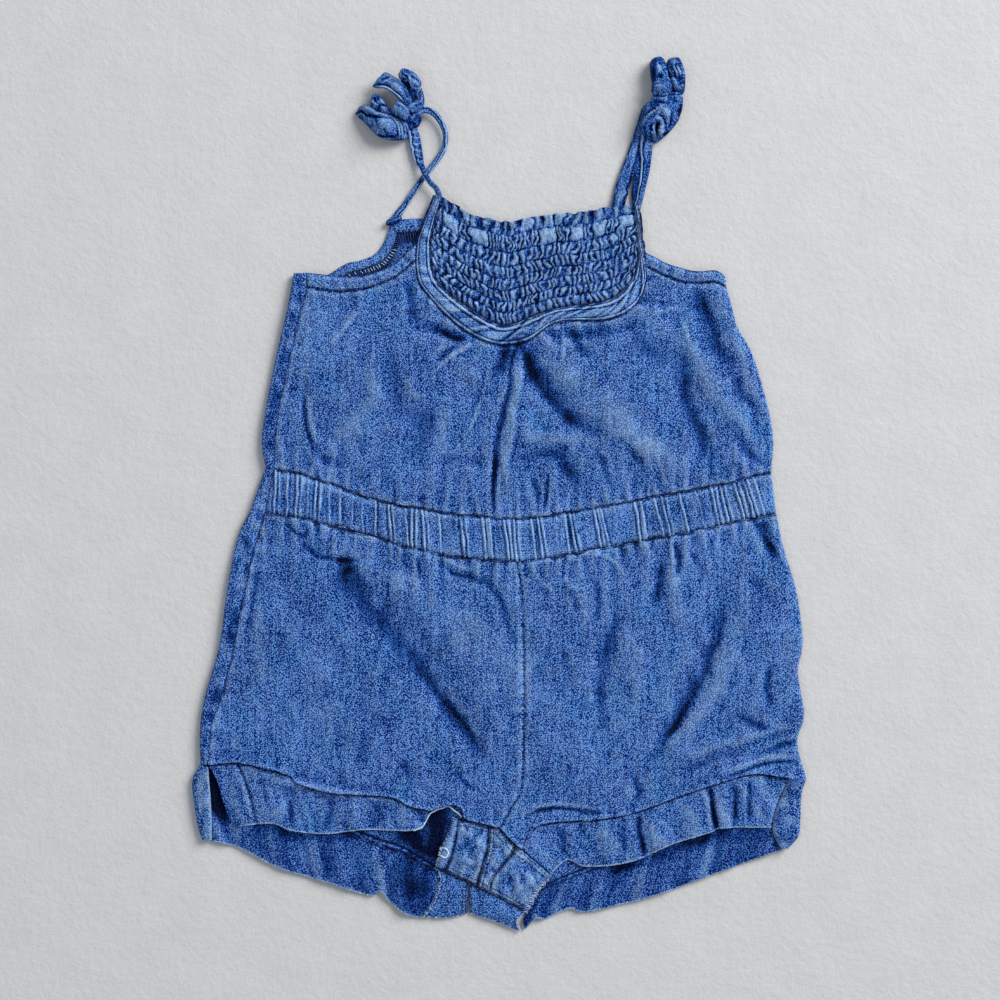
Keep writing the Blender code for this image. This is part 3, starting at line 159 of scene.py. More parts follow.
# Front of the shorts: two panels of washed chambray, seamed down the middle, gathered under the
# waist, sewn to the side seam at the left and rolled under at the right. The section also holds
# the curves, the cloth maker and the weave that later pieces share. Sizes are in millimetres.
WALL = 0.9           # thickness of the cloth
REST_LEVEL = 4.4     # upper face of the front layer where it lies flat
SIDE_FOOT = 1.5      # height at which the rolled side ends
ROLL_REACH = 3.0     # width over which it rolls down
SEAM_REACH = 1.1     # how far a seam draws the cloth down beside it
MIDDLE_SEAM = 11.0   # x of the middle seam of the shorts
PUFFS = [   # x, y, reach, rise
    (-70, 55, 45, 0.7), (70, 45, 50, 0.8), (-80, -95, 50, 0.8), (85, -95, 55, 0.8),
    (20, -100, 40, 0.5),
]
FOLDS = [   # route, width, rise, how much steeper on its left, tone: painted shade in folds, paler ridges as wear and painted highlight
    ([(-94.5, -27), (-73.5, -37.5), (-47.5, -54.5), (-25.5, -77), (-10, -102),
      (2.5, -133.5)], 9, 1.2, 0, 0),
    ([(-98.5, -28.5), (-75, -51), (-54.5, -77.5), (-38, -97)], 8, -1, 0, -0.5),
    ([(-45, -84), (-30.5, -106), (-18.5, -122), (-7, -139.5)], 4.6, -1.1, 0.3, -0.46),
    ([(-85.5, -31), (-81.5, -35.5), (-77.5, -42.5)], 4, -0.6, 0, -0.3),
    ([(-81.5, -28.5), (-47.5, -46), (-19, -64.5), (2, -86.5), (9.5, -107.5)], 6, 0.3, 0, 0.26),
    ([(-32, -60.5), (-16.5, -81.5), (-1, -102)], 5, 0.2, 0, 0.16),
    ([(-23, -41.5), (-6, -46.5), (0.5, -57.5), (5.5, -76)], 2.2, -0.7, 0, -0.36),
    ([(-128, -55.5), (-124.5, -86.5), (-124.5, -107.5)], 8, 0.5, 0, 0.12),
    ([(-105, -76), (-95.5, -102), (-89, -128)], 10, 0.5, 0, 0.08),
    ([(-126.5, -33.5), (-128.5, -55.5), (-132, -76)], 1.8, -0.5, 0, -0.18),
    ([(-73.5, -102), (-70.5, -123), (-73.5, -144)], 4, -0.4, 0, -0.1),
    ([(-54, -136.5), (-48.5, -145), (-45.5, -153)], 3, -0.6, 0, -0.22),
    ([(-24, -142.5), (-20, -149), (-13.5, -154)], 1.4, -0.5, 0, -0.25),
    ([(-43.5, -32.5), (-43, -37.5), (-42, -44)], 0.8, -0.6, 0, -0.3),
    ([(-32, -35.5), (-25.5, -41.5), (-16.5, -43.5), (-9, -47)], 1.2, -0.6, 0.3, -0.25),
    ([(-30, -33.5), (-23.5, -37.5), (-14.5, -40)], 1, 0.6, 0, 0.3),
    ([(-110.5, -16), (-107, -20.5), (-102.5, -22), (-100.5, -19)], 1, -0.7, 0, -0.35),
    ([(-124.5, -15), (-122.5, -24), (-124, -34.5)], 1, 0.5, 0, 0.15),
    ([(-105, -24), (-95.5, -32.5), (-81.5, -34.5), (-70.5, -34.5)], 1.6, -0.6, 0, -0.3),
    ([(115.5, -55.5), (111.5, -76), (107.5, -87.5), (98, -105.5), (86.5, -125.5),
      (77, -142.5)], 4.4, -1.2, 0.4, -0.5),
    ([(125, -60.5), (118, -86.5), (103, -112.5), (90.5, -133.5)], 6, 1.2, 0, 0.1),
    ([(98, -76), (88.5, -97), (77, -118)], 7, 0.4, 0, 0.06),
    ([(61.5, -61.5), (54.5, -81.5), (50.5, -98), (53, -119)], 4.4, -0.9, 0, -0.3),
    ([(84, -34.5), (81.5, -47.5), (78.5, -58.5)], 3.4, -0.9, 0, -0.4),
    ([(88.5, -37.5), (90.5, -55.5), (93, -70)], 5, 0.6, 0, 0.18),
    ([(87.5, -24), (88.5, -30.5), (89, -38)], 0.8, 0.7, -0.3, 0.4),
    ([(90.5, -27), (92.5, -34.5), (92, -42)], 1.4, -0.6, 0, -0.3),
    ([(98, -30.5), (101.5, -35.5), (105, -41)], 1.4, -0.5, 0, -0.3),
    ([(132, -9.5), (137, -23), (144.5, -35.5)], 3.4, -1.2, 0, -0.55),
    ([(135.5, -19), (142.5, -27.5), (148, -37.5)], 1.2, 0.6, 0, 0.25),
    ([(126.5, -43), (135.5, -50), (142.5, -61.5)], 3, -0.5, 0, -0.16),
    ([(51, -30.5), (57.5, -34.5), (62.5, -40.5)], 0.9, 0.6, 0, 0.35),
    ([(31.5, -47.5), (38.5, -55.5), (41, -64.5)], 2.2, -0.5, 0, -0.22),
    ([(49, -47), (51, -57.5), (49, -67)], 2, -0.5, 0, -0.2),
    ([(15, -37.5), (20, -45), (26.5, -51)], 0.9, 0.5, 0, 0.3),
    ([(9.5, -76), (11.5, -93), (10.5, -107.5)], 4, 0.3, 0, 0.22),
    ([(88.5, -140.5), (106, -132.5), (126.5, -127), (142, -122.5),
      (156.5, -117.5)], 3, 0.6, -0.3, 0.08),
    ([(93, -145), (109.5, -137), (129, -132.5)], 2.5, -0.5, 0, -0.16),
    ([(122.5, -115.5), (132.5, -120), (141.5, -124)], 2.6, -0.7, 0, -0.36),
    ([(137, -134.5), (145, -131), (155, -129)], 1.8, -0.7, 0, -0.28),
    ([(139.5, -86.5), (137.5, -102), (142, -113.5)], 3, -0.6, 0, -0.2),
    ([(145, -60.5), (151, -81.5), (154, -102)], 5, 0.3, 0, 0.14),
    ([(30.5, -76), (33.5, -92), (31.5, -107.5)], 2.6, -0.5, 0, -0.12),
    ([(68, -74), (69, -97), (66, -123)], 6, 0.6, 0, 0.12),
    ([(30.5, -42.5), (41, -55.5), (44, -71)], 5, 0.5, 0, 0.12),
    ([(13.5, -165.5), (20, -162.5), (31.5, -161), (46, -163)], 1.6, 0.6, 0, 0.08),
    ([(12.5, -168.5), (17, -165), (26.5, -163), (38.5, -164), (51, -166)], 1, -0.8, 0, -0.6),
    ([(113.5, -145), (125, -141), (135.5, -137.5), (152, -136)], 1.6, 0.7, 0, 0.12),
    ([(115.5, -147.5), (126.5, -143.5), (137, -140), (152.5, -138.5)], 0.8, -0.7, 0, -0.45),
    ([(67, -144), (71, -154), (68, -162.5)], 2.4, -0.6, 0, -0.2),
    ([(-136, -144), (-105, -151), (-68.5, -157), (-42.5, -162.5)], 2.6, 0.6, 0, 0.14),
]
WAIST_TOP = [(-118.3, 12.7), (-106.9, 10.4), (-91.0, 5.5), (-63.4, -4.2), (-39.0, -8.9),
             (-10.3, -12.5), (9.6, -13.4), (36.1, -9.9), (69.9, -3.7), (107.2, 3.0),
             (140.1, 10.5)]
WAIST_LEFT = [(-123.0, -9.6), (-106.9, -12.0), (-82.5, -17.8), (-50.7, -26.8),
              (-31.6, -31.6), (-5.0, -34.6), (8.1, -34.9)]
WAIST_RIGHT = [(8.1, -34.9), (20.4, -34.0), (56.4, -27.4), (95.9, -20.1),
               (124.0, -14.2), (142.7, -10.5)]
SHORTS_FOLD = [(-130.3, -8.5), (-137.0, -23.1), (-142.2, -47.6), (-146.6, -78.8),
               (-154.2, -105.8), (-156.6, -123.0), (-156.4, -140.4)]
SHORTS_SEAM = [(-123.0, -9.6), (-127.1, -24.2), (-131.8, -42.4), (-137.0, -68.4),
               (-144.8, -103.2), (-151.3, -122.5), (-152.1, -140.7)]
SHORTS_RIGHT = [(142.7, -10.5), (146.9, -29.4), (153.1, -50.2), (156.5, -76.2),
                (154.2, -93.3), (157.3, -115.2), (153.7, -129.2), (158.3, -147.9)]
WAIST_LOW = WAIST_LEFT + WAIST_RIGHT[1:]
CENTRE_FRONT = [(8.1, -34.9), (10.7, -55.4), (11.7, -97.0), (10.7, -149.0), (5.5, -162.5),
                (-0.8, -173.3)]
HEM_LEFT = [(-152.1, -140.7), (-136.5, -139.6), (-122.6, -142.5), (-110.0, -146.1),
            (-104.3, -150.6), (-87.6, -155.2), (-58.1, -157.2), (-48.1, -162.0),
            (-37.2, -164.6)]
CROTCH_LEFT = [(-37.2, -164.6), (-28.3, -161.7), (-20.9, -162.8), (-18.6, -168.6),
               (-7.3, -171.6), (-0.8, -173.3)]
CROTCH_RIGHT = [(-0.8, -173.3), (6.6, -181.1), (10.7, -184.3)]
HEM_RIGHT = [(10.7, -184.3), (14.8, -175.5), (21.6, -171.3), (38.7, -169.6), (53.3, -168.5),
             (69.9, -165.1), (90.2, -157.8), (108.4, -151.4), (129.7, -145.4),
             (146.0, -147.0), (158.3, -147.9)]


def smooth_curve(points):
    """A curve through the points, travelled at an even speed from 0 to 1."""
    steps = 14
    rows = np.array(points, dtype=float)
    rows = np.vstack([2 * rows[0] - rows[1], rows, 2 * rows[-1] - rows[-2]])
    u = np.linspace(0, 1, steps, endpoint=False)[:, None]
    trail = []
    for before, start, end, after in zip(rows, rows[1:], rows[2:], rows[3:]):
        bend = (2 * before - 5 * start + 4 * end - after) * u ** 2
        twist = (3 * start - before - 3 * end + after) * u ** 3
        trail.append(0.5 * (2 * start + (end - before) * u + bend + twist))
    trail = np.vstack(trail + [rows[-2:-1]])
    spans = np.linalg.norm(np.diff(trail[:, :3], axis=0), axis=1)
    travelled = np.concatenate([[0.0], np.cumsum(spans)]) / spans.sum()

    def at(u):
        return np.stack([np.interp(u, travelled, column) for column in trail.T], axis=-1)

    return at


def straight(start, end):
    """A straight line from 0 to 1."""
    first, last = np.array(start, dtype=float), np.array(end, dtype=float)
    return lambda u: first + (last - first) * np.asarray(u, dtype=float)[..., None]


def part_of(curve, start, end):
    """The stretch of a curve between two shares of its length."""
    return lambda u: curve(start + (end - start) * np.asarray(u, dtype=float))


def moved(curve, x, y):
    """The curve set aside by x and y."""
    return lambda u: curve(u) + np.array([x, y])


def with_start(curve, start):
    """The curve with its first end moved to a point, and the rest drawn after it."""
    shift = np.array(start) - curve(0.0)
    return lambda u: curve(u) + shift * (1 - np.asarray(u, dtype=float)[..., None])


def joined(*parts):
    """One curve from (curve, share) parts, laid end to end."""

    def at(u):
        u = np.asarray(u, dtype=float)
        start, place = 0.0, None
        for curve, share in parts:
            values = curve(np.clip((u - start) / share, 0, 1))
            place = values if place is None else np.where((u > start)[..., None], values, place)
            start += share
        return place

    return at


def patch(top, foot, left, right):
    """A four-sided stretch of cloth: s runs from left to right, t from top to foot."""

    def at(s, t):
        across, down = s[None, :, None], t[:, None, None]
        corners = [top(0.0), top(1.0), foot(0.0), foot(1.0)]
        level = (1 - down) * top(s)[None] + down * foot(s)[None]
        upright = (1 - across) * left(t)[:, None] + across * right(t)[:, None]
        plain = (1 - down) * ((1 - across) * corners[0] + across * corners[1])
        plain = plain + down * ((1 - across) * corners[2] + across * corners[3])
        return level + upright - plain

    return at


def rumple(spots, size_x, size_y, seed):
    """Smooth uneven waves of about the given sizes, from -1 to 1."""
    dice = np.random.RandomState(seed)
    lattice = dice.rand(96, 96) * 2 - 1
    x, y = (spots[..., 0] + 300) / size_x, (spots[..., 1] + 300) / size_y
    left, low = np.floor(x).astype(int), np.floor(y).astype(int)
    u, v = x - left, y - low
    u, v = u * u * (3 - 2 * u), v * v * (3 - 2 * v)

    def knot(right, up):
        return lattice[(low + up) % 96, (left + right) % 96]

    foot = knot(0, 0) * (1 - u) + knot(1, 0) * u
    head = knot(0, 1) * (1 - u) + knot(1, 1) * u
    return (foot * (1 - v) + head * v) * 1.4


def uneven(curve, amount, size, seed):
    """The curve drawn with the small wavers of a line sewn by hand and eye."""
    whole = length_of(curve)

    def at(u):
        u = np.asarray(u, dtype=float)
        walk = np.stack([u * whole, np.zeros_like(u)], axis=-1)
        fade = np.clip(np.minimum(u, 1 - u) * whole / 3, 0, 1)
        shift = np.stack([rumple(walk, size, size, seed), rumple(walk, size, size, seed + 1)], -1)
        return curve(u) + amount * shift * fade[..., None]

    return at


def length_of(curve):
    """The length of a curve."""
    trail = curve(np.linspace(0, 1, 200))
    return float(np.linalg.norm(np.diff(trail, axis=0), axis=1).sum())


def stations(length, step, fine=(0.35, 0.8, 1.4)):
    """Shares of a length about a step apart, with finer ones beside each end."""
    ends = np.array((0.0,) + fine)
    count = max(2, int(round((length - 2 * ends[-1]) / step)))
    middle = np.linspace(ends[-1], length - ends[-1], count + 1)
    return np.concatenate([ends[:-1], middle, length - ends[:-1][::-1]]) / length


def route_place(spots, route):
    """Distance to a route and along it, the side (1 left, -1 right), and the route's length."""
    route = np.array(route, dtype=float)
    near = np.full(spots.shape[:-1], 1e9)
    along, side = np.zeros_like(near), np.ones_like(near)
    walked = 0.0
    for start, end in zip(route, route[1:]):
        step = end - start
        size = np.linalg.norm(step)
        share = np.clip(((spots - start) @ step) / size ** 2, 0, 1)
        gap = spots - start - share[..., None] * step
        away = np.linalg.norm(gap, axis=-1)
        closer = away < near
        near = np.where(closer, away, near)
        along = np.where(closer, walked + share * size, along)
        cross = step[0] * gap[..., 1] - step[1] * gap[..., 0]
        side = np.where(closer, np.where(cross > 0, 1.0, -1.0), side)
        walked += size
    return near, along, side, walked


def creases(spots, rows, tones=False):
    """The rise, or the tone (painted shade and highlight), of ridges and troughs that die out at
    both ends.

    Their routes stray a little and their strength varies, as worn creases do.
    """
    level = np.zeros(spots.shape[:-1])
    drift = np.stack([rumple(spots, 9, 9, 71), rumple(spots, 9, 9, 72)], axis=-1)
    vigour = 0.9 + (0.45 if tones else 0.2) * rumple(spots, 13, 13, 74)
    if tones:
        drift += 0.6 * np.stack([rumple(spots, 2.5, 2.5, 75), rumple(spots, 2.5, 2.5, 76)], -1)
    for route, width, rise, skew, *tone in rows:
        strayed = spots + min(width / 4, 1) * (1.5 if tones else 0.8) * drift
        away, along, side, whole = route_place(strayed, route)
        ends = np.clip(np.minimum(along, whole - along) / (0.25 * whole), 0, 1)
        wide = width * (1 - skew * side)
        size = tone[0] if tones else rise * (1 + 0.9 * min(width / 4, 1))
        level += size * vigour * np.exp(-(away / wide) ** 2) * (0.25 + 0.75 * ends)
    return level


def puckers(spots, routes, pitch, rise, reach, seed):
    """Short ridges that run square to a sewn line and die out beside it."""
    level = np.zeros(spots.shape[:-1])
    for index, route in enumerate(routes):
        away, along, side, _ = route_place(spots, route)
        walk = np.stack([along + 0.25 * away * side, 0.12 * away + 40 * (side > 0)], axis=-1)
        wave = rumple(walk, pitch, 3 * pitch, seed + index)
        level += rise * wave * np.exp(-away / reach)
    return level


waist_top, waist_left, waist_right = (
    uneven(smooth_curve(rows), 0.35, 5.0, seed)
    for rows, seed in ((WAIST_TOP, 21), (WAIST_LEFT, 23), (WAIST_RIGHT, 25)))
waist_low = joined((waist_left, 0.49), (waist_right, 0.51))


def waist_gathers():
    """Where the elastic draws the cloth up: x, half width, rise, reach up, reach down, lean."""
    dice = np.random.RandomState(8)
    x, rows = -121.0, []
    while x < 142:
        flat_stretch = -84 < x < -66
        x += dice.uniform(3.2, 5.0) if flat_stretch else dice.uniform(3.4, 9.2)
        rise = dice.uniform(0.25, 0.5) if flat_stretch else dice.uniform(0.7, 1.25)
        rows.append((x, dice.uniform(0.75, 1.35), rise, dice.uniform(3, 17) ** 1.15,
                     dice.uniform(5, 20) ** 1.1, dice.uniform(-0.18, 0.18)))
    return rows


GATHERS = waist_gathers()


def gather_rise(x, away, down):
    """Ridges that spread from the waist seam and flatten with distance from it."""
    rise = np.zeros(np.shape(x))
    for place, half, high, reach_up, reach_down, lean in GATHERS:
        reach = reach_down if down else reach_up
        off = (x - place - lean * away) / (half + 0.09 * np.minimum(away, 40))
        rise += 0.85 * high * np.exp(-off ** 2) * np.exp(-away / reach)
    return rise


def front_level(spots):
    """Height of the front layer's upper face."""
    level = np.full(spots.shape[:-1], REST_LEVEL)
    for x, y, reach, rise in PUFFS:
        away = ((spots[..., 0] - x) ** 2 + (spots[..., 1] - y) ** 2) / reach ** 2
        level += rise * np.exp(-away)
    level += 0.85 * creases(spots, FOLDS)
    level += 0.35 * rumple(spots, 17, 23, 1) + 0.22 * rumple(spots, 6, 9, 2)
    level += 0.07 * rumple(spots, 2.6, 3.6, 3)
    x, y = spots[..., 0], spots[..., 1]
    for away, down in ((y - np.interp(x, *np.array(WAIST_TOP).T), False),
                       (np.interp(x, *np.array(WAIST_LOW).T) - y, True)):
        level += np.where(away > 0, gather_rise(x, np.abs(away), down), 0)
    return level


# Used as tone: ridges paler as wear and painted highlight, dips darker as painted shade.
def ridge_wear_and_dip_shade(grid, spread=3, strength=0.33):
    """How far each point stands out of the cloth round it, from -1 in a dip to 1 on a ridge."""
    level = grid[..., 2]
    smooth = level.copy()
    for _ in range(spread * 3):
        padded = np.pad(smooth, 1, mode="edge")
        smooth = (padded[:-2, 1:-1] + padded[2:, 1:-1] + padded[1:-1, :-2] + padded[1:-1, 2:]
                  + 2 * smooth) / 6
    return np.clip((level - smooth) / strength, -1, 1)


def weave_group():
    """Washed chambray: dark warp, pale weft, slubs along the warp and a patchy wash, with painted
    shade in folds and seams and painted highlight on ridges.
    """
    group = bpy.data.node_groups.new("washed_chambray", "ShaderNodeTree")
    for name, kind in (("Thread place", "Vector"), ("Wear_and_shade", "Float"), ("Shade_and_stain", "Float"),
                       ("Deep", "Color"), ("Body", "Color"), ("Pale", "Color"),
                       ("Tone", "Float"), ("Contrast", "Float")):
        group.interface.new_socket(name=name, in_out="INPUT", socket_type="NodeSocket" + kind)
    group.interface.new_socket(name="Color", in_out="OUTPUT", socket_type="NodeSocketColor")
    group.interface.new_socket(name="Height", in_out="OUTPUT", socket_type="NodeSocketFloat")
    given = group.nodes.new("NodeGroupInput").outputs
    place, wear_and_shade, shade_and_stain = given["Thread place"], given["Wear_and_shade"], given["Shade_and_stain"]
    grain = noise(group, place, (620.0, 420.0, 1.0), detail=1.0)
    slub = noise(group, place, (640.0, 45.0, 1.0), detail=1.0)
    # The twill slants the other way on the other side of the middle seam.
    from_seam = node(group, "ShaderNodeVectorMath", operation="SUBTRACT", _0=place,
                     _1=(MIDDLE_SEAM * MM, 0.0, 0.0))
    apart = node(group, "ShaderNodeSeparateXYZ", _0=from_seam.outputs[0]).outputs
    beside = node(group, "ShaderNodeCombineXYZ", X=reckon(group, "ABSOLUTE", apart[0]),
                  Y=apart[1])
    slanted = node(group, "ShaderNodeVectorRotate", rotation_type="Z_AXIS",
                   Vector=beside.outputs[0], Angle=math.radians(TWILL_SLANT))
    speck = noise(group, slanted.outputs[0], (2100.0, 1200.0, 1.0), detail=0.0)
    twill = noise(group, slanted.outputs[0], (1050.0, 280.0, 1.0), detail=1.0)
    tint = noise(group, place, (55.0, 42.0, 1.0), detail=1.0)
    patches = noise(group, place, (95.0, 80.0, 1.0), detail=2.0)
    wash = noise(group, place, (26.0, 21.0, 1.0), detail=2.0)
    warp_line, weft_line = (
        node(group, "ShaderNodeTexWave", wave_type="BANDS", bands_direction=way, _0=place,
             Scale=350.0, Distortion=3.0, Detail=1.0).outputs["Fac"] for way in "XY")
    threads = reckon(group, "MULTIPLY", warp_line, weft_line)
    value = reckon(group, "MULTIPLY", speck, 8.6)
    for source, share in ((grain, 0.9), (slub, 1.9), (twill, 3.6)):
        value = reckon(group, "MULTIPLY_ADD", source, share, value)
    value = reckon(group, "MULTIPLY", value, given["Contrast"])
    for source, share in ((patches, 1.0), (wash, 1.3), (threads, 0.1), (wear_and_shade, 0.10),
                          (shade_and_stain, -0.35)):
        value = reckon(group, "MULTIPLY_ADD", source, share, value)
    value = reckon(group, "ADD", value, given["Tone"])
    low = reckon(group, "MULTIPLY", value, 2.0, clamp=True)
    high = reckon(group, "MULTIPLY_ADD", value, 2.0, -1.0, clamp=True)
    body = blend_colour(group, low, given["Deep"], given["Body"])
    colour = blend_colour(group, high, body, given["Pale"])
    # Painted shade in folds and hollows, and ridges made paler as wear and painted highlight.
    for source, share, offset, shade, kind in (
            (tint, 1.8, 0.0, VIOLET, "MULTIPLY"), (tint, -1.8, 0.0, GREEN, "MULTIPLY"),
            (wear_and_shade, -1.0, 0.0, VALLEY_SHADE, "MULTIPLY"), (wear_and_shade, -1.0, -1.0, HOLLOW, "MULTIPLY"),
            (wear_and_shade, 0.4, 0.0, RIDGE_WEAR_AND_HIGHLIGHT, "SCREEN")):
        mask = reckon(group, "MULTIPLY_ADD", source, share, offset, clamp=True)
        colour = blend_colour(group, mask, colour, shade, kind)
    # Painted shade darkens the sunk seams.
    seam_shade_mask = reckon(group, "MULTIPLY", shade_and_stain, 0.8, clamp=True)
    colour = blend_colour(group, seam_shade_mask, colour, SEAM_SHADE)
    level = reckon(group, "MULTIPLY_ADD", speck, 1.2, threads)
    level = reckon(group, "MULTIPLY_ADD", slub, 0.4, level)
    out = group.nodes.new("NodeGroupOutput")
    group.links.new(colour, out.inputs["Color"])
    group.links.new(level, out.inputs["Height"])
    return group


TWILL_SLANT = -38                        # degrees
DEEP = (0.0001, 0.012, 0.130, 1.0)       # threads that kept their dye
BODY = (0.003, 0.058, 0.256, 1.0)        # the usual thread
PALE = (0.145, 0.325, 0.770, 1.0)        # threads rubbed pale
VIOLET = (1.18, 0.93, 0.99, 1.0)         # uneven dye, redder
GREEN = (0.62, 1.04, 0.98, 1.0)          # and greener
VALLEY_SHADE = (0.20, 0.40, 0.60, 1.0)         # painted shade in folds
HOLLOW = (0.10, 0.10, 0.14, 1.0)         # the shade of the deepest folds
RIDGE_WEAR_AND_HIGHLIGHT = (0.20, 0.28, 0.32, 1.0)          # ridges made paler: wear and painted highlight
SEAM_SHADE = (0.003, 0.009, 0.045, 1.0)  # painted shade in sunk seams
WEAVE = weave_group()


def chambray(name, tone, contrast=1.0):
    """A chambray material whose threads follow the grain map of its piece."""
    material, tree, shader = new_material(name, 0.9)
    shader.inputs["Specular IOR Level"].default_value = 0.04
    shader.inputs["Sheen Weight"].default_value = 0.03
    shader.inputs["Sheen Roughness"].default_value = 0.5
    grain = node(tree, "ShaderNodeUVMap", uv_map="grain").outputs[0]
    wear_and_shade = node(tree, "ShaderNodeAttribute", attribute_name="wear_and_shade").outputs["Fac"]
    shade_and_stain = node(tree, "ShaderNodeAttribute", attribute_name="shade_and_stain").outputs["Fac"]
    weave = node(tree, "ShaderNodeGroup", node_tree=WEAVE)
    for socket, value in (("Thread place", grain), ("Wear_and_shade", wear_and_shade), ("Shade_and_stain", shade_and_stain)):
        tree.links.new(value, weave.inputs[socket])
    for socket, value in (("Deep", DEEP), ("Body", BODY), ("Pale", PALE), ("Tone", tone),
                          ("Contrast", contrast)):
        weave.inputs[socket].default_value = value
    tree.links.new(weave.outputs["Color"], shader.inputs["Base Color"])
    bump = node(tree, "ShaderNodeBump", Height=weave.outputs["Height"], Strength=0.5,
                Distance=0.0003)
    tree.links.new(bump.outputs[0], shader.inputs["Normal"])
    return material


def grid_mesh(name, shapes):
    """A mesh of flat square grids, one for each (rows, columns), and its vertex places."""
    builder = bmesh.new()
    for rows, columns in shapes:
        bmesh.ops.create_grid(builder, x_segments=columns - 1, y_segments=rows - 1, size=0.5)
    mesh = bpy.data.meshes.new(name)
    builder.to_mesh(mesh)
    builder.free()
    flat = np.empty(len(mesh.vertices) * 3)
    mesh.vertices.foreach_get("co", flat)
    return mesh, flat.reshape(-1, 3)


def grid_cells(flat, rows, columns):
    """The row and the column of each vertex of a flat grid, first row at the top."""
    column = np.rint((flat[:, 0] + 0.5) * (columns - 1)).astype(int)
    return np.rint((0.5 - flat[:, 1]) * (rows - 1)).astype(int), column


def placed(name, mesh, material):
    """A piece of the garment with this mesh, smooth and in its material."""
    mesh.shade_smooth()
    mesh.materials.append(material)
    piece = bpy.data.objects.new(name, mesh)
    scene.collection.objects.link(piece)
    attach(piece, "root")
    return piece


def cloth(name, grid, grain, material, wear_and_shade, shade_and_stain=None, wall=WALL, around=False):
    """A thin shell of cloth through a grid of points, first row at the top, outer face up.

    A grid that goes around is closed by welding its first column to its last.
    """
    rows, columns = grid.shape[:2]
    mesh, flat = grid_mesh(name, [(rows, columns)])
    row, column = grid_cells(flat, rows, columns)
    mesh.vertices.foreach_set("co", (grid[row, column] * MM).ravel())
    spots = np.empty(len(mesh.loops), dtype=int)
    mesh.loops.foreach_get("vertex_index", spots)
    layer = mesh.uv_layers.new(name="grain")
    layer.data.foreach_set("uv", (grain[row, column] * MM)[spots].ravel())
    for label, values in (("wear_and_shade", wear_and_shade), ("shade_and_stain", shade_and_stain)):
        if values is None:
            values = np.zeros((rows, columns))
        held = mesh.attributes.new(label, "FLOAT", "POINT")
        held.data.foreach_set("value", values[row, column].ravel())
    piece = placed(name, mesh, material)
    if around:
        welding = piece.modifiers.new("closed", "WELD")
        welding.merge_threshold = 0.01 * MM
    thickness = piece.modifiers.new("cloth", "SOLIDIFY")
    thickness.thickness = wall * MM
    thickness.offset = -1
    return piece


def edge_distance(grid, sides):
    """Distance from each point to the nearest of the named sides (top, foot, left, right).

    It also gives the distance down from the top and across from the left.
    """
    rows, columns = grid.shape[:2]
    near = np.full((rows, columns), 1e9)
    down = np.linalg.norm(np.diff(grid[..., :2], axis=0), axis=2)
    down = np.vstack([np.zeros((1, columns)), np.cumsum(down, axis=0)])
    across = np.linalg.norm(np.diff(grid[..., :2], axis=1), axis=2)
    across = np.hstack([np.zeros((rows, 1)), np.cumsum(across, axis=1)])
    for side, values in (("t", down), ("f", down[-1:] - down), ("l", across),
                         ("r", across[:, -1:] - across)):
        if side in sides:
            near = np.minimum(near, values)
    return near, down, across


def front_panel(name, node_name, spread, size, material, relief, step=1.05,
                seams="tflr", lift=0.0, roll=False, seam_dip=0.7, shade_and_stain=None,
                wall=WALL, ridge_tone_gain=1.0, tint=None, seam_dark=0.45):
    """A piece of the front layer, made from its seam lines and laid over the rest.

    Size is its width and length and step the pitch of its mesh. Relief, tint and the extra seam
    tone are functions of the spots, the shares across and down, and the distances down and across.
    Tint adds to the tone that carries wear and painted shade and highlight; the extra seam tone
    adds to the painted seam shade.
    """
    steps = step if isinstance(step, tuple) else (step, step)
    across, down = stations(size[0], steps[0]), stations(size[1], steps[1])
    spots = spread(across, down)
    level = front_level(spots) + lift
    grid = np.dstack([spots, level])
    near, depth, width = edge_distance(grid, seams)
    grid[..., 2] += relief(spots, across, down, depth, width)
    grid[..., 2] -= seam_dip * np.exp(-(near / SEAM_REACH) ** 2)
    # Tone from ridges and dips and from the folds: wear with painted shade and highlight.
    wear_and_shade = ridge_wear_and_dip_shade(grid) * ridge_tone_gain + 1.75 * creases(spots, FOLDS, tones=True)
    wear_and_shade += 0.3 * (1 + rumple(spots, 3, 3, 61)) * np.exp(-((near - 1.6) / 0.8) ** 2)
    if tint is not None:
        wear_and_shade += tint(spots, across, down, depth, width)
    # Painted shade in the sunk seams.
    dark = (0.7 + 0.5 * rumple(spots, 2.5, 2.5, 62)) * np.exp(-(near / seam_dark) ** 2)
    if shade_and_stain is not None:
        dark = dark + shade_and_stain(spots, across, down, depth, width)
    if roll:
        gap = np.clip(width[:, -1:] - width, 0, ROLL_REACH) / ROLL_REACH
        share = np.sqrt(np.clip(1 - (1 - gap) ** 2, 0, 1))
        # Painted highlight along the rolled edge.
        wear_and_shade += 0.9 * np.exp(-gap / 0.35)
        grid[..., 2] = SIDE_FOOT + (grid[..., 2] - SIDE_FOOT) * share
    piece = cloth(name, grid, spots, material, wear_and_shade, dark, wall)
    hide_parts(node_name)
    return piece


def surface(*pieces):
    """A function for the height of the topmost of the pieces over any spots."""
    graph = bpy.context.evaluated_depsgraph_get()
    trees = [BVHTree.FromObject(piece, graph) for piece in pieces]

    def level(spots):
        heights = np.full(len(spots), np.nan)
        for index, (x, y) in enumerate(spots):
            for tree in trees:
                hit = tree.ray_cast((x * MM, y * MM, 0.05), (0, 0, -1))[0]
                if hit is not None:
                    heights[index] = np.fmax(heights[index], hit.z / MM)
        known = np.flatnonzero(~np.isnan(heights))
        return np.interp(np.arange(len(heights)), known, heights[known])

    return level


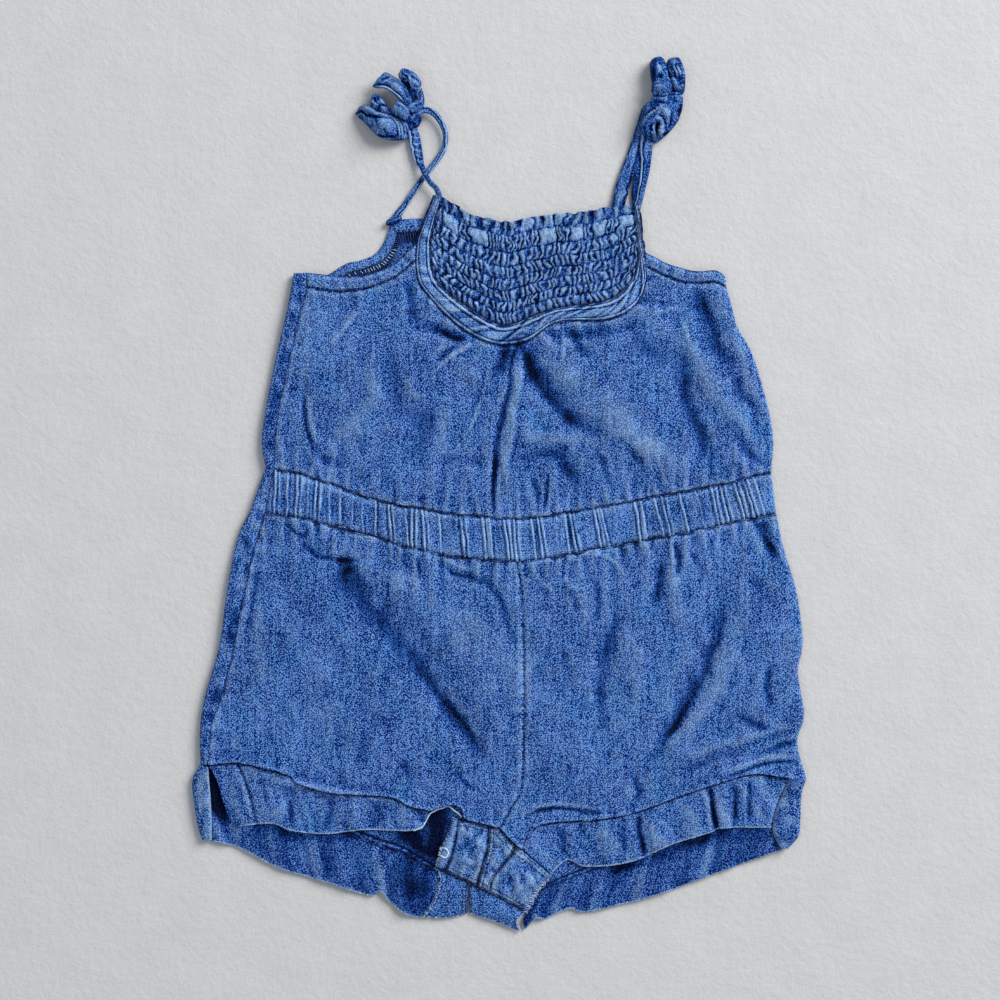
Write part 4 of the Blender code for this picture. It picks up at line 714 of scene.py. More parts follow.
def strands(name, rings, material):
    """One object from many thin strands, each a stack of rings."""
    mesh, flat = grid_mesh(name, [ring.shape[:2] for ring in rings])
    start = 0
    for ring in rings:
        rows, around = ring.shape[:2]
        part = flat[start:start + rows * around]
        part[:] = ring[grid_cells(part, rows, around)] * MM
        start += rows * around
    mesh.vertices.foreach_set("co", flat.ravel())
    builder = bmesh.new()
    builder.from_mesh(mesh)
    bmesh.ops.remove_doubles(builder, verts=builder.verts, dist=0.002 * MM)
    builder.to_mesh(mesh)
    builder.free()
    return placed(name, mesh, material)


def tube(points, radius, sides=6, squash=1.0):
    """Rings round a line of points."""
    ahead = np.gradient(points, axis=0)
    ahead /= np.linalg.norm(ahead, axis=1, keepdims=True) + 1e-9
    first = np.cross(ahead, [0, 0, 1.0])
    first /= np.linalg.norm(first, axis=1, keepdims=True) + 1e-9
    second = np.cross(first, ahead)
    turns = np.linspace(0, 2 * math.pi, sides + 1)
    radius = np.broadcast_to(radius, (len(points),))[:, None, None]
    return (points[:, None] + radius * np.cos(turns)[None, :, None] * first[:, None]
            + squash * radius * np.sin(turns)[None, :, None] * second[:, None])


def edge_places(curve, u, side):
    """Spots on an edge, the way it runs there and the way out of the cloth on one side."""
    ahead = curve(np.clip(u + 0.01, 0, 1)) - curve(np.clip(u - 0.01, 0, 1))
    ahead /= np.linalg.norm(ahead, axis=1, keepdims=True)
    return curve(u), ahead, side * np.stack([-ahead[:, 1], ahead[:, 0]], axis=1)


def thread(name, routes, level, material, pitch=2.7, radius=0.2):
    """Rows of machine stitches: a thread that shows for most of each stitch and then dips."""
    beads, lift = 5, 0.08
    rings = []
    for index, curve in enumerate(routes):
        whole = length_of(curve)
        count = max(2, int(round(whole / pitch)))
        u = np.linspace(0, 1, count * beads + 1)
        spots = curve(u)
        walk = np.stack([u * whole, np.zeros_like(u)], axis=-1)
        spots = spots + 0.12 * rumple(walk, 2.0, 2.0, index + 60)[:, None]
        beat = np.arange(len(u)) % beads
        rise = np.where(beat == 0, -0.36, np.where((beat == 1) | (beat == beads - 1), 0.0, 0.12))
        points = np.column_stack([spots, level(spots) + lift + rise])
        rings.append(tube(points, radius * np.where(beat == 0, 0.6, 1.0), squash=0.8))
    return strands(name, rings, material)


def fringe(name, rows, level, material):
    """Frayed thread ends along raw edges. Rows: curve, side, thread length, ends per mm."""
    dice = np.random.RandomState(3)
    rings = []
    for curve, side, size, density in rows:
        u = np.sort(dice.rand(int(length_of(curve) * density)))
        spots, ahead, out = edge_places(curve, u, side)
        heights = level(spots - 0.8 * out)
        for spot, forward, outward, height in zip(spots, ahead, out, heights):
            reach = size * dice.uniform(0.35, 1.25)
            lean, curl = dice.normal(0, 0.55), dice.normal(0, 0.7)
            share = np.linspace(0, 1, 5)[:, None]
            path = (spot + outward * (share * reach - 0.45)
                    + forward * reach * (lean * share + curl * share ** 2))
            up = height + 0.15 + 0.6 * dice.rand() * share - (0.5 * share ** 2)
            points = np.hstack([path, up])
            thin = dice.uniform(0.08, 0.15) * np.array([1.0, 1.0, 0.9, 0.7, 0.3])
            rings.append(tube(points, thin, 3))
    return strands(name, rings, material)


def overlock(name, rows, level, material, seed=4):
    """Looped stitches that bind an edge. Rows: curve, side, width, pitch."""
    dice = np.random.RandomState(seed)
    rings = []
    for curve, side, width, pitch in rows:
        count = max(3, int(length_of(curve) / pitch))
        for spot, forward, outward in zip(*edge_places(curve, (np.arange(count) + 0.5) / count,
                                                       side)):
            lean = dice.normal(0.25, 0.12) * pitch
            share = np.linspace(0, 1, 6)[:, None]
            path = spot + outward * width * share + forward * lean * share
            bow = 0.25 * np.sin(math.pi * share)
            points = np.hstack([path, level(path)[:, None] + 0.12 + bow])
            rings.append(tube(points, 0.16 * dice.uniform(0.8, 1.2), 4))
    return strands(name, rings, material)


def thread_material(name, colour):
    """Sewing thread of one colour, with paler fibres."""
    material, tree, shader = new_material(name, 0.7)
    place = tree.nodes.new("ShaderNodeTexCoord").outputs["Object"]
    fibres = noise(tree, place, (2500.0, 2500.0, 2500.0), detail=1.0)
    share = reckon(tree, "MULTIPLY_ADD", fibres, 1.2, 0.5, clamp=True)
    pale = tuple(min(1.0, 1.9 * channel + 0.01) for channel in colour) + (1.0,)
    tree.links.new(blend_colour(tree, share, (*colour, 1.0), pale), shader.inputs["Base Color"])
    return material


front_cloth = chambray("chambray_front", tone=0.315)
shorts_cloth = chambray("chambray_shorts", tone=0.335)
indigo_thread = thread_material("indigo_thread", (0.006, 0.010, 0.045))
white_fray = thread_material("white_fray", (0.38, 0.49, 0.74))

hem_left, hem_right = smooth_curve(HEM_LEFT), smooth_curve(HEM_RIGHT)
centre_front = smooth_curve(CENTRE_FRONT)


def centre_paler(spots, across, down, depth, width):
    """Paler beside the middle seam, fading out at the waist and towards the crotch."""
    away = np.abs(spots[..., 0] - MIDDLE_SEAM)
    pale = -0.22 * np.exp(-(away / 16) ** 2) * np.clip((spots[..., 1] + 190) / 60, 0, 1)
    return pale * np.clip((-38 - spots[..., 1]) / 12, 0, 1)


def shorts_relief(spots, across, down, depth, width):
    """Puckers under the waist seam, beside the side seam and over the hems."""
    loose = depth[-1:] - depth
    return (0.7 * np.exp(-(loose / 2.2) ** 2) + puckers(spots, [WAIST_LOW], 4.2, 1.0, 7.0, 11)
            + puckers(spots, [SHORTS_SEAM], 5.0, 0.5, 6.0, 13)
            + puckers(spots, [HEM_LEFT, HEM_RIGHT], 5.0, 0.4, 5.0, 15)
            + puckers(spots, [CENTRE_FRONT], 4.0, 0.25, 5.0, 17))


spread = patch(waist_left, joined((hem_left, 0.72), (smooth_curve(CROTCH_LEFT), 0.28)),
               smooth_curve(SHORTS_SEAM), centre_front)
shorts_left = front_panel("shorts_front_left", "front_shorts_left", spread, (150, 134),
                          shorts_cloth, shorts_relief, seams="tlr", shade_and_stain=centre_paler)
spread = patch(waist_right, joined((smooth_curve(CROTCH_RIGHT), 0.1), (hem_right, 0.9)),
               centre_front, smooth_curve(SHORTS_RIGHT))
front_panel("shorts_front_right", "front_shorts_right", spread, (146, 140), shorts_cloth,
            shorts_relief, seams="tl", roll=True, shade_and_stain=centre_paler)

# Front bodice: one panel, cut out round the yoke and both armholes, with a soft pleat down
# its middle and gathers where the waist elastic draws it in.
BODICE_SEAM = [(-101.1, 106.8), (-104.5, 94.0), (-108.8, 75.7), (-115.2, 48.1),
               (-117.8, 29.9), (-118.3, 12.7)]
BODICE_RIGHT = [(117.0, 106.5), (118.7, 101.2), (120.7, 93.2), (122.7, 86.1), (130.3, 72.5),
                (138.1, 46.5), (141.2, 27.8), (140.1, 10.5)]
ARM_LEFT_STITCH = [(-101.1, 106.8), (-87.3, 104.8), (-78.8, 105.0), (-68.7, 106.6),
                   (-55.5, 112.0), (-44.8, 120.4)]
ARM_RIGHT_STITCH = [(74.9, 117.9), (80.1, 115.1), (88.1, 111.5), (94.1, 109.6), (102.4, 109.0),
                    (111.0, 109.4), (117.0, 106.5)]
YOKE_BOWL = [(-44.8, 120.4), (-43.6, 111.5), (-39.8, 104.4), (-24.3, 88.0), (-8.1, 78.5),
             (4.4, 77.0), (14.8, 79.6), (29.1, 88.7), (55.0, 90.1), (69.7, 97.5),
             (74.8, 109.0), (74.9, 117.9)]
BODICE_FOLDS = [   # route, width, rise, how much steeper on its left, tone: painted shade in folds, paler ridges as wear and painted highlight
    ([(8.5, 81), (5, 63), (3, 50), (-1, 33), (-3.5, 16.5), (-4, 2),
      (-2, -25.5)], 1.3, -1.2, 0, -0.6),
    ([(1, 48.5), (-3, 28), (-5, 7)], 3.2, -0.5, 0, -0.22),
    ([(11.5, 77), (9.5, 59), (6, 38), (3, 17.5), (2.5, -3.5)], 3.2, 0.9, 0.4, 0.16),
    ([(8, 73.5), (5, 61), (1, 49.5)], 0.8, 0.6, 0, 0.35),
    ([(-5.5, 66.5), (-9, 54), (-12.5, 42), (-16, 32.5)], 0.9, 0.7, 0.4, 0.3),
    ([(-7.5, 65.5), (-10.5, 53), (-14.5, 41.5)], 2.2, -0.6, 0, -0.18),
    ([(0.5, 85), (1.5, 73.5), (-2, 59)], 4.6, -0.8, 0, -0.5),
    ([(7, 90), (9, 74.5), (15, 63)], 6.5, -0.6, 0, -0.62),
    ([(12, 73.5), (21.5, 55), (31.5, 42.5), (46, 32)], 5, -1.2, -0.2, -0.58),
    ([(18, 77), (30.5, 63), (47, 44.5), (72, 23.5), (93, 7)], 8.5, 1.1, 0, 0.06),
    ([(31.5, 71.5), (46, 55), (64, 38), (82.5, 21.5), (95, 7)], 8.5, 0.3, 0, 0.26),
    ([(5.5, 45.5), (15, 31), (31.5, 28), (50, 27)], 4.5, 0.5, 0, 0.24),
    ([(32, 86), (32.5, 79), (32, 68.5)], 0.8, 0.6, 0, 0.38),
    ([(37, 85), (40, 76.5), (46, 71.5)], 2.6, -0.5, 0, -0.25),
    ([(8, 18.5), (20, 21.5), (31.5, 20), (40, 1)], 5, -0.7, 0, -0.36),
    ([(49.5, 22.5), (54.5, 9.5), (57.5, 1.5)], 2.2, -0.6, 0, -0.25),
    ([(62.5, 28), (72, 16.5), (78.5, 4)], 2.2, -0.5, 0, -0.2),
    ([(24, 10), (23.5, -0.5), (22.5, -9.5)], 0.8, -0.7, 0.4, -0.4),
    ([(15, 8), (18, 1), (19, -6.5)], 1.8, -0.5, 0, -0.2),
    ([(98, 108), (106, 94.5), (111.5, 80), (118, 65.5)], 4.4, -1.1, 0.3, -0.5),
    ([(111.5, 106), (120, 85), (127, 63), (136.5, 38)], 4, 0.6, 0, 0.16),
    ([(118.5, 63), (126, 51.5), (133.5, 42.5)], 3, -0.6, 0, -0.25),
    ([(62.5, 81), (77, 74.5), (90.5, 63)], 7, -0.6, 0, -0.28),
    ([(90.5, 77), (95, 59), (98, 41), (106.5, 24.5), (115.5, 7)], 4.6, -1.1, 0.2, -0.54),
    ([(80, 91.5), (98, 74.5), (111.5, 53), (126.5, 30)], 5.5, 1.1, 0, 0.3),
    ([(121.5, 34), (127, 20.5), (137.5, 12)], 2.8, -0.7, 0, -0.3),
    ([(79.5, 94), (87.5, 96), (96, 95.5)], 0.9, 0.5, 0, 0.25),
    ([(92, 91.5), (96, 82), (99, 74.5)], 1.2, 0.5, 0, 0.16),
    ([(80, 21.5), (83.5, 10), (85, 1)], 0.9, 0.5, 0, 0.25),
    ([(-15, 77.5), (-25.5, 71.5), (-35, 62.5)], 1, 0.7, 0.3, 0.3),
    ([(-47, 111), (-46, 99.5), (-44, 87.5)], 2.4, -1, 0.2, -0.46),
    ([(-42.5, 89), (-27, 83), (-6, 82)], 3.4, -0.7, 0, -0.36),
    ([(18.5, 81.5), (41, 82), (72, 87.5)], 3, -0.6, 0, -0.28),
    ([(-74.5, 93.5), (-82, 85), (-89.5, 74.5)], 2.4, 0.6, 0.4, 0.2),
    ([(-58, 74.5), (-56.5, 56.5), (-53, 42.5), (-44.5, 36)], 4.4, -0.8, 0, -0.34),
    ([(-44.5, 48.5), (-40.5, 38), (-50.5, 12)], 7.5, -0.5, 0, -0.24),
    ([(-50, 63), (-46.5, 53), (-40.5, 47.5)], 3, 0.7, 0, 0.18),
    ([(-67.5, 69.5), (-67.5, 48.5), (-84, 25.5)], 5, 0.6, 0, 0.2),
    ([(-30.5, 74.5), (-16.5, 63), (-7, 48.5)], 5, 0.4, 0, 0.14),
    ([(-103, 48.5), (-101.5, 36), (-99, 22.5)], 1, -0.8, -0.5, -0.45),
    ([(-101, 53), (-99, 39.5), (-96.5, 24.5)], 1.6, 0.6, 0, 0.2),
    ([(-97.5, 28), (-94.5, 17.5), (-79, 15.5)], 2.6, -0.6, 0, -0.34),
    ([(-34, 16.5), (-23.5, 18.5), (-8, 14.5)], 3.4, -0.6, 0, -0.34),
    ([(-112.5, 85), (-114, 67), (-116.5, 48.5)], 2.6, -0.5, 0, -0.16),
    ([(-95.5, 106), (-98.5, 80), (-101.5, 59)], 9, 0.5, 0, 0.14),
    ([(-32, 48.5), (-29.5, 33), (-32, 20)], 5, 0.5, 0, 0.12),
    ([(-81.5, 59), (-79, 38), (-75.5, 22.5)], 7, 0.6, 0, 0.1),
    ([(-60.5, 10), (-53, -1.5), (-37, -3.5)], 3, -0.4, 0, -0.2),
    ([(-32, 85), (-25.5, 81), (-17.5, 79.5)], 1.6, -0.6, 0, -0.3),
    ([(-24, 77), (-28.5, 73.5), (-32, 68.5)], 1.5, -0.5, 0, -0.18),
]
FOLDS += BODICE_FOLDS
arm_left, arm_right = smooth_curve(ARM_LEFT_STITCH), smooth_curve(ARM_RIGHT_STITCH)
yoke_bowl = smooth_curve(YOKE_BOWL)


def bodice_relief(spots, across, down, depth, width):
    """Puckers round the yoke, above the waist and beside the armholes and side seam."""
    return (puckers(spots, [WAIST_TOP], 4.0, 0.75, 6.0, 31)
            + puckers(spots, [YOKE_BOWL], 4.0, 0.7, 6.0, 33)
            + puckers(spots, [ARM_LEFT_STITCH, ARM_RIGHT_STITCH], 3.4, 0.35, 4.0, 35)
            + puckers(spots, [BODICE_SEAM], 5.0, 0.5, 6.0, 37))


spread = patch(joined((arm_left, 0.26), (yoke_bowl, 0.53), (arm_right, 0.21)), waist_top,
               smooth_curve(BODICE_SEAM), smooth_curve(BODICE_RIGHT))
bodice = front_panel("bodice_front", "front_bodice", spread, (262, 108), front_cloth,
                     bodice_relief, seams="tfl", roll=True)

# Front waistband: a casing round flat elastic, drawn into uneven upright gathers whose
# ridges are painted pale as wear and highlight, with painted shade in the grooves beside
# them, and a stitched seam along its top and its foot.
PLEATS = [   # x at mid height and rise
    (-124.5, 0.8), (-117.5, 1.1), (-111, 0.9), (-106, 1), (-100.5, 0.9), (-96.5, 1.1),
    (-89, 0.4), (-83.5, 0.5), (-77.5, 0.35), (-72, 0.5), (-65.5, 0.9), (-58, 1.2), (-49, 0.7),
    (-46.5, 1.1), (-40.5, 1.1), (-32, 0.6), (-20, 1.2), (-9, 1), (-5.5, 0.9), (2.5, 1.2),
    (7, 1), (16.5, 0.8), (20, 1.2), (34, 0.8), (37, 1.1), (49.5, 1), (53.5, 0.9), (70.5, 1),
    (73.5, 0.9), (81.5, 0.9), (85, 1.1), (94.5, 0.9), (103, 0.6), (110.5, 1.1), (115.5, 1),
    (123, 1.1), (128, 1), (133.5, 0.8),
]


def pleat_profile(spots, depth, crest, groove, second):
    """The narrow upright folds, which lean more towards the right.

    Each has a crest, a groove on its right and, if it is a bold one, a second crest.
    """
    share = depth / depth[-1:]
    x = spots[..., 0] + 0.3 * rumple(spots, 3.0, 6.0, 45)
    total = np.zeros(x.shape)
    dice = np.random.RandomState(9)
    for place, high in PLEATS:
        lean = 0.03 + 0.0011 * (place + 60) + dice.uniform(-0.05, 0.05)
        off = x - place - lean * (share - 0.5) * 22
        total += crest * high * np.exp(-(off / 0.55) ** 2)
        total -= groove * high * np.exp(-((off - 1.1) / 0.5) ** 2)
        if high > 0.9:
            total += second * high * np.exp(-((off - 2.2) / 0.6) ** 2)
            total -= 0.6 * groove * high * np.exp(-((off + 1.1) / 0.5) ** 2)
    return total * (0.75 + 0.25 * np.sin(math.pi * share))


def casing_gathers(spots, across, down, depth, width):
    """The casing stands up in narrow folds, with flats between them."""
    return (pleat_profile(spots, depth, 1.1, 0.5, 0.5) + 0.15 * rumple(spots, 1.7, 9.0, 46)
            + 0.25 * rumple(spots, 6.0, 12.0, 47))


def casing_highlight_and_shade(spots, across, down, depth, width):
    """The crests of the folds are painted pale, as wear and highlight, and painted shade lies in
    the grooves beside them.
    """
    patchy = 0.8 + 0.6 * rumple(spots, 4.0, 5.0, 49)
    return patchy * pleat_profile(spots, depth, 2.8, 0.9, 2.0) + 0.3 * rumple(spots, 5.0, 14.0, 48)


spread = patch(waist_top, waist_low, straight(WAIST_TOP[0], WAIST_LEFT[0]),
               straight(WAIST_TOP[-1], WAIST_RIGHT[-1]))
waist_cloth = chambray("chambray_waist", tone=0.48, contrast=0.75)
front_panel("waistband_front", "front_waistband", spread, (262, 22), waist_cloth,
            casing_gathers, step=(0.4, 1.1), seams="tfl", roll=True, lift=0.55,
            seam_dip=1.1,
            ridge_tone_gain=0.5, tint=casing_highlight_and_shade)
thread("waist_stitches", [moved(waist_top, 0, 0.9), moved(waist_low, 0, -0.9)],
       lambda spots: front_level(spots) - 0.25, indigo_thread)

# Front armhole bands: a narrow hem turned to the inside at each armhole and stitched down,
# so the cloth puckers across it. The right one rolls under at the side.
ARM_LEFT_EDGE = [(-101.1, 114.4), (-82.0, 112.7), (-68.7, 113.6), (-55.5, 119.0),
                 (-50.7, 123.6), (-43.9, 130.2)]
ARM_RIGHT_EDGE = [(73.8, 125.5), (80.1, 122.3), (85.3, 119.5), (92.1, 117.3), (98.4, 115.6),
                  (104.0, 115.3), (111.2, 115.7), (116.4, 112.6)]


def band_relief(route, pitch, rise):
    """A band is thickest along its middle and puckers across where it is stitched."""

    def relief(spots, across, down, depth, width):
        share = depth / depth[-1:]
        swell = np.sin(math.pi * np.clip(share, 0, 1)) ** 0.7
        ridges = puckers(spots, [route], pitch, rise, 30.0, 31)
        return 0.5 * swell + ridges * (0.35 + 0.65 * swell)

    return relief


band_cloth = chambray("chambray_band", tone=0.40)
arm_bands = []
for side, edge, stitch, size, relief, flat, area, seams in (
        ("left", ARM_LEFT_EDGE, ARM_LEFT_STITCH, (64, 8),
         band_relief(ARM_LEFT_STITCH, 2.2, 0.45), (0.068, 0.0105), 0.00052, "tflr"),
        ("right", ARM_RIGHT_EDGE, ARM_RIGHT_STITCH, (46, 7.5),
         band_relief(ARM_RIGHT_STITCH, 3.2, 0.7), (0.048, 0.0105), 0.00036, "tfl")):
    spread = patch(smooth_curve(edge), smooth_curve(stitch), straight(edge[0], stitch[0]),
                   straight(edge[-1], stitch[-1]))
    arm_bands.append(front_panel(
        "armhole_band_" + side, "front_armhole_band_" + side, spread, size, band_cloth, relief,
        step=0.7, lift=0.1, seams=seams, roll=side == "right"))
thread("armhole_stitches", [moved(arm_left, 0, 0.7), part_of(moved(arm_right, 0, 0.7), 0.02, 0.97)],
       surface(*arm_bands, bodice), indigo_thread, pitch=2.4)

# Band round the yoke: a folded strip of chambray, topstitched twice along its outer edge and
# once along its inner one. It is rubbed pale and puckers between the stitched lines.
YOKE_SIDE_LEFT = [(-34.7, 154.4), (-38.6, 144.5), (-41.8, 136.2), (-43.9, 130.2),
                  (-44.8, 120.4)]
YOKE_SIDE_RIGHT = [(74.9, 117.9), (73.8, 125.5), (72.8, 134.0), (70.9, 149.5)]
PANEL_SIDE_LEFT = [(-31.0, 153.9), (-34.6, 141.0), (-36.6, 130.5), (-35.9, 117.0)]
PANEL_BOWL = [(-35.9, 117.0), (-32.5, 109.0), (-22.6, 100.1), (-4.5, 88.8), (4.2, 87.5),
              (16.2, 91.8), (29.1, 96.1), (55.0, 100.1), (66.4, 109.5), (69.9, 117.0)]
PANEL_SIDE_RIGHT = [(69.9, 117.0), (70.6, 124.0), (69.8, 136.0), (68.6, 149.6)]
panel_left, panel_bowl = smooth_curve(PANEL_SIDE_LEFT), smooth_curve(PANEL_BOWL)
panel_right = smooth_curve(PANEL_SIDE_RIGHT)
band_outer = joined((smooth_curve(YOKE_SIDE_LEFT), 0.16), (yoke_bowl, 0.70),
                    (smooth_curve(YOKE_SIDE_RIGHT), 0.14))
band_inner = joined((panel_left, 0.18), (panel_bowl, 0.66), (panel_right, 0.16))
band_spread = patch(band_inner, band_outer, straight(PANEL_SIDE_LEFT[0], YOKE_SIDE_LEFT[0]),
                    straight(PANEL_SIDE_RIGHT[-1], YOKE_SIDE_RIGHT[-1]))
worn_band = chambray("chambray_yoke_band", tone=0.56, contrast=0.6)


def along_band(share):
    """A line along the band at a share of its width from the inner edge."""

    def at(u):
        u = 0.004 + 0.992 * np.asarray(u, dtype=float)
        return (1 - share) * band_inner(u) + share * band_outer(u)

    return at


BAND_LINES = (0.10, 0.31, 0.80, 0.965)   # stitched lines, as shares of the band's width
BAND_CORDS = (0.20, 0.885)               # raised cords between them


def yoke_band_relief(spots, across, down, depth, width):
    """Rounded between its stitched lines, with slanting puckers and cord-like ridges."""
    share = depth / depth[-1:]
    rise = 0.5 * np.sin(math.pi * share) + 0.2 * rumple(spots, 3, 3, 43)
    slant = np.dstack([width + 1.2 * share, 3 * share])
    rise += 0.6 * rumple(slant, 2.7, 6.0, 41) * np.sin(math.pi * np.clip(share, 0, 1)) ** 0.5
    for line in BAND_LINES:
        rise -= 0.45 * np.exp(-((share - line) / 0.035) ** 2)
    for line in BAND_CORDS:
        rise += 0.3 * np.exp(-((share - line) / 0.05) ** 2)
    return rise


def yoke_band_wear_and_shade(spots, across, down, depth, width):
    """The cords and the pucker crests are painted pale as wear and highlight, and the sunk stitched
    lines and the pucker troughs dark as painted shade.
    """
    share = depth / depth[-1:]
    slant = np.dstack([width + 1.2 * share, 3 * share])
    wear_and_shade = 0.8 + 1.1 * rumple(slant, 2.7, 6.0, 41)
    for line in BAND_LINES:
        wear_and_shade -= 2.7 * np.exp(-((share - line) / 0.035) ** 2)
    for line in BAND_CORDS:
        wear_and_shade += (1.9 + 0.8 * rumple(spots, 3, 3, 44)) * np.exp(-((share - line) / 0.035) ** 2)
    return wear_and_shade


yoke_band = front_panel("yoke_band_shell", "yoke_band", band_spread, (228, 9.5), worn_band,
                        yoke_band_relief, step=(0.65, 0.45), lift=0.5,
                        wall=1.2, tint=yoke_band_wear_and_shade, ridge_tone_gain=0.3)
thread("yoke_band_stitches", [along_band(line) for line in BAND_LINES],
       surface(yoke_band), indigo_thread, pitch=2.5, radius=0.16)

# Smocked yoke: one panel drawn in by rows of shirring elastic. Flat puffs stand between the
# top two rows, tight pleats between the puffs, and a small frill rises above the first row.
PANEL_TOP = [(-31.0, 153.9), (-24.7, 149.9), (-17.4, 145.5), (-4.4, 141.9), (6.7, 140.7),
             (17.6, 143.7), (35.1, 145.1), (55.6, 148.0), (68.6, 149.6)]
SMOCK_LEVEL = 4.6
SHIRRING = [0.13, 0.30, 0.44, 0.56, 0.67, 0.78, 0.88, 1.0]   # rows, as shares of the depth
PUFF_CELLS = [   # middle and width of the flat puffs under the first row, in millimetres
    (-26.3, 8.8), (-12.2, 10.4), (23.7, 10.4), (38.7, 8.3), (50.7, 7.0), (64.2, 8.0),
]


def smock_cells(row, dice):
    """Where the pleats of a row of smocking meet, from left to right."""
    if row == 1:
        cuts = [-38.0]
        for middle, width in PUFF_CELLS:
            start = middle - width / 2
            gap = start - cuts[-1]
            count = max(1, int(round(gap / 1.9)))
            cuts += [cuts[-1] + gap * (step + 1) / count for step in range(count)]
            cuts.append(middle + width / 2)
        return np.array(cuts + [cuts[-1] + 3.0, 76.0])
    cuts = [-40.0]
    while cuts[-1] < 78:
        cuts.append(cuts[-1] + dice.uniform(*((3.5, 7.0) if row == 0 else (1.9, 4.0))))
    return np.array(cuts)


def smock_relief(spots, down):
    """How far the smocked cloth stands above its elastic rows, and its tone: crests painted pale as
    wear and highlight, folds and elastic rows dark as painted shade.
    """
    dice = np.random.RandomState(17)
    level = np.zeros(spots.shape[:-1])
    tone = np.zeros_like(level)
    edges = [0.0] + SHIRRING
    x = spots[..., 0] + 1.1 * rumple(spots, 5, 4, 51) + 0.5 * rumple(spots, 1.8, 2.4, 54)
    wander = 0.011 * rumple(spots, 7, 30, 52)
    v = down[:, None] + wander * np.sin(math.pi * down)[:, None]
    for row, (start, end) in enumerate(zip(edges, edges[1:])):
        share = (v - start) / (end - start)
        inside = (share >= 0) & (share < 1)
        cuts = smock_cells(row, dice)
        lean = dice.uniform(0.4, 2.2, len(cuts)) * (-1) ** row if row > 1 else 0 * cuts
        high = dice.uniform(0.6, 1.3, len(cuts))
        slanted = x + lean[np.clip(np.searchsorted(cuts, x) - 1, 0, len(cuts) - 1)] * (share - 0.5)
        cell = np.clip(np.searchsorted(cuts, slanted) - 1, 0, len(cuts) - 2)
        width = cuts[cell + 1] - cuts[cell]
        place = (slanted - cuts[cell]) / width
        flat = width > 6
        bump = 1 - np.abs(2 * place - 1) ** np.where(flat, 5.0, 1.5)
        fade = np.sin(math.pi * np.clip(share, 0, 1)) ** 0.5
        if row == 0:
            fade = np.clip(1 - share, 0, 1) ** 0.45
        rise = np.where(flat, 1.7, 1.7 * high[cell]) * bump * fade
        level = np.where(inside, rise, level)
        fold = 3.6 * np.exp(-((place - 0.36) / 0.15) ** 2) - np.exp(-((place - 0.92) / 0.16) ** 2)
        puff = 1.7 * bump - 2.2 * (np.abs(2 * place - 1) > 0.86)
        crest = np.where(flat, puff, high[cell] * fold - 0.3) * fade
        tone = np.where(inside, crest, tone)
    for edge in SHIRRING[:-1]:
        tone -= 1.1 * (0.8 + 0.5 * rumple(spots, 3, 3, 56)) * np.exp(-((v - edge) / 0.011) ** 2)
    level += 0.2 * rumple(spots, 1.5, 2.0, 53) + 0.12 * rumple(spots, 0.8, 1.1, 55)
    return level, tone + 0.6 * rumple(spots, 1.3, 1.6, 57)


across, down = (stations(size, 0.42, fine=(0.3,)) for size in (105, 58))
spots = patch(uneven(smooth_curve(PANEL_TOP), 0.5, 3.0, 58), panel_bowl, panel_left,
              smooth_curve(PANEL_SIDE_RIGHT[::-1]))(across, down)
rise, tone = smock_relief(spots, down)
grid = np.dstack([spots, SMOCK_LEVEL + rise])
near, depth, width = edge_distance(grid, "flr")
grid[..., 2] -= 1.2 * np.exp(-(near / 1.4) ** 2)
wear_and_shade = 0.6 * ridge_wear_and_dip_shade(grid, spread=2, strength=0.5) + 1.35 * tone
# Painted shade in the sunk seams round the yoke.
dark = 0.75 * np.exp(-(near / 1.0) ** 2)
smock_cloth = chambray("chambray_smock", tone=0.44, contrast=0.5)
smock = cloth("yoke_smocking", grid, spots, smock_cloth, wear_and_shade, dark, wall=0.8)
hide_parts("yoke_smocked")

# Front leg bands: turned-up hems sewn to the shorts, with pressed pleats on the right and a
# short facing strip at the left side. Their lower edges are raw and fray white.
CUFF_LEFT_START = [(-152.1, -140.7), (-147.4, -149.5), (-144.0, -161.5), (-140.1, -169.8),
                   (-136.0, -172.9)]
CUFF_LEFT_FACING = [(-136.5, -139.6), (-133.7, -145.9), (-130.4, -156.6), (-127.1, -171.7)]
CUFF_LEFT_EDGE = [(-127.1, -171.7), (-117.8, -171.5), (-108.4, -175.1), (-90.7, -176.7),
                  (-71.7, -174.6), (-45.0, -174.8), (-38.5, -169.2)]
CUFF_RIGHT_EDGE = [(25.7, -197.3), (34.1, -190.3), (42.4, -193.4), (55.7, -193.2),
                   (69.9, -190.3), (87.9, -182.4), (108.2, -176.0), (115.3, -173.6),
                   (140.8, -173.4)]
CUFF_RIGHT_SEAM = [(150.0, -147.4), (146.4, -155.0), (142.7, -164.0), (140.8, -173.4)]
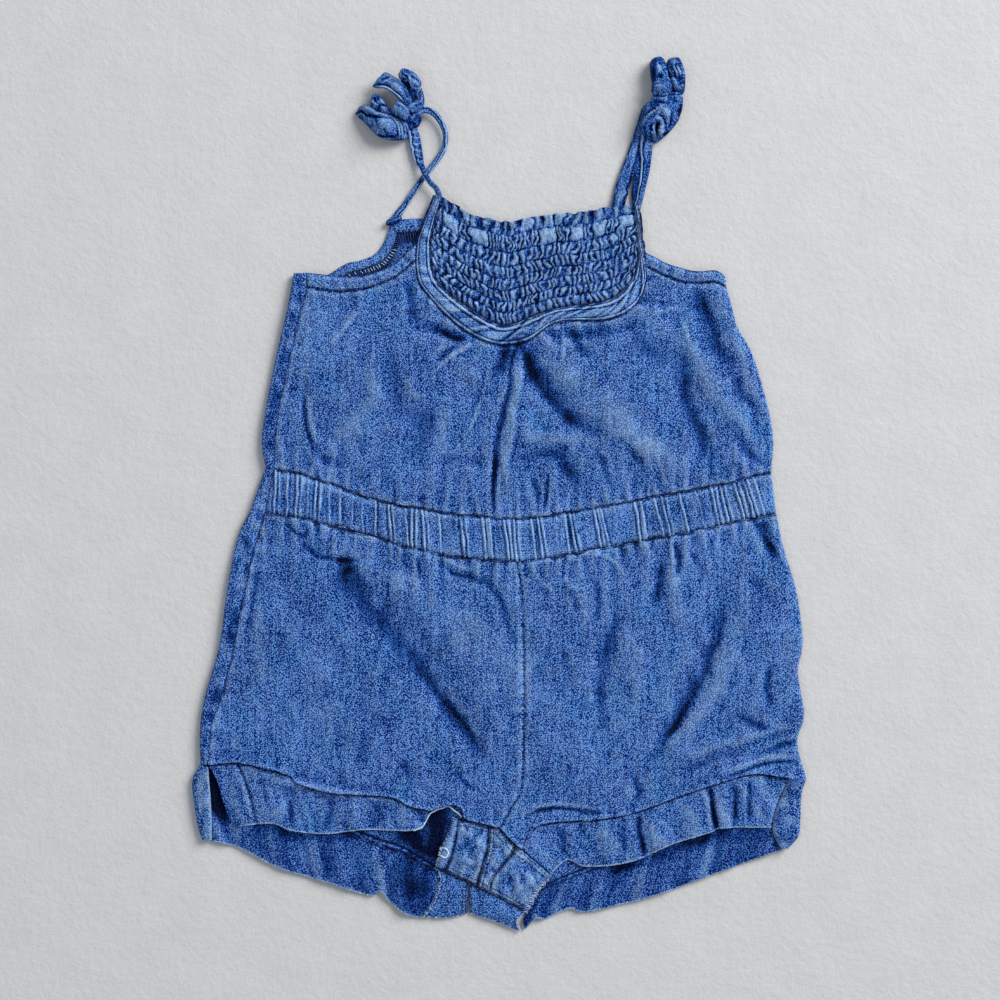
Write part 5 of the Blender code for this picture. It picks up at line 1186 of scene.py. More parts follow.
CUFF_PLEATS = [   # route of the fold, half width, depth, how much steeper on its left, tone: painted fold shade where negative, paler where positive
    ([(108.5, -151.0), (110.0, -162.0), (112.0, -176.0)], 1.5, -1.6, 0.3, -0.75),
    ([(106.5, -153.0), (108.5, -176.0)], 1.6, 0.6, 0.0, 0.2),
    ([(114.5, -152.0), (116.5, -175.0)], 3.2, 0.9, 0.0, 0.14),
    ([(71.0, -165.0), (72.5, -176.0), (75.0, -189.0)], 1.7, -1.4, 0.3, -0.66),
    ([(77.0, -167.0), (80.0, -188.0)], 1.8, 0.6, 0.0, 0.2),
    ([(80.0, -166.0), (83.0, -186.0)], 4.5, 0.9, 0.0, 0.14),
    ([(121.5, -150.0), (121.0, -173.0)], 1.5, -0.9, 0.0, -0.42),
    ([(129.0, -147.0), (128.5, -170.0)], 1.2, -0.9, 0.0, -0.5),
    ([(134.0, -149.0), (134.0, -171.0)], 2.4, 0.5, 0.0, 0.14),
    ([(30.0, -172.0), (33.0, -182.0), (34.5, -191.0)], 2.6, -0.9, 0.0, -0.30),
    ([(52.0, -172.0), (54.0, -193.0)], 5.0, 0.7, 0.0, 0.14),
    ([(62.0, -170.0), (64.0, -190.0)], 2.4, -0.4, 0.0, -0.16),
    ([(98.0, -160.0), (99.0, -180.0)], 5.0, 0.7, 0.0, 0.12),
    ([(-118.0, -147.0), (-116.0, -171.0)], 5.0, 0.6, 0.0, 0.12),
    ([(-109.0, -150.0), (-110.0, -173.0)], 2.4, -0.6, 0.0, -0.26),
    ([(-89.0, -156.0), (-90.0, -176.0)], 3.0, -0.8, 0.0, -0.30),
    ([(-78.0, -158.0), (-76.0, -175.0)], 4.0, 0.7, 0.0, 0.14),
    ([(-65.0, -160.0), (-66.0, -174.0)], 3.4, -0.8, 0.0, -0.28),
    ([(-52.0, -162.0), (-52.0, -174.0)], 3.4, 0.6, 0.0, 0.12),
    ([(-42.0, -164.0), (-40.0, -172.0)], 2.6, -0.5, 0.0, -0.30),
]
cuff_cloth = chambray("chambray_cuff", tone=0.36)
hem_routes = [HEM_LEFT, HEM_RIGHT]


def cuff_relief(spots, across, down, depth, width):
    """Pressed pleats that deepen towards the loose edge, and puckers under the seam."""
    share = depth / depth[-1:]
    return (creases(spots, CUFF_PLEATS) * (0.5 + 0.6 * share)
            + puckers(spots, hem_routes, 3.0, 0.4, 4.0, 61)
            + 0.25 * share * rumple(spots, 9, 14, 62))


def cuff_shade_and_pale_edge(spots, across, down, depth, width):
    """Painted shade where the hem hangs over it and down its folds, and pale along the raw edge."""
    loose = depth[-1:] - depth
    walk = np.dstack([width, 0.3 * depth])
    return (2.1 * creases(spots, CUFF_PLEATS, tones=True) + 0.35 * rumple(walk, 3.0, 9.0, 63)
            - (1.3 + 0.6 * rumple(walk, 4.0, 9.0, 64)) * np.exp(-depth / 1.5)
            + 2.8 * np.exp(-(loose / 0.55) ** 2))


FACING_SHARE, RIGHT_SHARE = 0.125, 0.95   # where the facing and the right band end on the hems
facing = with_start(smooth_curve(CUFF_LEFT_FACING), hem_left(FACING_SHARE))
left_edge, right_edge = smooth_curve(CUFF_LEFT_EDGE), smooth_curve(CUFF_RIGHT_EDGE)
cuffs = []
for name, node_name, sides, size, step, seams, flat, area, under in (
        ("cuff_facing", "cuff_facing_left",
         (part_of(hem_left, 0, FACING_SHARE), straight(CUFF_LEFT_START[-1], CUFF_LEFT_FACING[-1]),
          smooth_curve(CUFF_LEFT_START), facing),
         (13, 33), 0.8, "tr", (0.018, 0.036), 0.0004, "back_cuff_left"),
        ("cuff_front_left", "front_cuff_left",
         (part_of(hem_left, FACING_SHARE, 1), left_edge, facing,
          straight(HEM_LEFT[-1], CUFF_LEFT_EDGE[-1])),
         (104, 21), 0.9, "tl", (0.115, 0.026), 0.0021, "back_cuff_left"),
        ("cuff_front_right", "front_cuff_right",
         (part_of(hem_right, 0, RIGHT_SHARE), right_edge,
          straight(HEM_RIGHT[0], CUFF_RIGHT_EDGE[0]),
          with_start(smooth_curve(CUFF_RIGHT_SEAM), hem_right(RIGHT_SHARE))),
         (136, 24), 0.9, "tr", (0.140, 0.028), 0.0034, "back_cuff_right")):
    cuffs.append(front_panel(name, node_name, patch(*sides), size, cuff_cloth, cuff_relief,
                             step=step, seams=seams, lift=-1.0,
                             tint=cuff_shade_and_pale_edge))
cuffs_level = surface(*cuffs)
thread("cuff_seam_stitches", [moved(part_of(hem_left, 0.01, 0.99), 0, -0.6),
                              moved(part_of(hem_right, 0.02, 0.94), 0, -0.6)],
       cuffs_level, indigo_thread, radius=0.22)
LEG_MOUTH = [(-45.5, -174.8), (-41.8, -173.2), (-39.2, -170.2), (-36.4, -165.6), (-32.0, -163.6),
             (-27.6, -162.2), (-24.2, -164.9), (-20.6, -168.0)]
mouth = uneven(smooth_curve(LEG_MOUTH), 0.3, 2.5, 66)(np.linspace(0, 1, 80))
mouth_level = surface(cuffs[1], shorts_left)(mouth)
strands("leg_mouth_rim", [tube(np.column_stack([mouth, mouth_level]), 0.34)], white_fray)
fringe("cuff_front_fray", [(left_edge, -1, 0.6, 1.5), (right_edge, -1, 0.6, 1.5)], cuffs_level,
       white_fray)

# Crotch gusset: a short strip sewn across between the two legs, in three puffed parts with
# double seams and a serged edge strip at its left.
GUSSET_TOP_LEFT = [(-22.6, -169.6), (-15.8, -169.6), (-6.6, -172.6)]
GUSSET_TOP_MIDDLE = [(-6.6, -172.6), (-0.8, -173.8), (7.4, -182.6)]
GUSSET_TOP_RIGHT = [(7.4, -182.6), (16.6, -189.6), (26.0, -197.9)]
GUSSET_SEAM_LEFT = [(-6.6, -172.6), (-7.3, -184.0), (-10.3, -194.0), (-13.0, -204.1)]
GUSSET_SEAM_RIGHT = [(7.4, -182.6), (5.6, -187.0), (-0.4, -194.0), (-4.8, -200.5),
                     (-6.4, -207.4)]
GUSSET_STRIP_LINE = [(-22.6, -169.6), (-23.8, -179.0), (-26.2, -189.0), (-29.7, -195.8)]
GUSSET_LEFT_EDGE = [(-25.6, -167.6), (-27.2, -174.1), (-31.2, -184.0), (-34.2, -193.5)]
GUSSET_RIGHT_EDGE = [(26.0, -197.9), (19.0, -206.4), (13.1, -218.0)]
GUSSET_FOOT_EDGE = [(-34.2, -193.5), (-29.7, -195.8)]
GUSSET_FOOT_LEFT = [(-29.7, -195.8), (-22.0, -199.8), (-13.0, -204.1)]
GUSSET_FOOT_MIDDLE = [(-13.0, -204.1), (-6.4, -207.4)]
GUSSET_FOOT_RIGHT = [(-6.4, -207.4), (5.1, -213.4), (13.1, -218.0)]


def gusset_relief(spots, across, down, depth, width):
    """Each part stands up as a crumpled cushion between its seams."""
    puff = np.sin(math.pi * down)[:, None] * np.sin(math.pi * across)[None]
    full = min(width.max() / 15, 1)
    return full * (1.4 * puff ** 0.6 + 0.9 * puff ** 0.5 * rumple(spots, 5, 7, 71)
                   + 0.35 * rumple(spots, 2.2, 3.0, 72))


def gusset_wear(spots, across, down, depth, width):
    """The cushions are rubbed pale in patches."""
    return 0.45 + 0.8 * rumple(spots, 4, 5, 73) + 0.45 * rumple(spots, 1.2, 1.6, 74)


gusset_cloth = chambray("chambray_gusset", tone=0.46, contrast=0.7)
serging_thread = thread_material("serging_thread", (0.12, 0.22, 0.46))
gusset = []
for name, top, foot, left, right, size, cut, area in (
        ("gusset_edge_left", [GUSSET_LEFT_EDGE[0], GUSSET_STRIP_LINE[0]], GUSSET_FOOT_EDGE,
         GUSSET_LEFT_EDGE, GUSSET_STRIP_LINE, (5, 27), (0.010, 0.028), 0.00013),
        ("gusset_left", GUSSET_TOP_LEFT, GUSSET_FOOT_LEFT, GUSSET_STRIP_LINE,
         GUSSET_SEAM_LEFT, (18, 30), (0.019, 0.033), 0.00052),
        ("gusset_middle", GUSSET_TOP_MIDDLE, GUSSET_FOOT_MIDDLE, GUSSET_SEAM_LEFT,
         GUSSET_SEAM_RIGHT, (13, 30), (0.0155, 0.0335), 0.0003),
        ("gusset_right", GUSSET_TOP_RIGHT, GUSSET_FOOT_RIGHT, GUSSET_SEAM_RIGHT,
         GUSSET_RIGHT_EDGE, (23, 26), (0.025, 0.030), 0.00047)):
    spread = patch(smooth_curve(top), smooth_curve(foot), smooth_curve(left), smooth_curve(right))
    gusset.append(front_panel(
        name + "_shell", name, spread, size, gusset_cloth, gusset_relief, step=0.6, lift=-1.0,
        tint=gusset_wear, seam_dark=1.0))
gusset_level = surface(*gusset)
gusset_top = joined((smooth_curve(GUSSET_TOP_LEFT), 0.28), (smooth_curve(GUSSET_TOP_MIDDLE), 0.32),
                    (smooth_curve(GUSSET_TOP_RIGHT), 0.40))
gusset_foot = joined((smooth_curve(GUSSET_FOOT_LEFT), 0.40),
                     (smooth_curve(GUSSET_FOOT_MIDDLE), 0.16),
                     (smooth_curve(GUSSET_FOOT_RIGHT), 0.44))
edge_left, edge_right = smooth_curve(GUSSET_LEFT_EDGE), smooth_curve(GUSSET_RIGHT_EDGE)
seam_left, seam_right = smooth_curve(GUSSET_SEAM_LEFT), smooth_curve(GUSSET_SEAM_RIGHT)
thread("gusset_stitches",
       [moved(gusset_top, -0.8, -1.2), moved(gusset_top, -2.0, -2.9), moved(gusset_foot, 0.6, 1.2),
        moved(gusset_foot, 1.4, 3.0), moved(seam_left, 1.2, 0), moved(seam_left, 2.8, 0),
        moved(seam_right, -1.3, 0)],
       gusset_level, indigo_thread, pitch=2.3)
overlock("gusset_serging", [(edge_left, 1, 3.0, 1.1), (edge_right, -1, 2.6, 1.0)],
         gusset_level, serging_thread)
overlock("gusset_pale_loops", [(part_of(edge_right, 0.2, 1), -1, 1.7, 1.5),
                               (part_of(edge_left, 0.3, 0.9), 1, 1.3, 2.2)],
         gusset_level, white_fray, seed=8)
SERGING_CURL = [(-32.0, -184.2), (-29.2, -183.8), (-27.6, -186.0), (-29.0, -188.6), (-31.6, -187.6)]
curl = smooth_curve(SERGING_CURL)(np.linspace(0, 1, 40))
strands("gusset_curl", [tube(np.column_stack([curl, gusset_level(curl) + 0.3]), 0.42)], white_fray)
fringe("gusset_fray", [(edge_right, 1, 1.4, 2.6), (part_of(edge_left, 0.5, 1), -1, 1.2, 2.0)],
       gusset_level, white_fray)

# Back of the romper, inner face up in a darker cloth that paints the shade under the front:
# bodice, waistband and both shorts panels lie flat under the front, and wrap round to the front
# side seam at the left.
BODICE_FOLD = [(-108.9, 109.0), (-111.5, 94.9), (-117.8, 67.9), (-123.0, 41.3), (-124.5, 25.7),
               (-122.5, 13.8)]
CENTRE_BACK = [(8.1, -34.9), (8.0, -100.0), (2.0, -170.0), (-2.3, -208.0)]
BACK_ARM_LEFT_STITCH = [(-108.9, 109.0), (-97.5, 106.9), (-88.5, 108.4), (-79.3, 114.0),
                        (-71.5, 116.0), (-62.3, 120.0), (-56.9, 126.3), (-54.0, 134.9)]
BACK_NECK_STITCH = [(-54.0, 134.9), (-45.0, 135.9), (-37.0, 135.0), (-0.8, 128.5),
                    (40.8, 130.6), (65.5, 137.6)]
BACK_ARM_RIGHT_STITCH = [(65.5, 137.6), (66.0, 130.0), (70.0, 119.5), (81.5, 112.5),
                         (97.0, 108.6), (108.0, 108.4), (116.2, 106.0)]
BACK_HEM_LEFT = [(-156.4, -140.4), (-125.6, -152.0), (-89.2, -168.7), (-65.8, -178.6),
                 (-50.7, -183.8), (-33.7, -194.0)]
BACK_HEM_RIGHT = [(19.0, -205.0), (40.0, -196.0), (80.0, -182.0), (120.0, -167.0),
                  (154.5, -150.5)]
BACK_LEVEL = 1.3     # upper face of the back layer
WRAP_RADIUS = 1.25   # radius of its turn at a folded side
BACK_INSET = -1.8    # how far its right side stays in from the front's


def back_panel(name, node_name, spread, size, material, fold=None, seam=None,
               step=2.0, relief=None, seams="tf",
               at_right=False, tint=None, raw_fold=0.0):
    """A piece of the back layer, inner face up.

    At a fold line, which is at its left unless at_right, it turns up and over, and reaches
    back to the seam line on the front. Raw_fold is how pale a raw edge there has frayed.
    """
    across, down = stations(size[0], step), stations(size[1], step)
    start = (WALL + WRAP_RADIUS) / size[0] if fold else 0.0
    shares = (1 - start) * across if at_right else start + (1 - start) * across
    spots = spread(shares, down)
    level = BACK_LEVEL + 0.18 * (1 + rumple(spots, 15, 19, 81)) + 0.06 * rumple(spots, 5, 7, 82)
    grid = np.dstack([spots, level])
    near, depth, width = edge_distance(grid, seams)
    if relief is not None:
        grid[..., 2] += relief(spots, across, down, depth, width)
    # Painted shade in the sunk seams.
    dark = 0.8 * np.exp(-(near / 0.7) ** 2)
    wear_and_shade = ridge_wear_and_dip_shade(grid)
    if tint is not None:
        wear_and_shade += tint(spots, across, down, depth, width)
    grid[..., 2] -= 0.3 * np.exp(-(near / 1.0) ** 2)
    if fold:
        edge, sewn = fold(down), seam(down)
        inward = sewn - edge
        reach = np.linalg.norm(inward, axis=1, keepdims=True)
        inward = inward / reach
        top = front_level(sewn) - WALL - 0.1
        low = grid[:, -1 if at_right else 0, 2]
        columns, tones, shades = [], [], []
        for share in np.linspace(0, 1, 7)[:-1]:
            place = sewn + (edge + inward * (WALL + WRAP_RADIUS) - sewn) * share
            swell = 0.25 * math.sin(math.pi * share) - 0.55 * math.exp(-(share / 0.12) ** 2)
            waver = 0.3 * rumple(place, 5, 4, 83) * math.sin(math.pi * share)
            columns.append(np.column_stack([place, top + swell + waver]))
            rim = np.exp(-(share * reach[:, 0] / 0.7) ** 2)
            tones.append(0.9 * rumple(place, 3.0, 4.5, 84) - 0.3 + raw_fold * (0.3 + rim))
            # Painted seam shade where a sewn wrap meets the front; none at a raw edge.
            shades.append(0.9 * rim if raw_fold == 0 else 0 * rim)
        for turn in np.linspace(0.5 * math.pi, -0.5 * math.pi, 8)[:-1]:
            bow = WALL + WRAP_RADIUS * (1 - math.cos(turn))
            place = edge + inward * bow
            columns.append(np.column_stack([place, (top + low) / 2
                                            + (top - low) / 2 * math.sin(turn)]))
            tones.append(np.full(len(down), 0.45 * math.cos(turn)))
            shades.append(np.zeros(len(down)))
        turned = [np.stack(part, axis=1) for part in (columns, tones, shades)]
        pairs = zip(turned, (grid, wear_and_shade, dark))
        if at_right:
            pairs = ((level_part, part[:, ::-1]) for part, level_part in pairs)
        grid, wear_and_shade, dark = (np.concatenate(pair, axis=1) for pair in pairs)
    walked = np.linalg.norm(np.diff(grid, axis=1), axis=2)
    walked = np.hstack([np.zeros((len(down), 1)), np.cumsum(walked, axis=1)])
    piece = cloth(name, grid, np.dstack([walked, grid[..., 1]]), material, wear_and_shade, dark)
    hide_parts(node_name)
    return piece


# Shades inside the legs: route, half width, rise, how much steeper on its left, tone.
HOLLOWS = [
    ([(-31.5, -160.0), (-33.0, -172.0), (-34.5, -182.0), (-37.0, -193.0)], 4.6, 0.0, 0.0, -2.2),
    ([(-40.0, -164.0), (-44.0, -176.0), (-43.0, -190.0)], 6.0, 0.0, 0.0, -1.1),
    ([(-56.0, -176.0), (-45.0, -180.0), (-38.0, -190.0)], 4.0, 0.0, 0.0, -1.1),
    ([(-51.0, -187.0), (-47.0, -200.0), (-40.0, -212.0)], 6.0, 0.0, 0.0, -0.55),
    ([(-151.5, -140.0), (-149.4, -155.0), (-145.2, -168.0)], 3.4, 0.0, 0.0, -2.0),
    ([(-127.0, -173.5), (-108.0, -177.0), (-90.0, -178.6), (-62.0, -176.5)], 2.6, 0.0, 0.0, -0.5),
    ([(-134.8, -176.0), (-134.5, -187.0)], 0.8, 0.0, 0.0, -0.9),
    ([(-156.6, -148.0), (-156.0, -161.0), (-154.0, -177.0)], 0.8, 0.0, 0.0, -0.9),
    ([(-158.4, -150.0), (-158.0, -163.0), (-156.2, -176.0)], 0.5, 0.0, 0.0, 1.2),
    ([(-92.0, -178.0), (-90.0, -202.0)], 2.6, 0.0, 0.0, -0.3),
    ([(-80.0, -178.0), (-78.0, -204.0)], 3.0, 0.0, 0.0, 0.12),
    ([(-53.5, -186.0), (-65.0, -201.0)], 1.2, 0.0, 0.0, 0.3),
    ([(36.0, -192.0), (56.0, -195.5), (72.0, -192.0), (90.0, -184.0), (112.0, -177.0),
      (139.0, -175.5)], 2.8, 0.0, 0.0, -0.6),
    ([(26.0, -199.0), (22.0, -210.0), (14.0, -222.0)], 3.4, 0.0, 0.0, -0.5),
    ([(138.0, -176.0), (141.0, -186.0)], 2.0, 0.0, 0.0, -0.5),
    ([(62.0, -195.0), (64.0, -211.0)], 3.0, 0.0, 0.0, -0.2),
]
# A darker copy of the chambray: painted shade where the back lies under the front.
shaded_inside_cloth = chambray("chambray_inside", tone=0.26)


def leg_shade(spots, across, down, depth, width):
    """Painted shade in the folds and in the mouths of the legs."""
    return 2.1 * creases(spots, HOLLOWS, tones=True)


fold = smooth_curve(BODICE_FOLD)
top = joined((smooth_curve(BACK_ARM_LEFT_STITCH), 0.33), (smooth_curve(BACK_NECK_STITCH), 0.40),
             (smooth_curve(BACK_ARM_RIGHT_STITCH), 0.27))
waist_fold = straight(BODICE_FOLD[-1], WAIST_TOP[0])
waist_line = joined((waist_fold, 0.02), (waist_top, 0.98))
spread = patch(top, waist_line, fold, moved(smooth_curve(BODICE_RIGHT), BACK_INSET, 0))


def serged_shade(spots, across, down, depth, width):
    """The serged strip under the arm and neck bands is dark."""
    return -2.0 / (1 + np.exp((depth - 5.0) / 0.4))


back_bodice = back_panel("bodice_back", "back_bodice", spread, (258, 112), shaded_inside_cloth,
                         fold=fold, tint=serged_shade, seam=smooth_curve(BODICE_SEAM))


def back_gathers(spots, across, down, depth, width):
    """Half as high as the front's gathers, and fullest between the two seams."""
    share = depth / depth[-1:]
    return 0.5 * gather_rise(spots[..., 0], 0 * spots[..., 0], True) * np.sin(math.pi * share)


fold = straight(BODICE_FOLD[-1], SHORTS_FOLD[0])
low = joined((straight(SHORTS_FOLD[0], WAIST_LEFT[0]), 0.02), (waist_left, 0.48),
             (waist_right, 0.5))
spread = patch(waist_line, low, fold,
               moved(straight(WAIST_TOP[-1], WAIST_RIGHT[-1]), BACK_INSET, 0))
back_waist = back_panel("waistband_back", "back_waistband", spread, (264, 23), shaded_inside_cloth,
                        fold=fold, seam=straight(WAIST_TOP[0], WAIST_LEFT[0]), step=1.35,
                        relief=back_gathers)
fold, middle = smooth_curve(SHORTS_FOLD), smooth_curve(CENTRE_BACK)
top = joined((straight(SHORTS_FOLD[0], WAIST_LEFT[0]), 0.05), (waist_left, 0.95))
foot = joined((smooth_curve(BACK_HEM_LEFT), 0.75),
              (straight(BACK_HEM_LEFT[-1], CENTRE_BACK[-1]), 0.25))
spread = patch(top, foot, fold, middle)
back_left = back_panel("shorts_back_left", "back_shorts_left", spread, (150, 150), shaded_inside_cloth,
                       fold=fold, seam=smooth_curve(SHORTS_SEAM), seams="tfr",
                       tint=leg_shade)
side = moved(smooth_curve(SHORTS_RIGHT), BACK_INSET, 0)
right = joined((part_of(side, 0, 0.93), 0.93), (straight(side(0.93), BACK_HEM_RIGHT[-1]), 0.07))
foot = joined((straight(CENTRE_BACK[-1], BACK_HEM_RIGHT[0]), 0.14),
              (smooth_curve(BACK_HEM_RIGHT), 0.86))
spread = patch(waist_right, foot, middle, right)
back_right = back_panel("shorts_back_right", "back_shorts_right", spread, (146, 150),
                        shaded_inside_cloth, seams="tfl", tint=leg_shade)

# Back bands: the turned armhole hems and the neckband, seen on their inner side, with a
# dark serged strip beside them and a stitched line along their inner edge.
BACK_ARM_LEFT = [(-107.9, 114.1), (-98.0, 111.9), (-90.7, 113.4), (-81.1, 119.3),
                 (-73.2, 121.2), (-65.8, 124.4), (-61.0, 130.5), (-58.8, 136.5),
                 (-57.5, 141.9)]
BACK_NECK = [(-57.5, 141.9), (-45.3, 142.9), (-37.4, 142.0), (-0.8, 135.5), (40.8, 137.6),
             (68.5, 144.6)]
BACK_ARM_RIGHT = [(68.5, 144.6), (70.0, 134.0), (74.0, 123.5), (84.0, 117.5), (98.0, 113.6),
                  (109.0, 113.4), (115.2, 111.6)]


def back_band_relief(spots, across, down, depth, width):
    """Rounded across, with shallow puckers."""
    share = depth / depth[-1:]
    swell = np.sin(math.pi * share) ** 0.7
    walk = np.dstack([width, depth])
    return 0.5 * swell + 0.3 * rumple(walk, 2.4, 9, 91) * swell


back_bands = []
for name, edge, stitch, size, flat, area in (
        ("back_armhole_band_left", BACK_ARM_LEFT, BACK_ARM_LEFT_STITCH, (60, 6.5),
         (0.070, 0.0105), 0.00050),
        ("back_neckband", BACK_NECK, BACK_NECK_STITCH, (124, 7), (0.128, 0.0105), 0.0009),
        ("back_armhole_band_right", BACK_ARM_RIGHT, BACK_ARM_RIGHT_STITCH, (60, 5.5),
         (0.066, 0.0105), 0.00038)):
    spread = patch(smooth_curve(edge), smooth_curve(stitch), straight(edge[0], stitch[0]),
                   straight(edge[-1], stitch[-1]))
    wraps = name == "back_armhole_band_left"
    back_bands.append(back_panel(
        name + "_shell", name, spread, size, band_cloth, step=0.7, relief=back_band_relief,
        seams="f", fold=straight(edge[0], stitch[0]) if wraps else None,
        seam=straight(ARM_LEFT_EDGE[0], ARM_LEFT_STITCH[0]) if wraps else None))
back_level = surface(back_bodice, back_waist, back_left, back_right, *back_bands)
arm_serge, neck_serge = smooth_curve(BACK_ARM_LEFT_STITCH[1:]), smooth_curve(BACK_NECK_STITCH[:4])
dark_serging = thread_material("dark_serging_thread", (0.020, 0.045, 0.170))
overlock("back_serging", [(arm_serge, -1, 4.4, 1.0), (neck_serge, -1, 4.6, 1.4)], back_level,
         dark_serging)
overlock("back_serging_pale", [(part_of(arm_serge, 0.5, 0.86), -1, 1.9, 1.5),
                               (part_of(arm_serge, 0.1, 0.5), -1, 1.3, 3.1)],
         back_level, white_fray, seed=6)
thread("back_band_stitches", [moved(arm_serge, 0, 0.8), moved(neck_serge, 0, 0.8),
                              moved(neck_serge, 0, -1.2)],
       back_level, indigo_thread, pitch=2.4)

# Back leg bands, seen on their inner side below the front hems, in a darker cloth as painted
# shade under them. They fold up at the outer sides, and two end flaps stick out below the
# crotch. All raw edges fray white.
CUFF_RIGHT_WRAP_SEAM = [(150.0, -147.4), (142.7, -164.0), (141.0, -174.5), (143.0, -180.0),
                        (146.0, -184.3)]
CUFF_RIGHT_FOLD = [(158.3, -147.9), (155.9, -156.0), (155.2, -168.7), (154.2, -177.5),
                   (149.0, -183.7)]
CUFF_LEFT_FOLD = [(-156.4, -140.4), (-160.4, -148.5), (-159.9, -158.5), (-157.8, -172.4),
                  (-155.4, -179.5)]
CUFF_LEFT_ROLL = [(-152.9, -142.0), (-151.8, -152.0), (-151.1, -163.0), (-150.8, -173.0),
                  (-151.0, -179.9)]
BACK_EDGE_LEFT = [(-155.4, -179.5), (-137.0, -183.8), (-116.2, -194.2), (-91.6, -201.8),
                  (-68.6, -208.8), (-63.6, -206.4), (-57.5, -212.8), (-49.1, -218.9),
                  (-41.6, -220.2)]
BACK_CUFF_LEFT_END = [(-34.1, -194.6), (-32.3, -200.1), (-33.7, -208.0), (-38.2, -216.5),
                      (-41.3, -220.2)]
BACK_CUFF_RIGHT_START = [(19.0, -205.0), (14.2, -212.0), (12.7, -218.0), (11.0, -222.3),
                         (12.4, -226.4)]
BACK_EDGE_RIGHT = [(12.4, -226.4), (18.0, -220.6), (22.5, -221.2), (30.4, -217.4),
                   (36.7, -215.6), (45.0, -217.2), (78.3, -209.3), (114.1, -196.3),
                   (149.0, -183.7)]
CUFF_END_A_TOP = [(-33.6, -194.4), (-26.0, -198.4), (-17.3, -202.6)]
CUFF_END_A_LEFT = [(-33.6, -194.4), (-31.8, -200.0), (-33.2, -207.9), (-37.7, -216.4),
                   (-40.8, -220.0)]
CUFF_END_A_FOOT = [(-40.8, -220.0), (-28.0, -220.4), (-17.8, -218.2)]
CUFF_END_A_RIGHT = [(-17.3, -202.6), (-17.6, -210.0), (-17.8, -218.2)]
CUFF_END_B_TOP = [(-16.7, -202.9), (-2.3, -209.9), (5.1, -213.8), (11.6, -217.8)]
CUFF_END_B_FOOT = [(-16.6, -218.1), (-2.3, -222.6), (9.6, -227.6)]
CUFF_END_B_RIGHT = [(11.6, -217.8), (8.0, -222.0), (9.6, -227.6)]


def back_cuff_waves(spots, across, down, depth, width):
    """Soft upright waves that grow towards the loose edge."""
    share = depth / depth[-1:]
    return 0.8 * share * (1 + rumple(np.dstack([width, 0.3 * depth]), 7, 30, 101))


# A much darker copy of the chambray: painted shade under the front bands.
shaded_cuff_inside = chambray("chambray_cuff_inside_shaded", tone=0.07)


def cuff_shade(spots, across, down, depth, width):
    """Painted shade in the folds, in the mouths of the legs and down the band, dark stitched lines,
    and a pale raw edge.
    """
    loose = depth[-1:] - depth
    walk = np.dstack([width, 0.25 * depth])
    seam = (0.7 * np.exp(-((depth - 1.9) / 0.7) ** 2) - 1.9 * np.exp(-((depth - 0.5) / 0.5) ** 2)
            - 1.6 * np.exp(-((depth - 3.6) / 0.5) ** 2))
    return (leg_shade(spots, across, down, depth, width) + 0.5 * rumple(walk, 4.0, 9.0, 102)
            + 0.3 * rumple(walk, 1.5, 6.0, 103) - 0.3 + seam + 2.6 * np.exp(-(loose / 0.6) ** 2))


back_hem_left = smooth_curve(BACK_HEM_LEFT)
back_edge_left, back_edge_right = smooth_curve(BACK_EDGE_LEFT), smooth_curve(BACK_EDGE_RIGHT)
fold = smooth_curve(CUFF_LEFT_FOLD)
spread = patch(back_hem_left, back_edge_left, fold,
               with_start(smooth_curve(BACK_CUFF_LEFT_END), BACK_HEM_LEFT[-1]))
back_cuff_left = back_panel("cuff_back_left", "back_cuff_left", spread, (134, 36), shaded_cuff_inside,
                            fold=fold, seam=smooth_curve(CUFF_LEFT_ROLL), step=1.2, seams="t",
                            relief=back_cuff_waves, tint=cuff_shade, raw_fold=2.4)
fold = smooth_curve(CUFF_RIGHT_FOLD)
spread = patch(joined((smooth_curve(BACK_HEM_RIGHT), 0.96),
                      (straight(BACK_HEM_RIGHT[-1], CUFF_RIGHT_FOLD[0]), 0.04)),
               back_edge_right, smooth_curve(BACK_CUFF_RIGHT_START), fold)
back_cuff_right = back_panel("cuff_back_right", "back_cuff_right", spread, (146, 30),
                             shaded_cuff_inside, fold=fold, seam=smooth_curve(CUFF_RIGHT_WRAP_SEAM),
                             at_right=True, step=1.2, seams="t", relief=back_cuff_waves,
                             tint=cuff_shade, raw_fold=2.0)


def flap_relief(spots, across, down, depth, width):
    """Rounded across, with a few dents."""
    share = depth / depth[-1:]
    return 0.5 + 0.9 * np.sin(math.pi * share) + 0.2 * rumple(spots, 4, 5, 111)


end_a_left, end_a_right, end_a_foot, end_b_right, end_b_foot = (
    smooth_curve(points) for points in (CUFF_END_A_LEFT, CUFF_END_A_RIGHT, CUFF_END_A_FOOT,
                                        CUFF_END_B_RIGHT, CUFF_END_B_FOOT))
flaps = []
for side, lines, size, seams, flat, area in (
        ("left", (smooth_curve(CUFF_END_A_TOP), end_a_foot, end_a_left, end_a_right),
         (20, 21), "r", (0.025, 0.028), 0.00046),
        ("right", (smooth_curve(CUFF_END_B_TOP), end_b_foot,
                   straight(CUFF_END_B_TOP[0], CUFF_END_B_FOOT[0]), end_b_right),
         (30, 13), "l", (0.034, 0.018), 0.00042)):
    flaps.append(back_panel("cuff_end_" + side, "back_cuff_end_" + side, patch(*lines), size,
                            gusset_cloth, step=0.7, seams=seams,
                            relief=flap_relief))
low_level = surface(back_cuff_left, back_cuff_right, *flaps)
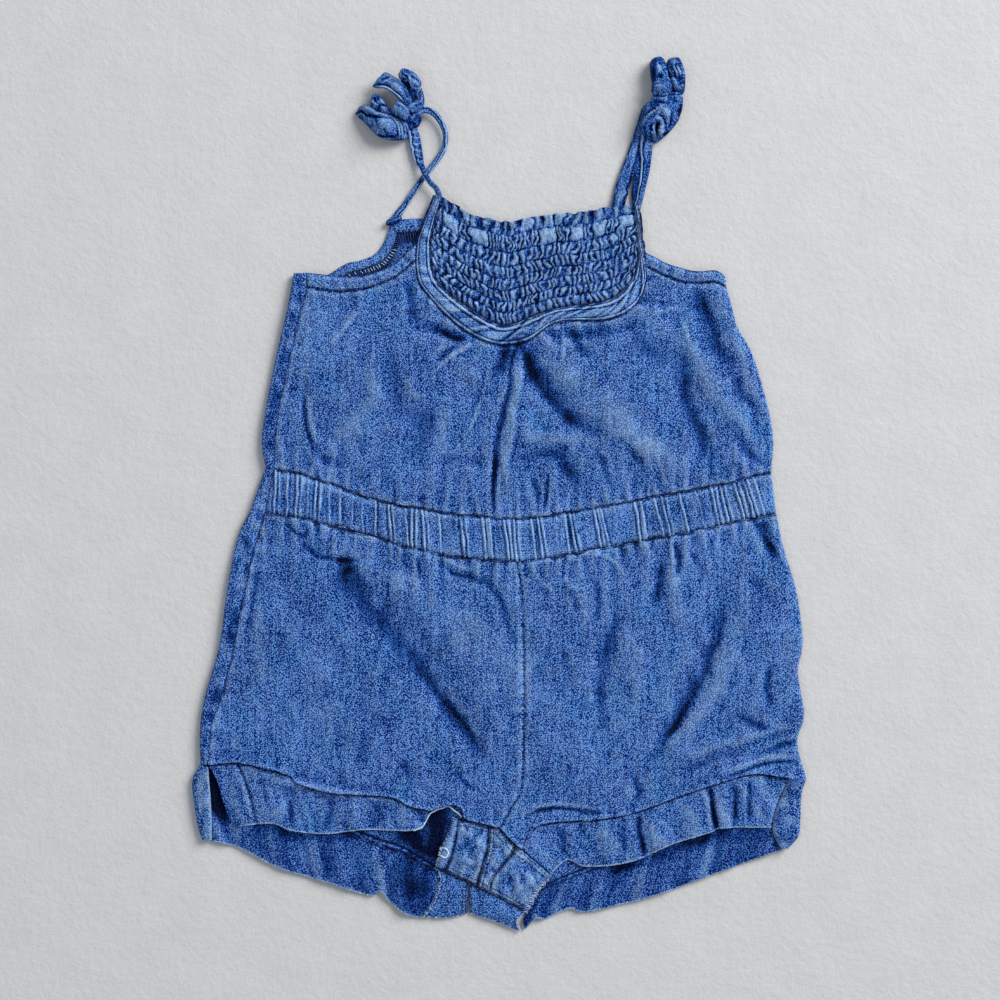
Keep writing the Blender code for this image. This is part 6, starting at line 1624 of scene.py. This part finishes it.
thread("back_cuff_stitches",
       [part_of(moved(back_hem_left, 0, -2.4), 0.05, 0.98),
        part_of(moved(back_hem_left, 0, -4.2), 0.05, 0.97),
        part_of(moved(smooth_curve(BACK_HEM_RIGHT), 0, -2.4), 0.03, 0.95),
        moved(end_a_right, -0.9, 0), moved(end_a_right, -2.6, 0)],
       low_level, indigo_thread, radius=0.22)
fringe("back_cuff_fray",
       [(back_edge_left, -1, 0.6, 1.4), (back_edge_right, -1, 0.6, 1.3),
        (smooth_curve(BACK_CUFF_LEFT_END), 1, 0.8, 1.6), (end_a_left, -1, 0.8, 2.0),
        (end_a_foot, -1, 0.7, 1.6), (end_b_foot, -1, 0.8, 1.6), (end_b_right, 1, 1.4, 3.0)],
       low_level, white_fray)

# Shoulder ties: four narrow flat tubes of chambray, two to a shoulder, with a worn piping along
# one edge and a sewn groove beside it. They rise from the yoke and the neckband to the bows.
STRAP_LEFT_FRONT = [   # x, y, height of the middle, width, twist in degrees
    (-31.9, 152.6, 4.4, 3.2, 0), (-33.6, 157.6, 4.4, 3.0, 20), (-37.5, 161.9, 4.2, 2.8, 30),
    (-40.0, 166.5, 4.2, 3.2, 30), (-42.0, 170.6, 3.0, 4.0, 20), (-43.4, 175.0, 1.9, 5.4, 0),
    (-45.1, 183.6, 2.0, 6.2, 0), (-46.0, 189.0, 2.4, 5.2, 0), (-46.6, 194.6, 2.8, 4.2, 0),
]
STRAP_LEFT_BACK = [
    (-57.0, 140.2, 1.5, 4.6, 0), (-54.9, 143.2, 1.4, 4.2, 0), (-53.4, 145.6, 1.3, 3.8, 0),
    (-50.2, 149.9, 1.3, 3.2, 0), (-46.0, 156.4, 1.3, 3.0, 0), (-41.8, 162.5, 1.2, 2.9, 0),
    (-37.2, 168.5, 1.2, 3.0, 10), (-32.9, 174.1, 1.7, 3.0, 20), (-29.9, 179.2, 2.2, 3.0, 30),
    (-29.1, 185.8, 2.6, 3.0, 30), (-30.7, 191.3, 2.8, 3.2, 30), (-34.2, 196.5, 3.2, 3.4, 20),
    (-38.3, 198.9, 3.4, 3.6, 0), (-42.4, 198.4, 3.6, 4.2, 0), (-46.2, 195.0, 3.8, 5.0, 0),
]
STRAP_RIGHT_FRONT = [
    (59.8, 144.6, 2.2, 7.4, 0), (60.6, 148.9, 1.9, 6.8, 0), (62.5, 157.8, 1.7, 7.2, 0),
    (65.3, 166.7, 1.6, 7.0, 0), (67.9, 174.4, 1.6, 6.2, 0), (70.0, 182.0, 1.7, 5.4, 0),
    (71.6, 189.0, 2.2, 4.4, 0), (73.2, 195.8, 2.8, 3.4, 10), (75.2, 201.6, 3.4, 2.8, 20),
]
STRAP_RIGHT_BACK = [
    (69.9, 146.4, 1.8, 3.8, 0), (71.8, 153.0, 1.8, 3.4, 0), (73.4, 161.4, 1.8, 4.2, 0),
    (74.7, 169.0, 2.0, 5.0, 0), (75.1, 176.4, 2.2, 6.0, 0), (75.3, 183.6, 2.6, 6.8, 0),
    (76.6, 189.4, 2.8, 6.2, 0),
]
# Rims: place across, half width, rise, tone: a pale piping, the sewn groove beside it darkened as
# painted shade, and a paler far edge.
PIPING = ((-0.80, 0.46, 0.4, 2.6), (-0.42, 0.30, -0.6, -2.0), (0.9, 0.3, 0.1, 0.8))
TIE_WALL = 0.7
TIE_THICKNESS = 1.9
tie_cloth = chambray("chambray_tie", tone=0.50, contrast=0.32)


def tie_fold(name, node_name, middle, side, square, width, thick, lines, rims, shade, seed):
    """A closed fold of tie cloth round a line of middles, with its creases drawn on it.

    Rims run the whole length: place across from -1 to 1, half width, rise and tone.
    """
    turns = math.pi * np.concatenate([np.linspace(0, 1, 23), np.linspace(1, 2, 8)[1:]])
    share, rise = (np.sign(wave) * np.abs(wave) ** 0.8 for wave in (np.cos(turns), np.sin(turns)))
    out = width[:, None] / 2 * share
    spots = middle[:, None] + side[:, None] * out[..., None]
    trail = np.linalg.norm(np.diff(middle, axis=0), axis=1)
    trail = np.concatenate([[0], np.cumsum(trail)])[:, None]
    walk = np.dstack(np.broadcast_arrays(out + 3 * rise, trail))
    rows = [(route, wide, high, 0, tone) for route, wide, high, tone in lines]
    relief = creases(spots[..., :2], rows) + 0.22 * rumple(walk, 1.8, 7, seed)
    # Tone: the lines' painted highlight and shade, with wear.
    tone = (shade + 0.25 + 1.9 * creases(spots[..., :2], rows, tones=True)
            + 0.5 * rumple(walk, 1.6, 5, seed + 1))
    for place, wide, high, rim_tone in rims:
        waver = place + 0.14 * rumple(walk * [0, 1], 4, 2.6, seed + 2)
        line = np.exp(-((share - waver) * width[:, None] / (2 * wide)) ** 2)
        relief, tone = relief + high * line, tone + rim_tone * line
    # Painted shade along both edges, where the fold meets what lies under it.
    tone -= 1.0 * np.exp(-((1 - np.abs(share)) * width[:, None] / 0.7) ** 2)
    level = thick[:, None] / 2 * rise + np.clip(rise, 0, 1) ** 0.4 * relief
    grid = spots + square[:, None] * level[..., None]
    tone += 0.6 * ridge_wear_and_dip_shade(grid, spread=2)
    piece = cloth(name, grid, walk, tie_cloth, tone, wall=TIE_WALL, around=True)
    if node_name:
        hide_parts(node_name)
    return piece


def strap(name, node_name, rows, rims, seed, lines=(), shade=0.0):
    """A shoulder tie: its width lies square to its route and turns by its twist."""
    route = smooth_curve(rows)
    whole = length_of(smooth_curve([row[:2] for row in rows]))
    places = route(np.linspace(0, 1, int(whole / 0.5)))
    ahead = np.gradient(places[:, :2], axis=0)
    ahead /= np.linalg.norm(ahead, axis=1, keepdims=True)
    tilt = np.radians(places[:, 4])
    side = np.stack([ahead[:, 1] * np.cos(tilt), -ahead[:, 0] * np.cos(tilt), np.sin(tilt)], 1)
    square = np.cross(side, np.column_stack([ahead, 0 * tilt]))
    ends = np.linspace(0, whole, len(places))
    closing = np.sqrt(1 - (1 - np.clip(np.minimum(ends, whole - ends) / 1.2, 0.02, 1)) ** 2)
    return tie_fold(name, node_name, places[:, :3], side, square, places[:, 3] * closing,
                    TIE_THICKNESS * closing, lines, rims, shade, seed)


# Rims of the wide tie: a pale edge and two grooves darkened as painted shade.
WIDE_TIE = ((-0.9, 0.3, 0.1, 0.6), (-0.74, 0.3, -0.5, -1.6), (0.78, 0.6, -0.5, -2.0))
FAR_PIPING = tuple((-place, wide, rise, tone) for place, wide, rise, tone in PIPING)
STRAP_RUFFLES = [([(x - 1.9, y + 0.8), (x + 1.6, y - 0.7)], 0.38, 0.5, 1.1)
                 for x, y in ((-46.2, 190.4), (-45.6, 187.2), (-45.0, 184.4), (-44.6, 181.2),
                              (-44.0, 178.2), (-43.4, 175.4), (-42.4, 172.2))]
LEFT_BACK_ROLL = [(-59.9, 139.7, 2.2, 2.6, 0), (-57.6, 140.9, 2.8, 3.6, 0),
                  (-54.6, 141.8, 2.8, 3.2, 0), (-51.8, 143.4, 2.2, 2.4, 0)]
RIGHT_BACK_TURN = [(68.9, 150.0, 1.1, 2.4, 0), (69.3, 157.0, 1.1, 3.4, 0),
                   (70.3, 165.0, 1.1, 3.2, 0), (71.0, 173.0, 1.1, 3.0, 0),
                   (71.8, 180.0, 1.1, 3.0, 0)]
# The left back roll and the right back turn lie in shade: their shade values darken them as painted
# shade.
strap("tie_left_back", "strap_left_back", STRAP_LEFT_BACK, FAR_PIPING, 133)
strap("tie_left_back_roll", None, LEFT_BACK_ROLL, (), 134, shade=-0.8)
strap("tie_left_front", "strap_left_front", STRAP_LEFT_FRONT, PIPING, 131, STRAP_RUFFLES)
strap("tie_right_back_turn", None, RIGHT_BACK_TURN, (), 136, shade=-1.1)
strap("tie_right_front", "strap_right_front", STRAP_RIGHT_FRONT, WIDE_TIE, 135)
strap("tie_right_back", "strap_right_back", STRAP_RIGHT_BACK, PIPING, 137)

# Left bow: a wound knot with a big loop folded back at the lower left, a loop end rolled up at
# the upper right with its side band, and two tails. All are folds of the same sewn tie.


def puff(name, node_name, edges, levels, lines, seed, shade=0.0):
    """A puffed fold that lies level between two edges that meet at both ends.

    Levels are its foot and thickness at the start, in the middle and at the end. Lines are its
    creases: route, half width, rise, tone (painted highlight where positive, painted shade where
    negative, with wear).
    """
    u = 0.5 - 0.5 * np.cos(np.linspace(0, math.pi, 64))
    first, second = (smooth_curve(edge)(u) for edge in edges)
    width = np.linalg.norm(second - first, axis=1)
    foot, thick = (np.interp(u, (0, 0.5, 1), column) for column in zip(*levels))
    thick = thick * np.clip(1.5 * width / width.max(), 0, 1) ** 0.6 + 0.1
    middle = np.column_stack([(first + second) / 2, foot + thick / 2])
    side = np.column_stack([(second - first) / (width[:, None] + 1e-6), np.zeros(len(u))])
    side[:2], side[-2:] = side[2], side[-3]
    upright = np.tile([0.0, 0.0, 1.0], (len(u), 1))
    return tie_fold(name, node_name, middle, side, upright, width + 0.5, thick, lines, (),
                    shade, seed)


# The knot's underside and the inner fold lie in shade: their shade values darken them as painted
# shade.
puff("left_knot_under", None, [
    [(-51.9, 198.5), (-48.0, 198.3), (-45.0, 197.4), (-42.5, 195.7), (-41.6, 193.6),
     (-42.8, 191.1), (-44.9, 189.2)],
    [(-51.9, 198.5), (-52.5, 195.7), (-50.8, 192.9), (-48.9, 190.5), (-47.2, 189.1),
     (-44.9, 189.2)],
], ((1.0, 4.0), (1.0, 5.6), (1.0, 4.0)), [
    ([(-47.9, 192.1), (-45.7, 191.0), (-44.1, 189.6)], 1.0, -0.6, -1.0),
    ([(-46.1, 193.2), (-45.3, 195.4), (-43.6, 196.9), (-41.9, 197.5)], 0.34, 0.5, 2.2),
], shade=-0.9, seed=144)
puff("left_fold_inner", None, [
    [(-51.2, 214.7), (-49.2, 212.5), (-47.6, 209.8), (-46.7, 207.0), (-44.6, 202.3)],
    [(-51.2, 214.7), (-52.2, 213.6), (-49.4, 208.7), (-47.5, 202.9), (-44.6, 202.3)],
], ((0.8, 3.6), (0.8, 4.6), (1.0, 4.0)), [
    ([(-50.4, 211.9), (-48.5, 208.9), (-46.8, 205.0)], 0.5, -0.4, -0.8),
], shade=-0.9, seed=142)
puff("left_fold_low", None, [
    [(-61.8, 198.3), (-59.4, 199.8), (-56.9, 198.5), (-54.9, 196.1), (-52.7, 194.0)],
    [(-61.8, 198.3), (-60.7, 196.1), (-58.0, 195.4), (-55.2, 194.0), (-52.7, 194.0)],
], ((0.8, 4.4), (0.8, 5.0), (1.0, 4.6)), [
    ([(-60.0, 197.9), (-57.3, 196.2), (-54.8, 194.3)], 0.5, 0.4, 0.8),
], shade=-0.4, seed=148)
puff("left_loop_lower", "bow_left_loop_lower", [
    [(-75.4, 197.6), (-74.5, 199.7), (-72.6, 201.0), (-69.3, 200.9), (-66.8, 199.6),
     (-64.1, 197.5), (-61.3, 196.7), (-58.5, 197.0), (-56.1, 196.1), (-50.8, 193.2),
     (-48.6, 191.3), (-47.9, 187.7)],
    [(-75.4, 197.6), (-74.3, 195.4), (-72.3, 193.9), (-66.0, 187.1), (-63.5, 185.1),
     (-60.5, 183.8), (-56.9, 183.2), (-53.0, 183.3), (-49.7, 183.8), (-48.2, 185.5),
     (-47.9, 187.7)],
], ((0.5, 4.5), (0.5, 8.5), (0.5, 6.0)), [
    ([(-75.1, 197.2), (-72.7, 198.0), (-71.3, 197.0), (-69.9, 195.5),
      (-60.3, 193.9)], 0.42, -1.6, -1.7),
    ([(-73.0, 199.5), (-69.9, 199.0), (-67.2, 197.7), (-65.3, 196.4)], 1.4, 0.9, 0.25),
    ([(-65.7, 195.8), (-64.1, 196.8), (-62.8, 197.2), (-61.4, 195.9), (-58.9, 194.9),
      (-56.4, 194.3)], 0.45, 0.8, 0.8),
    ([(-65.0, 192.6), (-57.3, 188.5)], 3.2, 1.2, 0.05),
    ([(-62.8, 193.1), (-59.5, 193.0), (-55.9, 192.5)], 0.8, 0.3, 0.55),
    ([(-64.4, 193.5), (-64.3, 191.0), (-63.6, 188.2)], 0.55, -0.5, -0.5),
    ([(-67.2, 194.0), (-66.9, 191.5), (-66.1, 189.6)], 0.5, -0.4, -0.4),
    ([(-60.6, 190.2), (-60.3, 187.1), (-59.5, 185.5)], 0.6, -0.4, -0.3),
    ([(-57.8, 194.8), (-55.8, 192.9), (-54.4, 190.7), (-53.8, 187.7),
      (-53.7, 184.4)], 0.26, -0.6, -1.2),
    ([(-57.3, 195.1), (-55.1, 193.3), (-53.6, 191.0), (-52.9, 188.2),
      (-52.8, 184.1)], 0.3, 0.5, 1.3),
    ([(-56.2, 195.1), (-54.0, 193.1), (-52.7, 190.7), (-52.1, 187.7),
      (-52.0, 184.1)], 0.22, -0.5, -1.1),
    ([(-55.3, 195.1), (-53.4, 193.2), (-52.0, 190.7), (-51.3, 187.7),
      (-51.2, 184.1)], 0.3, 0.5, 1.2),
    ([(-54.5, 194.8), (-52.6, 192.9), (-51.1, 190.4), (-50.4, 187.4),
      (-50.3, 184.1)], 0.32, -0.6, -1.3),
    ([(-50.7, 192.1), (-49.3, 189.6), (-48.8, 186.9), (-49.0, 184.1)], 0.36, -0.5, -1.1),
    ([(-64.7, 185.6), (-61.7, 184.5), (-57.8, 184.3), (-54.0, 185.4)], 0.28, -0.5, -1.5),
    ([(-62.8, 184.3), (-60.0, 183.4), (-56.7, 183.2), (-53.4, 183.8)], 0.36, 0.3, 0.6),
], seed=143)
puff("left_tail_small", "bow_left_tail_small", [
    [(-68.2, 203.4), (-67.4, 205.6), (-66.2, 207.0), (-64.5, 206.6), (-61.5, 204.3),
     (-59.0, 199.7), (-58.3, 197.4), (-59.2, 196.3)],
    [(-68.2, 203.4), (-67.8, 201.2), (-66.3, 199.6), (-64.3, 198.3), (-62.4, 197.6),
     (-60.7, 196.5), (-59.2, 196.3)],
], ((2.0, 3.5), (2.4, 4.5), (2.6, 4.0)), [
    ([(-67.9, 203.2), (-65.0, 201.3), (-63.7, 200.8)], 0.3, 0.5, 2.2),
    ([(-66.1, 205.2), (-64.4, 202.2)], 0.45, -0.8, -1.6),
    ([(-64.4, 205.0), (-63.6, 203.4)], 0.3, -0.4, -0.8),
    ([(-62.9, 203.7), (-61.7, 202.8), (-60.9, 201.8)], 0.3, 0.5, 2.2),
    ([(-63.3, 201.4), (-61.7, 200.8), (-59.2, 200.6)], 0.36, -0.6, -1.7),
    ([(-64.3, 198.3), (-63.0, 199.8), (-62.7, 201.4)], 0.36, -0.6, -1.4),
    ([(-61.7, 199.5), (-59.9, 197.7)], 0.8, 0.4, 0.6),
    ([(-66.6, 200.6), (-65.3, 199.4)], 0.8, 0.3, 0.3),
], seed=149)
puff("left_loop_side", None, [
    [(-41.6, 209.8), (-40.8, 207.8), (-40.3, 205.4), (-40.1, 202.9), (-40.4, 200.8),
     (-42.0, 198.9), (-44.2, 197.2), (-46.3, 196.7), (-47.5, 197.6)],
    [(-41.6, 209.8), (-42.4, 207.8), (-42.5, 205.6), (-43.4, 204.0), (-47.2, 201.8),
     (-48.5, 199.8), (-47.5, 197.6)],
], ((3.0, 4.5), (2.6, 5.0), (3.2, 5.0)), [
    ([(-41.2, 207.5), (-41.0, 204.8), (-41.2, 202.3)], 0.45, 0.3, 0.5),
    ([(-44.5, 201.5), (-43.5, 199.3), (-42.8, 198.3)], 0.5, -0.4, -0.8),
    ([(-47.6, 199.3), (-45.7, 201.0), (-43.4, 202.1)], 0.5, 0.4, 0.7),
    ([(-42.4, 201.7), (-41.0, 200.9)], 0.7, -0.2, -0.5),
], seed=146)
puff("left_tail_upper", "bow_left_tail_upper", [
    [(-63.4, 214.3), (-60.2, 217.7), (-54.1, 214.3), (-51.9, 212.7), (-49.7, 210.5),
     (-47.9, 207.8), (-46.7, 205.4), (-46.3, 202.9), (-47.2, 201.2)],
    [(-63.4, 214.3), (-65.2, 212.7), (-66.5, 210.7), (-64.1, 209.7), (-60.7, 209.5),
     (-58.0, 208.3), (-55.5, 206.4), (-51.1, 202.2), (-49.2, 200.9), (-47.2, 201.2)],
], ((4.6, 2.6), (6.4, 2.6), (4.6, 3.4)), [
    ([(-65.7, 211.5), (-61.7, 211.3), (-58.9, 210.4), (-53.4, 206.4), (-51.2, 204.3),
      (-49.7, 202.0)], 0.26, -0.7, -1.8),
    ([(-65.8, 210.3), (-61.1, 210.0), (-58.4, 209.0), (-55.6, 207.2), (-52.9, 205.0),
      (-50.9, 202.7)], 0.46, 0.6, 1.5),
    ([(-62.5, 213.4), (-57.8, 215.2)], 0.34, -0.5, -0.9),
    ([(-61.7, 212.3), (-57.0, 214.3)], 0.28, 0.3, 0.7),
    ([(-57.3, 211.6), (-54.5, 209.4), (-52.3, 207.2)], 1.5, 0.4, 0.35),
    ([(-50.7, 208.3), (-49.3, 206.1), (-48.5, 203.9)], 0.7, -0.3, -0.5),
    ([(-49.0, 202.8), (-47.9, 201.7)], 0.6, -0.4, -0.7),
], seed=147)
puff("left_loop_upper", "bow_left_loop_upper", [
    [(-52.9, 217.4), (-52.0, 219.1), (-49.8, 219.5), (-45.3, 217.4), (-43.4, 215.4),
     (-41.8, 212.9), (-41.6, 211.4), (-42.3, 209.5), (-43.1, 205.4), (-44.3, 203.6)],
    [(-52.9, 217.4), (-53.2, 216.1), (-52.3, 214.3), (-48.6, 211.4), (-45.8, 204.5),
     (-44.3, 203.6)],
], ((4.0, 5.0), (4.0, 6.4), (3.4, 5.0)), [
    ([(-52.5, 217.3), (-49.0, 215.1), (-48.2, 213.6)], 0.32, -0.9, -1.6),
    ([(-52.0, 214.7), (-50.7, 213.8), (-49.3, 213.6)], 0.3, -0.4, -0.9),
    ([(-47.4, 215.4), (-42.3, 212.4)], 0.24, -0.6, -1.5),
    ([(-47.1, 216.5), (-45.2, 215.8), (-43.2, 213.9)], 0.34, 0.3, 0.6),
    ([(-47.8, 214.7), (-46.8, 213.4)], 0.4, 0.4, 2.4),
    ([(-46.1, 212.7), (-43.0, 210.3)], 0.9, 0.6, 0.9),
    ([(-45.3, 210.8), (-42.8, 209.7)], 0.24, -0.3, -0.9),
    ([(-46.8, 208.6), (-45.2, 207.2), (-43.2, 207.6)], 1.1, -0.3, -0.9),
    ([(-45.4, 204.8), (-43.8, 205.0)], 0.8, -0.8, -1.5),
    ([(-49.0, 212.0), (-47.9, 210.8), (-47.4, 208.6)], 0.55, -0.8, -1.8),
    ([(-51.7, 217.8), (-52.6, 215.9), (-51.9, 214.1)], 0.26, 0.3, 0.6),
    ([(-47.4, 213.3), (-47.1, 211.1), (-46.4, 209.7)], 0.24, 0.3, 0.7),
], seed=145)
puff("knot_left", "bow_left_knot", [
    [(-56.7, 199.0), (-54.7, 202.0), (-53.4, 202.7), (-48.3, 199.4), (-47.1, 196.7)],
    [(-56.7, 199.0), (-57.1, 197.0), (-52.2, 194.2), (-49.2, 193.0), (-47.1, 196.7)],
], ((3.2, 7.0), (3.2, 7.4), (3.0, 7.0)), [
    ([(-54.2, 200.1), (-52.3, 198.7), (-50.7, 197.1)], 0.24, -0.4, -1.0),
    ([(-52.9, 201.4), (-50.7, 199.8), (-48.6, 197.7)], 0.42, 0.3, 0.9),
    ([(-54.8, 197.7), (-52.6, 196.1), (-50.1, 194.7)], 1.0, 0.3, 0.55),
    ([(-56.2, 197.9), (-55.1, 196.5)], 0.4, 0.0, 0.4),
    ([(-48.3, 196.2), (-48.7, 193.7)], 0.35, -0.3, -0.8),
], seed=141)

# Right bow: a knot of two turns under two short upright loops, and a broad loop folded down
# below it round a narrow rimmed opening.
puff("right_loop_lower", "bow_right_loop_lower", [
    [(85.8, 206.2), (81.2, 205.7), (78.9, 205.0), (77.3, 202.3), (75.7, 201.4), (72.4, 190.0),
     (72.8, 187.8), (74.8, 185.8), (77.3, 184.0), (80.7, 183.2)],
    [(85.8, 206.2), (89.4, 206.8), (92.4, 206.4), (93.1, 203.2), (92.7, 199.1), (91.4, 195.2),
     (90.2, 192.5), (85.8, 187.2), (80.7, 183.2)],
], ((0.5, 8.0), (0.5, 9.4), (0.5, 6.5)), [
    ([(79.4, 203.9), (82.3, 204.1), (85.6, 202.9)], 0.34, 0.5, 1.1),
    ([(78.7, 205.0), (83.2, 204.8), (87.8, 205.7), (91.6, 205.9)], 0.45, -0.9, -1.8),
    ([(78.2, 202.2), (85.1, 201.5)], 0.5, -0.5, -1.0),
    ([(73.5, 193.5), (75.3, 195.7), (78.0, 197.5), (80.5, 200.1)], 0.38, -0.8, -1.7),
    ([(73.2, 192.1), (74.6, 194.5), (82.3, 200.0), (85.1, 200.3)], 0.34, 0.7, 1.3),
    ([(82.3, 198.4), (85.0, 197.5), (85.6, 195.3)], 1.1, 0.7, 0.8),
    ([(81.0, 194.4), (79.2, 193.5), (78.4, 190.3), (78.2, 186.7), (79.4, 184.2),
      (81.0, 183.4)], 0.42, 1.0, 1.9),
    ([(81.0, 194.3), (82.6, 192.6), (83.2, 189.9), (82.8, 187.4), (81.2, 185.4)], 0.42, 1.0, 1.7),
    ([(80.5, 192.4), (80.1, 186.0)], 0.72, -2.6, -2.6),
    ([(79.2, 195.0), (77.7, 191.7), (77.2, 188.1), (77.7, 184.7)], 0.36, -0.8, -1.7),
    ([(79.8, 195.2), (82.4, 195.0), (84.1, 192.6), (84.4, 189.9)], 0.34, -0.7, -1.4),
    ([(86.6, 198.5), (87.4, 195.3), (86.9, 191.3), (85.1, 188.8)], 0.36, -0.6, -1.1),
    ([(92.5, 202.6), (92.0, 199.0), (90.8, 195.6)], 0.6, -0.4, -1.7),
    ([(88.7, 204.4), (90.1, 200.8)], 0.7, -0.5, -1.0),
    ([(76.6, 190.3), (76.2, 186.7)], 0.6, -0.4, -0.6),
    ([(83.0, 186.0), (85.6, 187.6)], 0.28, -0.4, -1.3),
    ([(88.2, 198.1), (89.7, 196.2), (88.7, 192.6)], 0.7, 0.2, 0.5),
    ([(86.0, 198.5), (86.3, 195.3), (85.5, 191.7)], 0.3, 0.3, 0.6),
    ([(72.7, 189.9), (73.8, 191.3), (74.6, 193.5)], 0.3, 0.3, 0.7),
    ([(81.0, 189.9), (81.5, 187.2), (82.6, 185.1)], 0.24, 0.6, 1.2),
], shade=-0.45, seed=157)
puff("right_ear_left", "bow_right_ear_left", [
    [(80.5, 225.8), (78.7, 224.6), (77.8, 221.9), (78.4, 215.1), (79.2, 212.7), (82.6, 212.3)],
    [(80.5, 225.8), (82.3, 225.6), (83.5, 224.2), (84.5, 221.7), (85.8, 215.5), (85.8, 213.2),
     (82.6, 212.3)],
], ((0.6, 6.0), (0.6, 8.0), (0.6, 8.0)), [
    ([(81.2, 216.0), (83.0, 215.6)], 0.7, -0.8, -1.9),
    ([(81.8, 221.7), (82.0, 217.8)], 1.0, 0.3, 0.7),
    ([(78.8, 221.2), (79.2, 217.1), (79.1, 214.0)], 0.7, -0.3, -0.5),
    ([(80.3, 214.7), (83.2, 214.5)], 0.5, -0.4, -0.6),
    ([(83.0, 222.1), (84.0, 218.7)], 0.36, 0.1, 0.4),
    ([(80.3, 224.4), (79.2, 223.1)], 0.5, 0.1, -0.5),
], shade=-0.4, seed=153)
puff("right_ear_right", "bow_right_ear_right", [
    [(89.2, 225.4), (87.1, 224.4), (86.4, 221.7), (87.2, 218.9), (88.7, 216.6), (90.5, 214.8),
     (93.1, 207.8)],
    [(89.2, 225.4), (90.8, 225.3), (92.4, 223.5), (94.2, 217.3), (94.3, 211.4), (93.9, 208.6),
     (93.1, 207.8)],
], ((0.6, 6.0), (0.6, 7.6), (0.8, 6.0)), [
    ([(87.9, 221.2), (90.9, 214.7)], 0.26, -0.4, -1.3),
    ([(87.1, 220.3), (88.3, 217.8), (90.2, 214.9)], 0.22, 0.2, 0.9),
    ([(89.0, 220.8), (90.3, 218.0), (91.5, 214.7)], 0.22, 0.2, 1.1),
    ([(89.8, 221.7), (91.0, 218.5), (92.0, 214.9)], 0.26, -0.4, -1.4),
    ([(90.7, 221.2), (91.9, 218.0), (92.5, 215.3)], 0.22, 0.2, 1.0),
    ([(91.7, 221.2), (92.8, 218.0), (93.2, 214.9)], 0.26, -0.4, -1.3),
    ([(88.7, 223.4), (90.6, 223.0)], 0.7, 0.2, 0.7),
    ([(91.0, 213.9), (92.9, 209.7)], 0.36, -0.8, -1.8),
    ([(93.3, 213.0), (93.5, 210.3), (92.9, 208.2)], 0.26, 0.3, 1.3),
], shade=-0.5, seed=155)
puff("knot_right", "bow_right_knot", [
    [(78.4, 209.6), (78.4, 212.4), (86.3, 214.7), (89.4, 207.5)],
    [(78.4, 209.6), (78.5, 206.9), (79.6, 205.8), (85.8, 206.4), (88.0, 206.8), (89.4, 207.5)],
], ((1.0, 9.4), (1.0, 9.8), (1.0, 9.0)), [
    ([(81.0, 211.7), (81.1, 206.7)], 1.2, 0.2, 0.35),
    ([(78.9, 211.8), (82.8, 212.6)], 0.45, 0.1, 0.4),
    ([(84.6, 212.6), (85.5, 209.9), (86.9, 207.2)], 0.6, 0.1, -0.3),
], shade=-0.3, seed=151)
puff("right_knot_turn", None, [
    [(86.9, 214.5), (88.7, 215.1), (90.8, 213.8), (93.0, 209.2), (91.5, 207.8)],
    [(86.9, 214.5), (87.1, 212.5), (88.0, 210.6), (89.5, 208.6), (91.5, 207.8)],
], ((1.4, 8.6), (1.4, 9.4), (1.4, 8.0)), [
    ([(87.9, 213.1), (89.6, 210.8), (91.0, 208.4)], 0.8, 0.3, 0.7),
    ([(87.0, 213.5), (87.3, 211.2), (89.1, 208.5)], 0.26, -0.3, -1.2),
    ([(90.3, 212.6), (91.4, 210.3)], 0.3, -0.2, -0.6),
], shade=-0.3, seed=152)
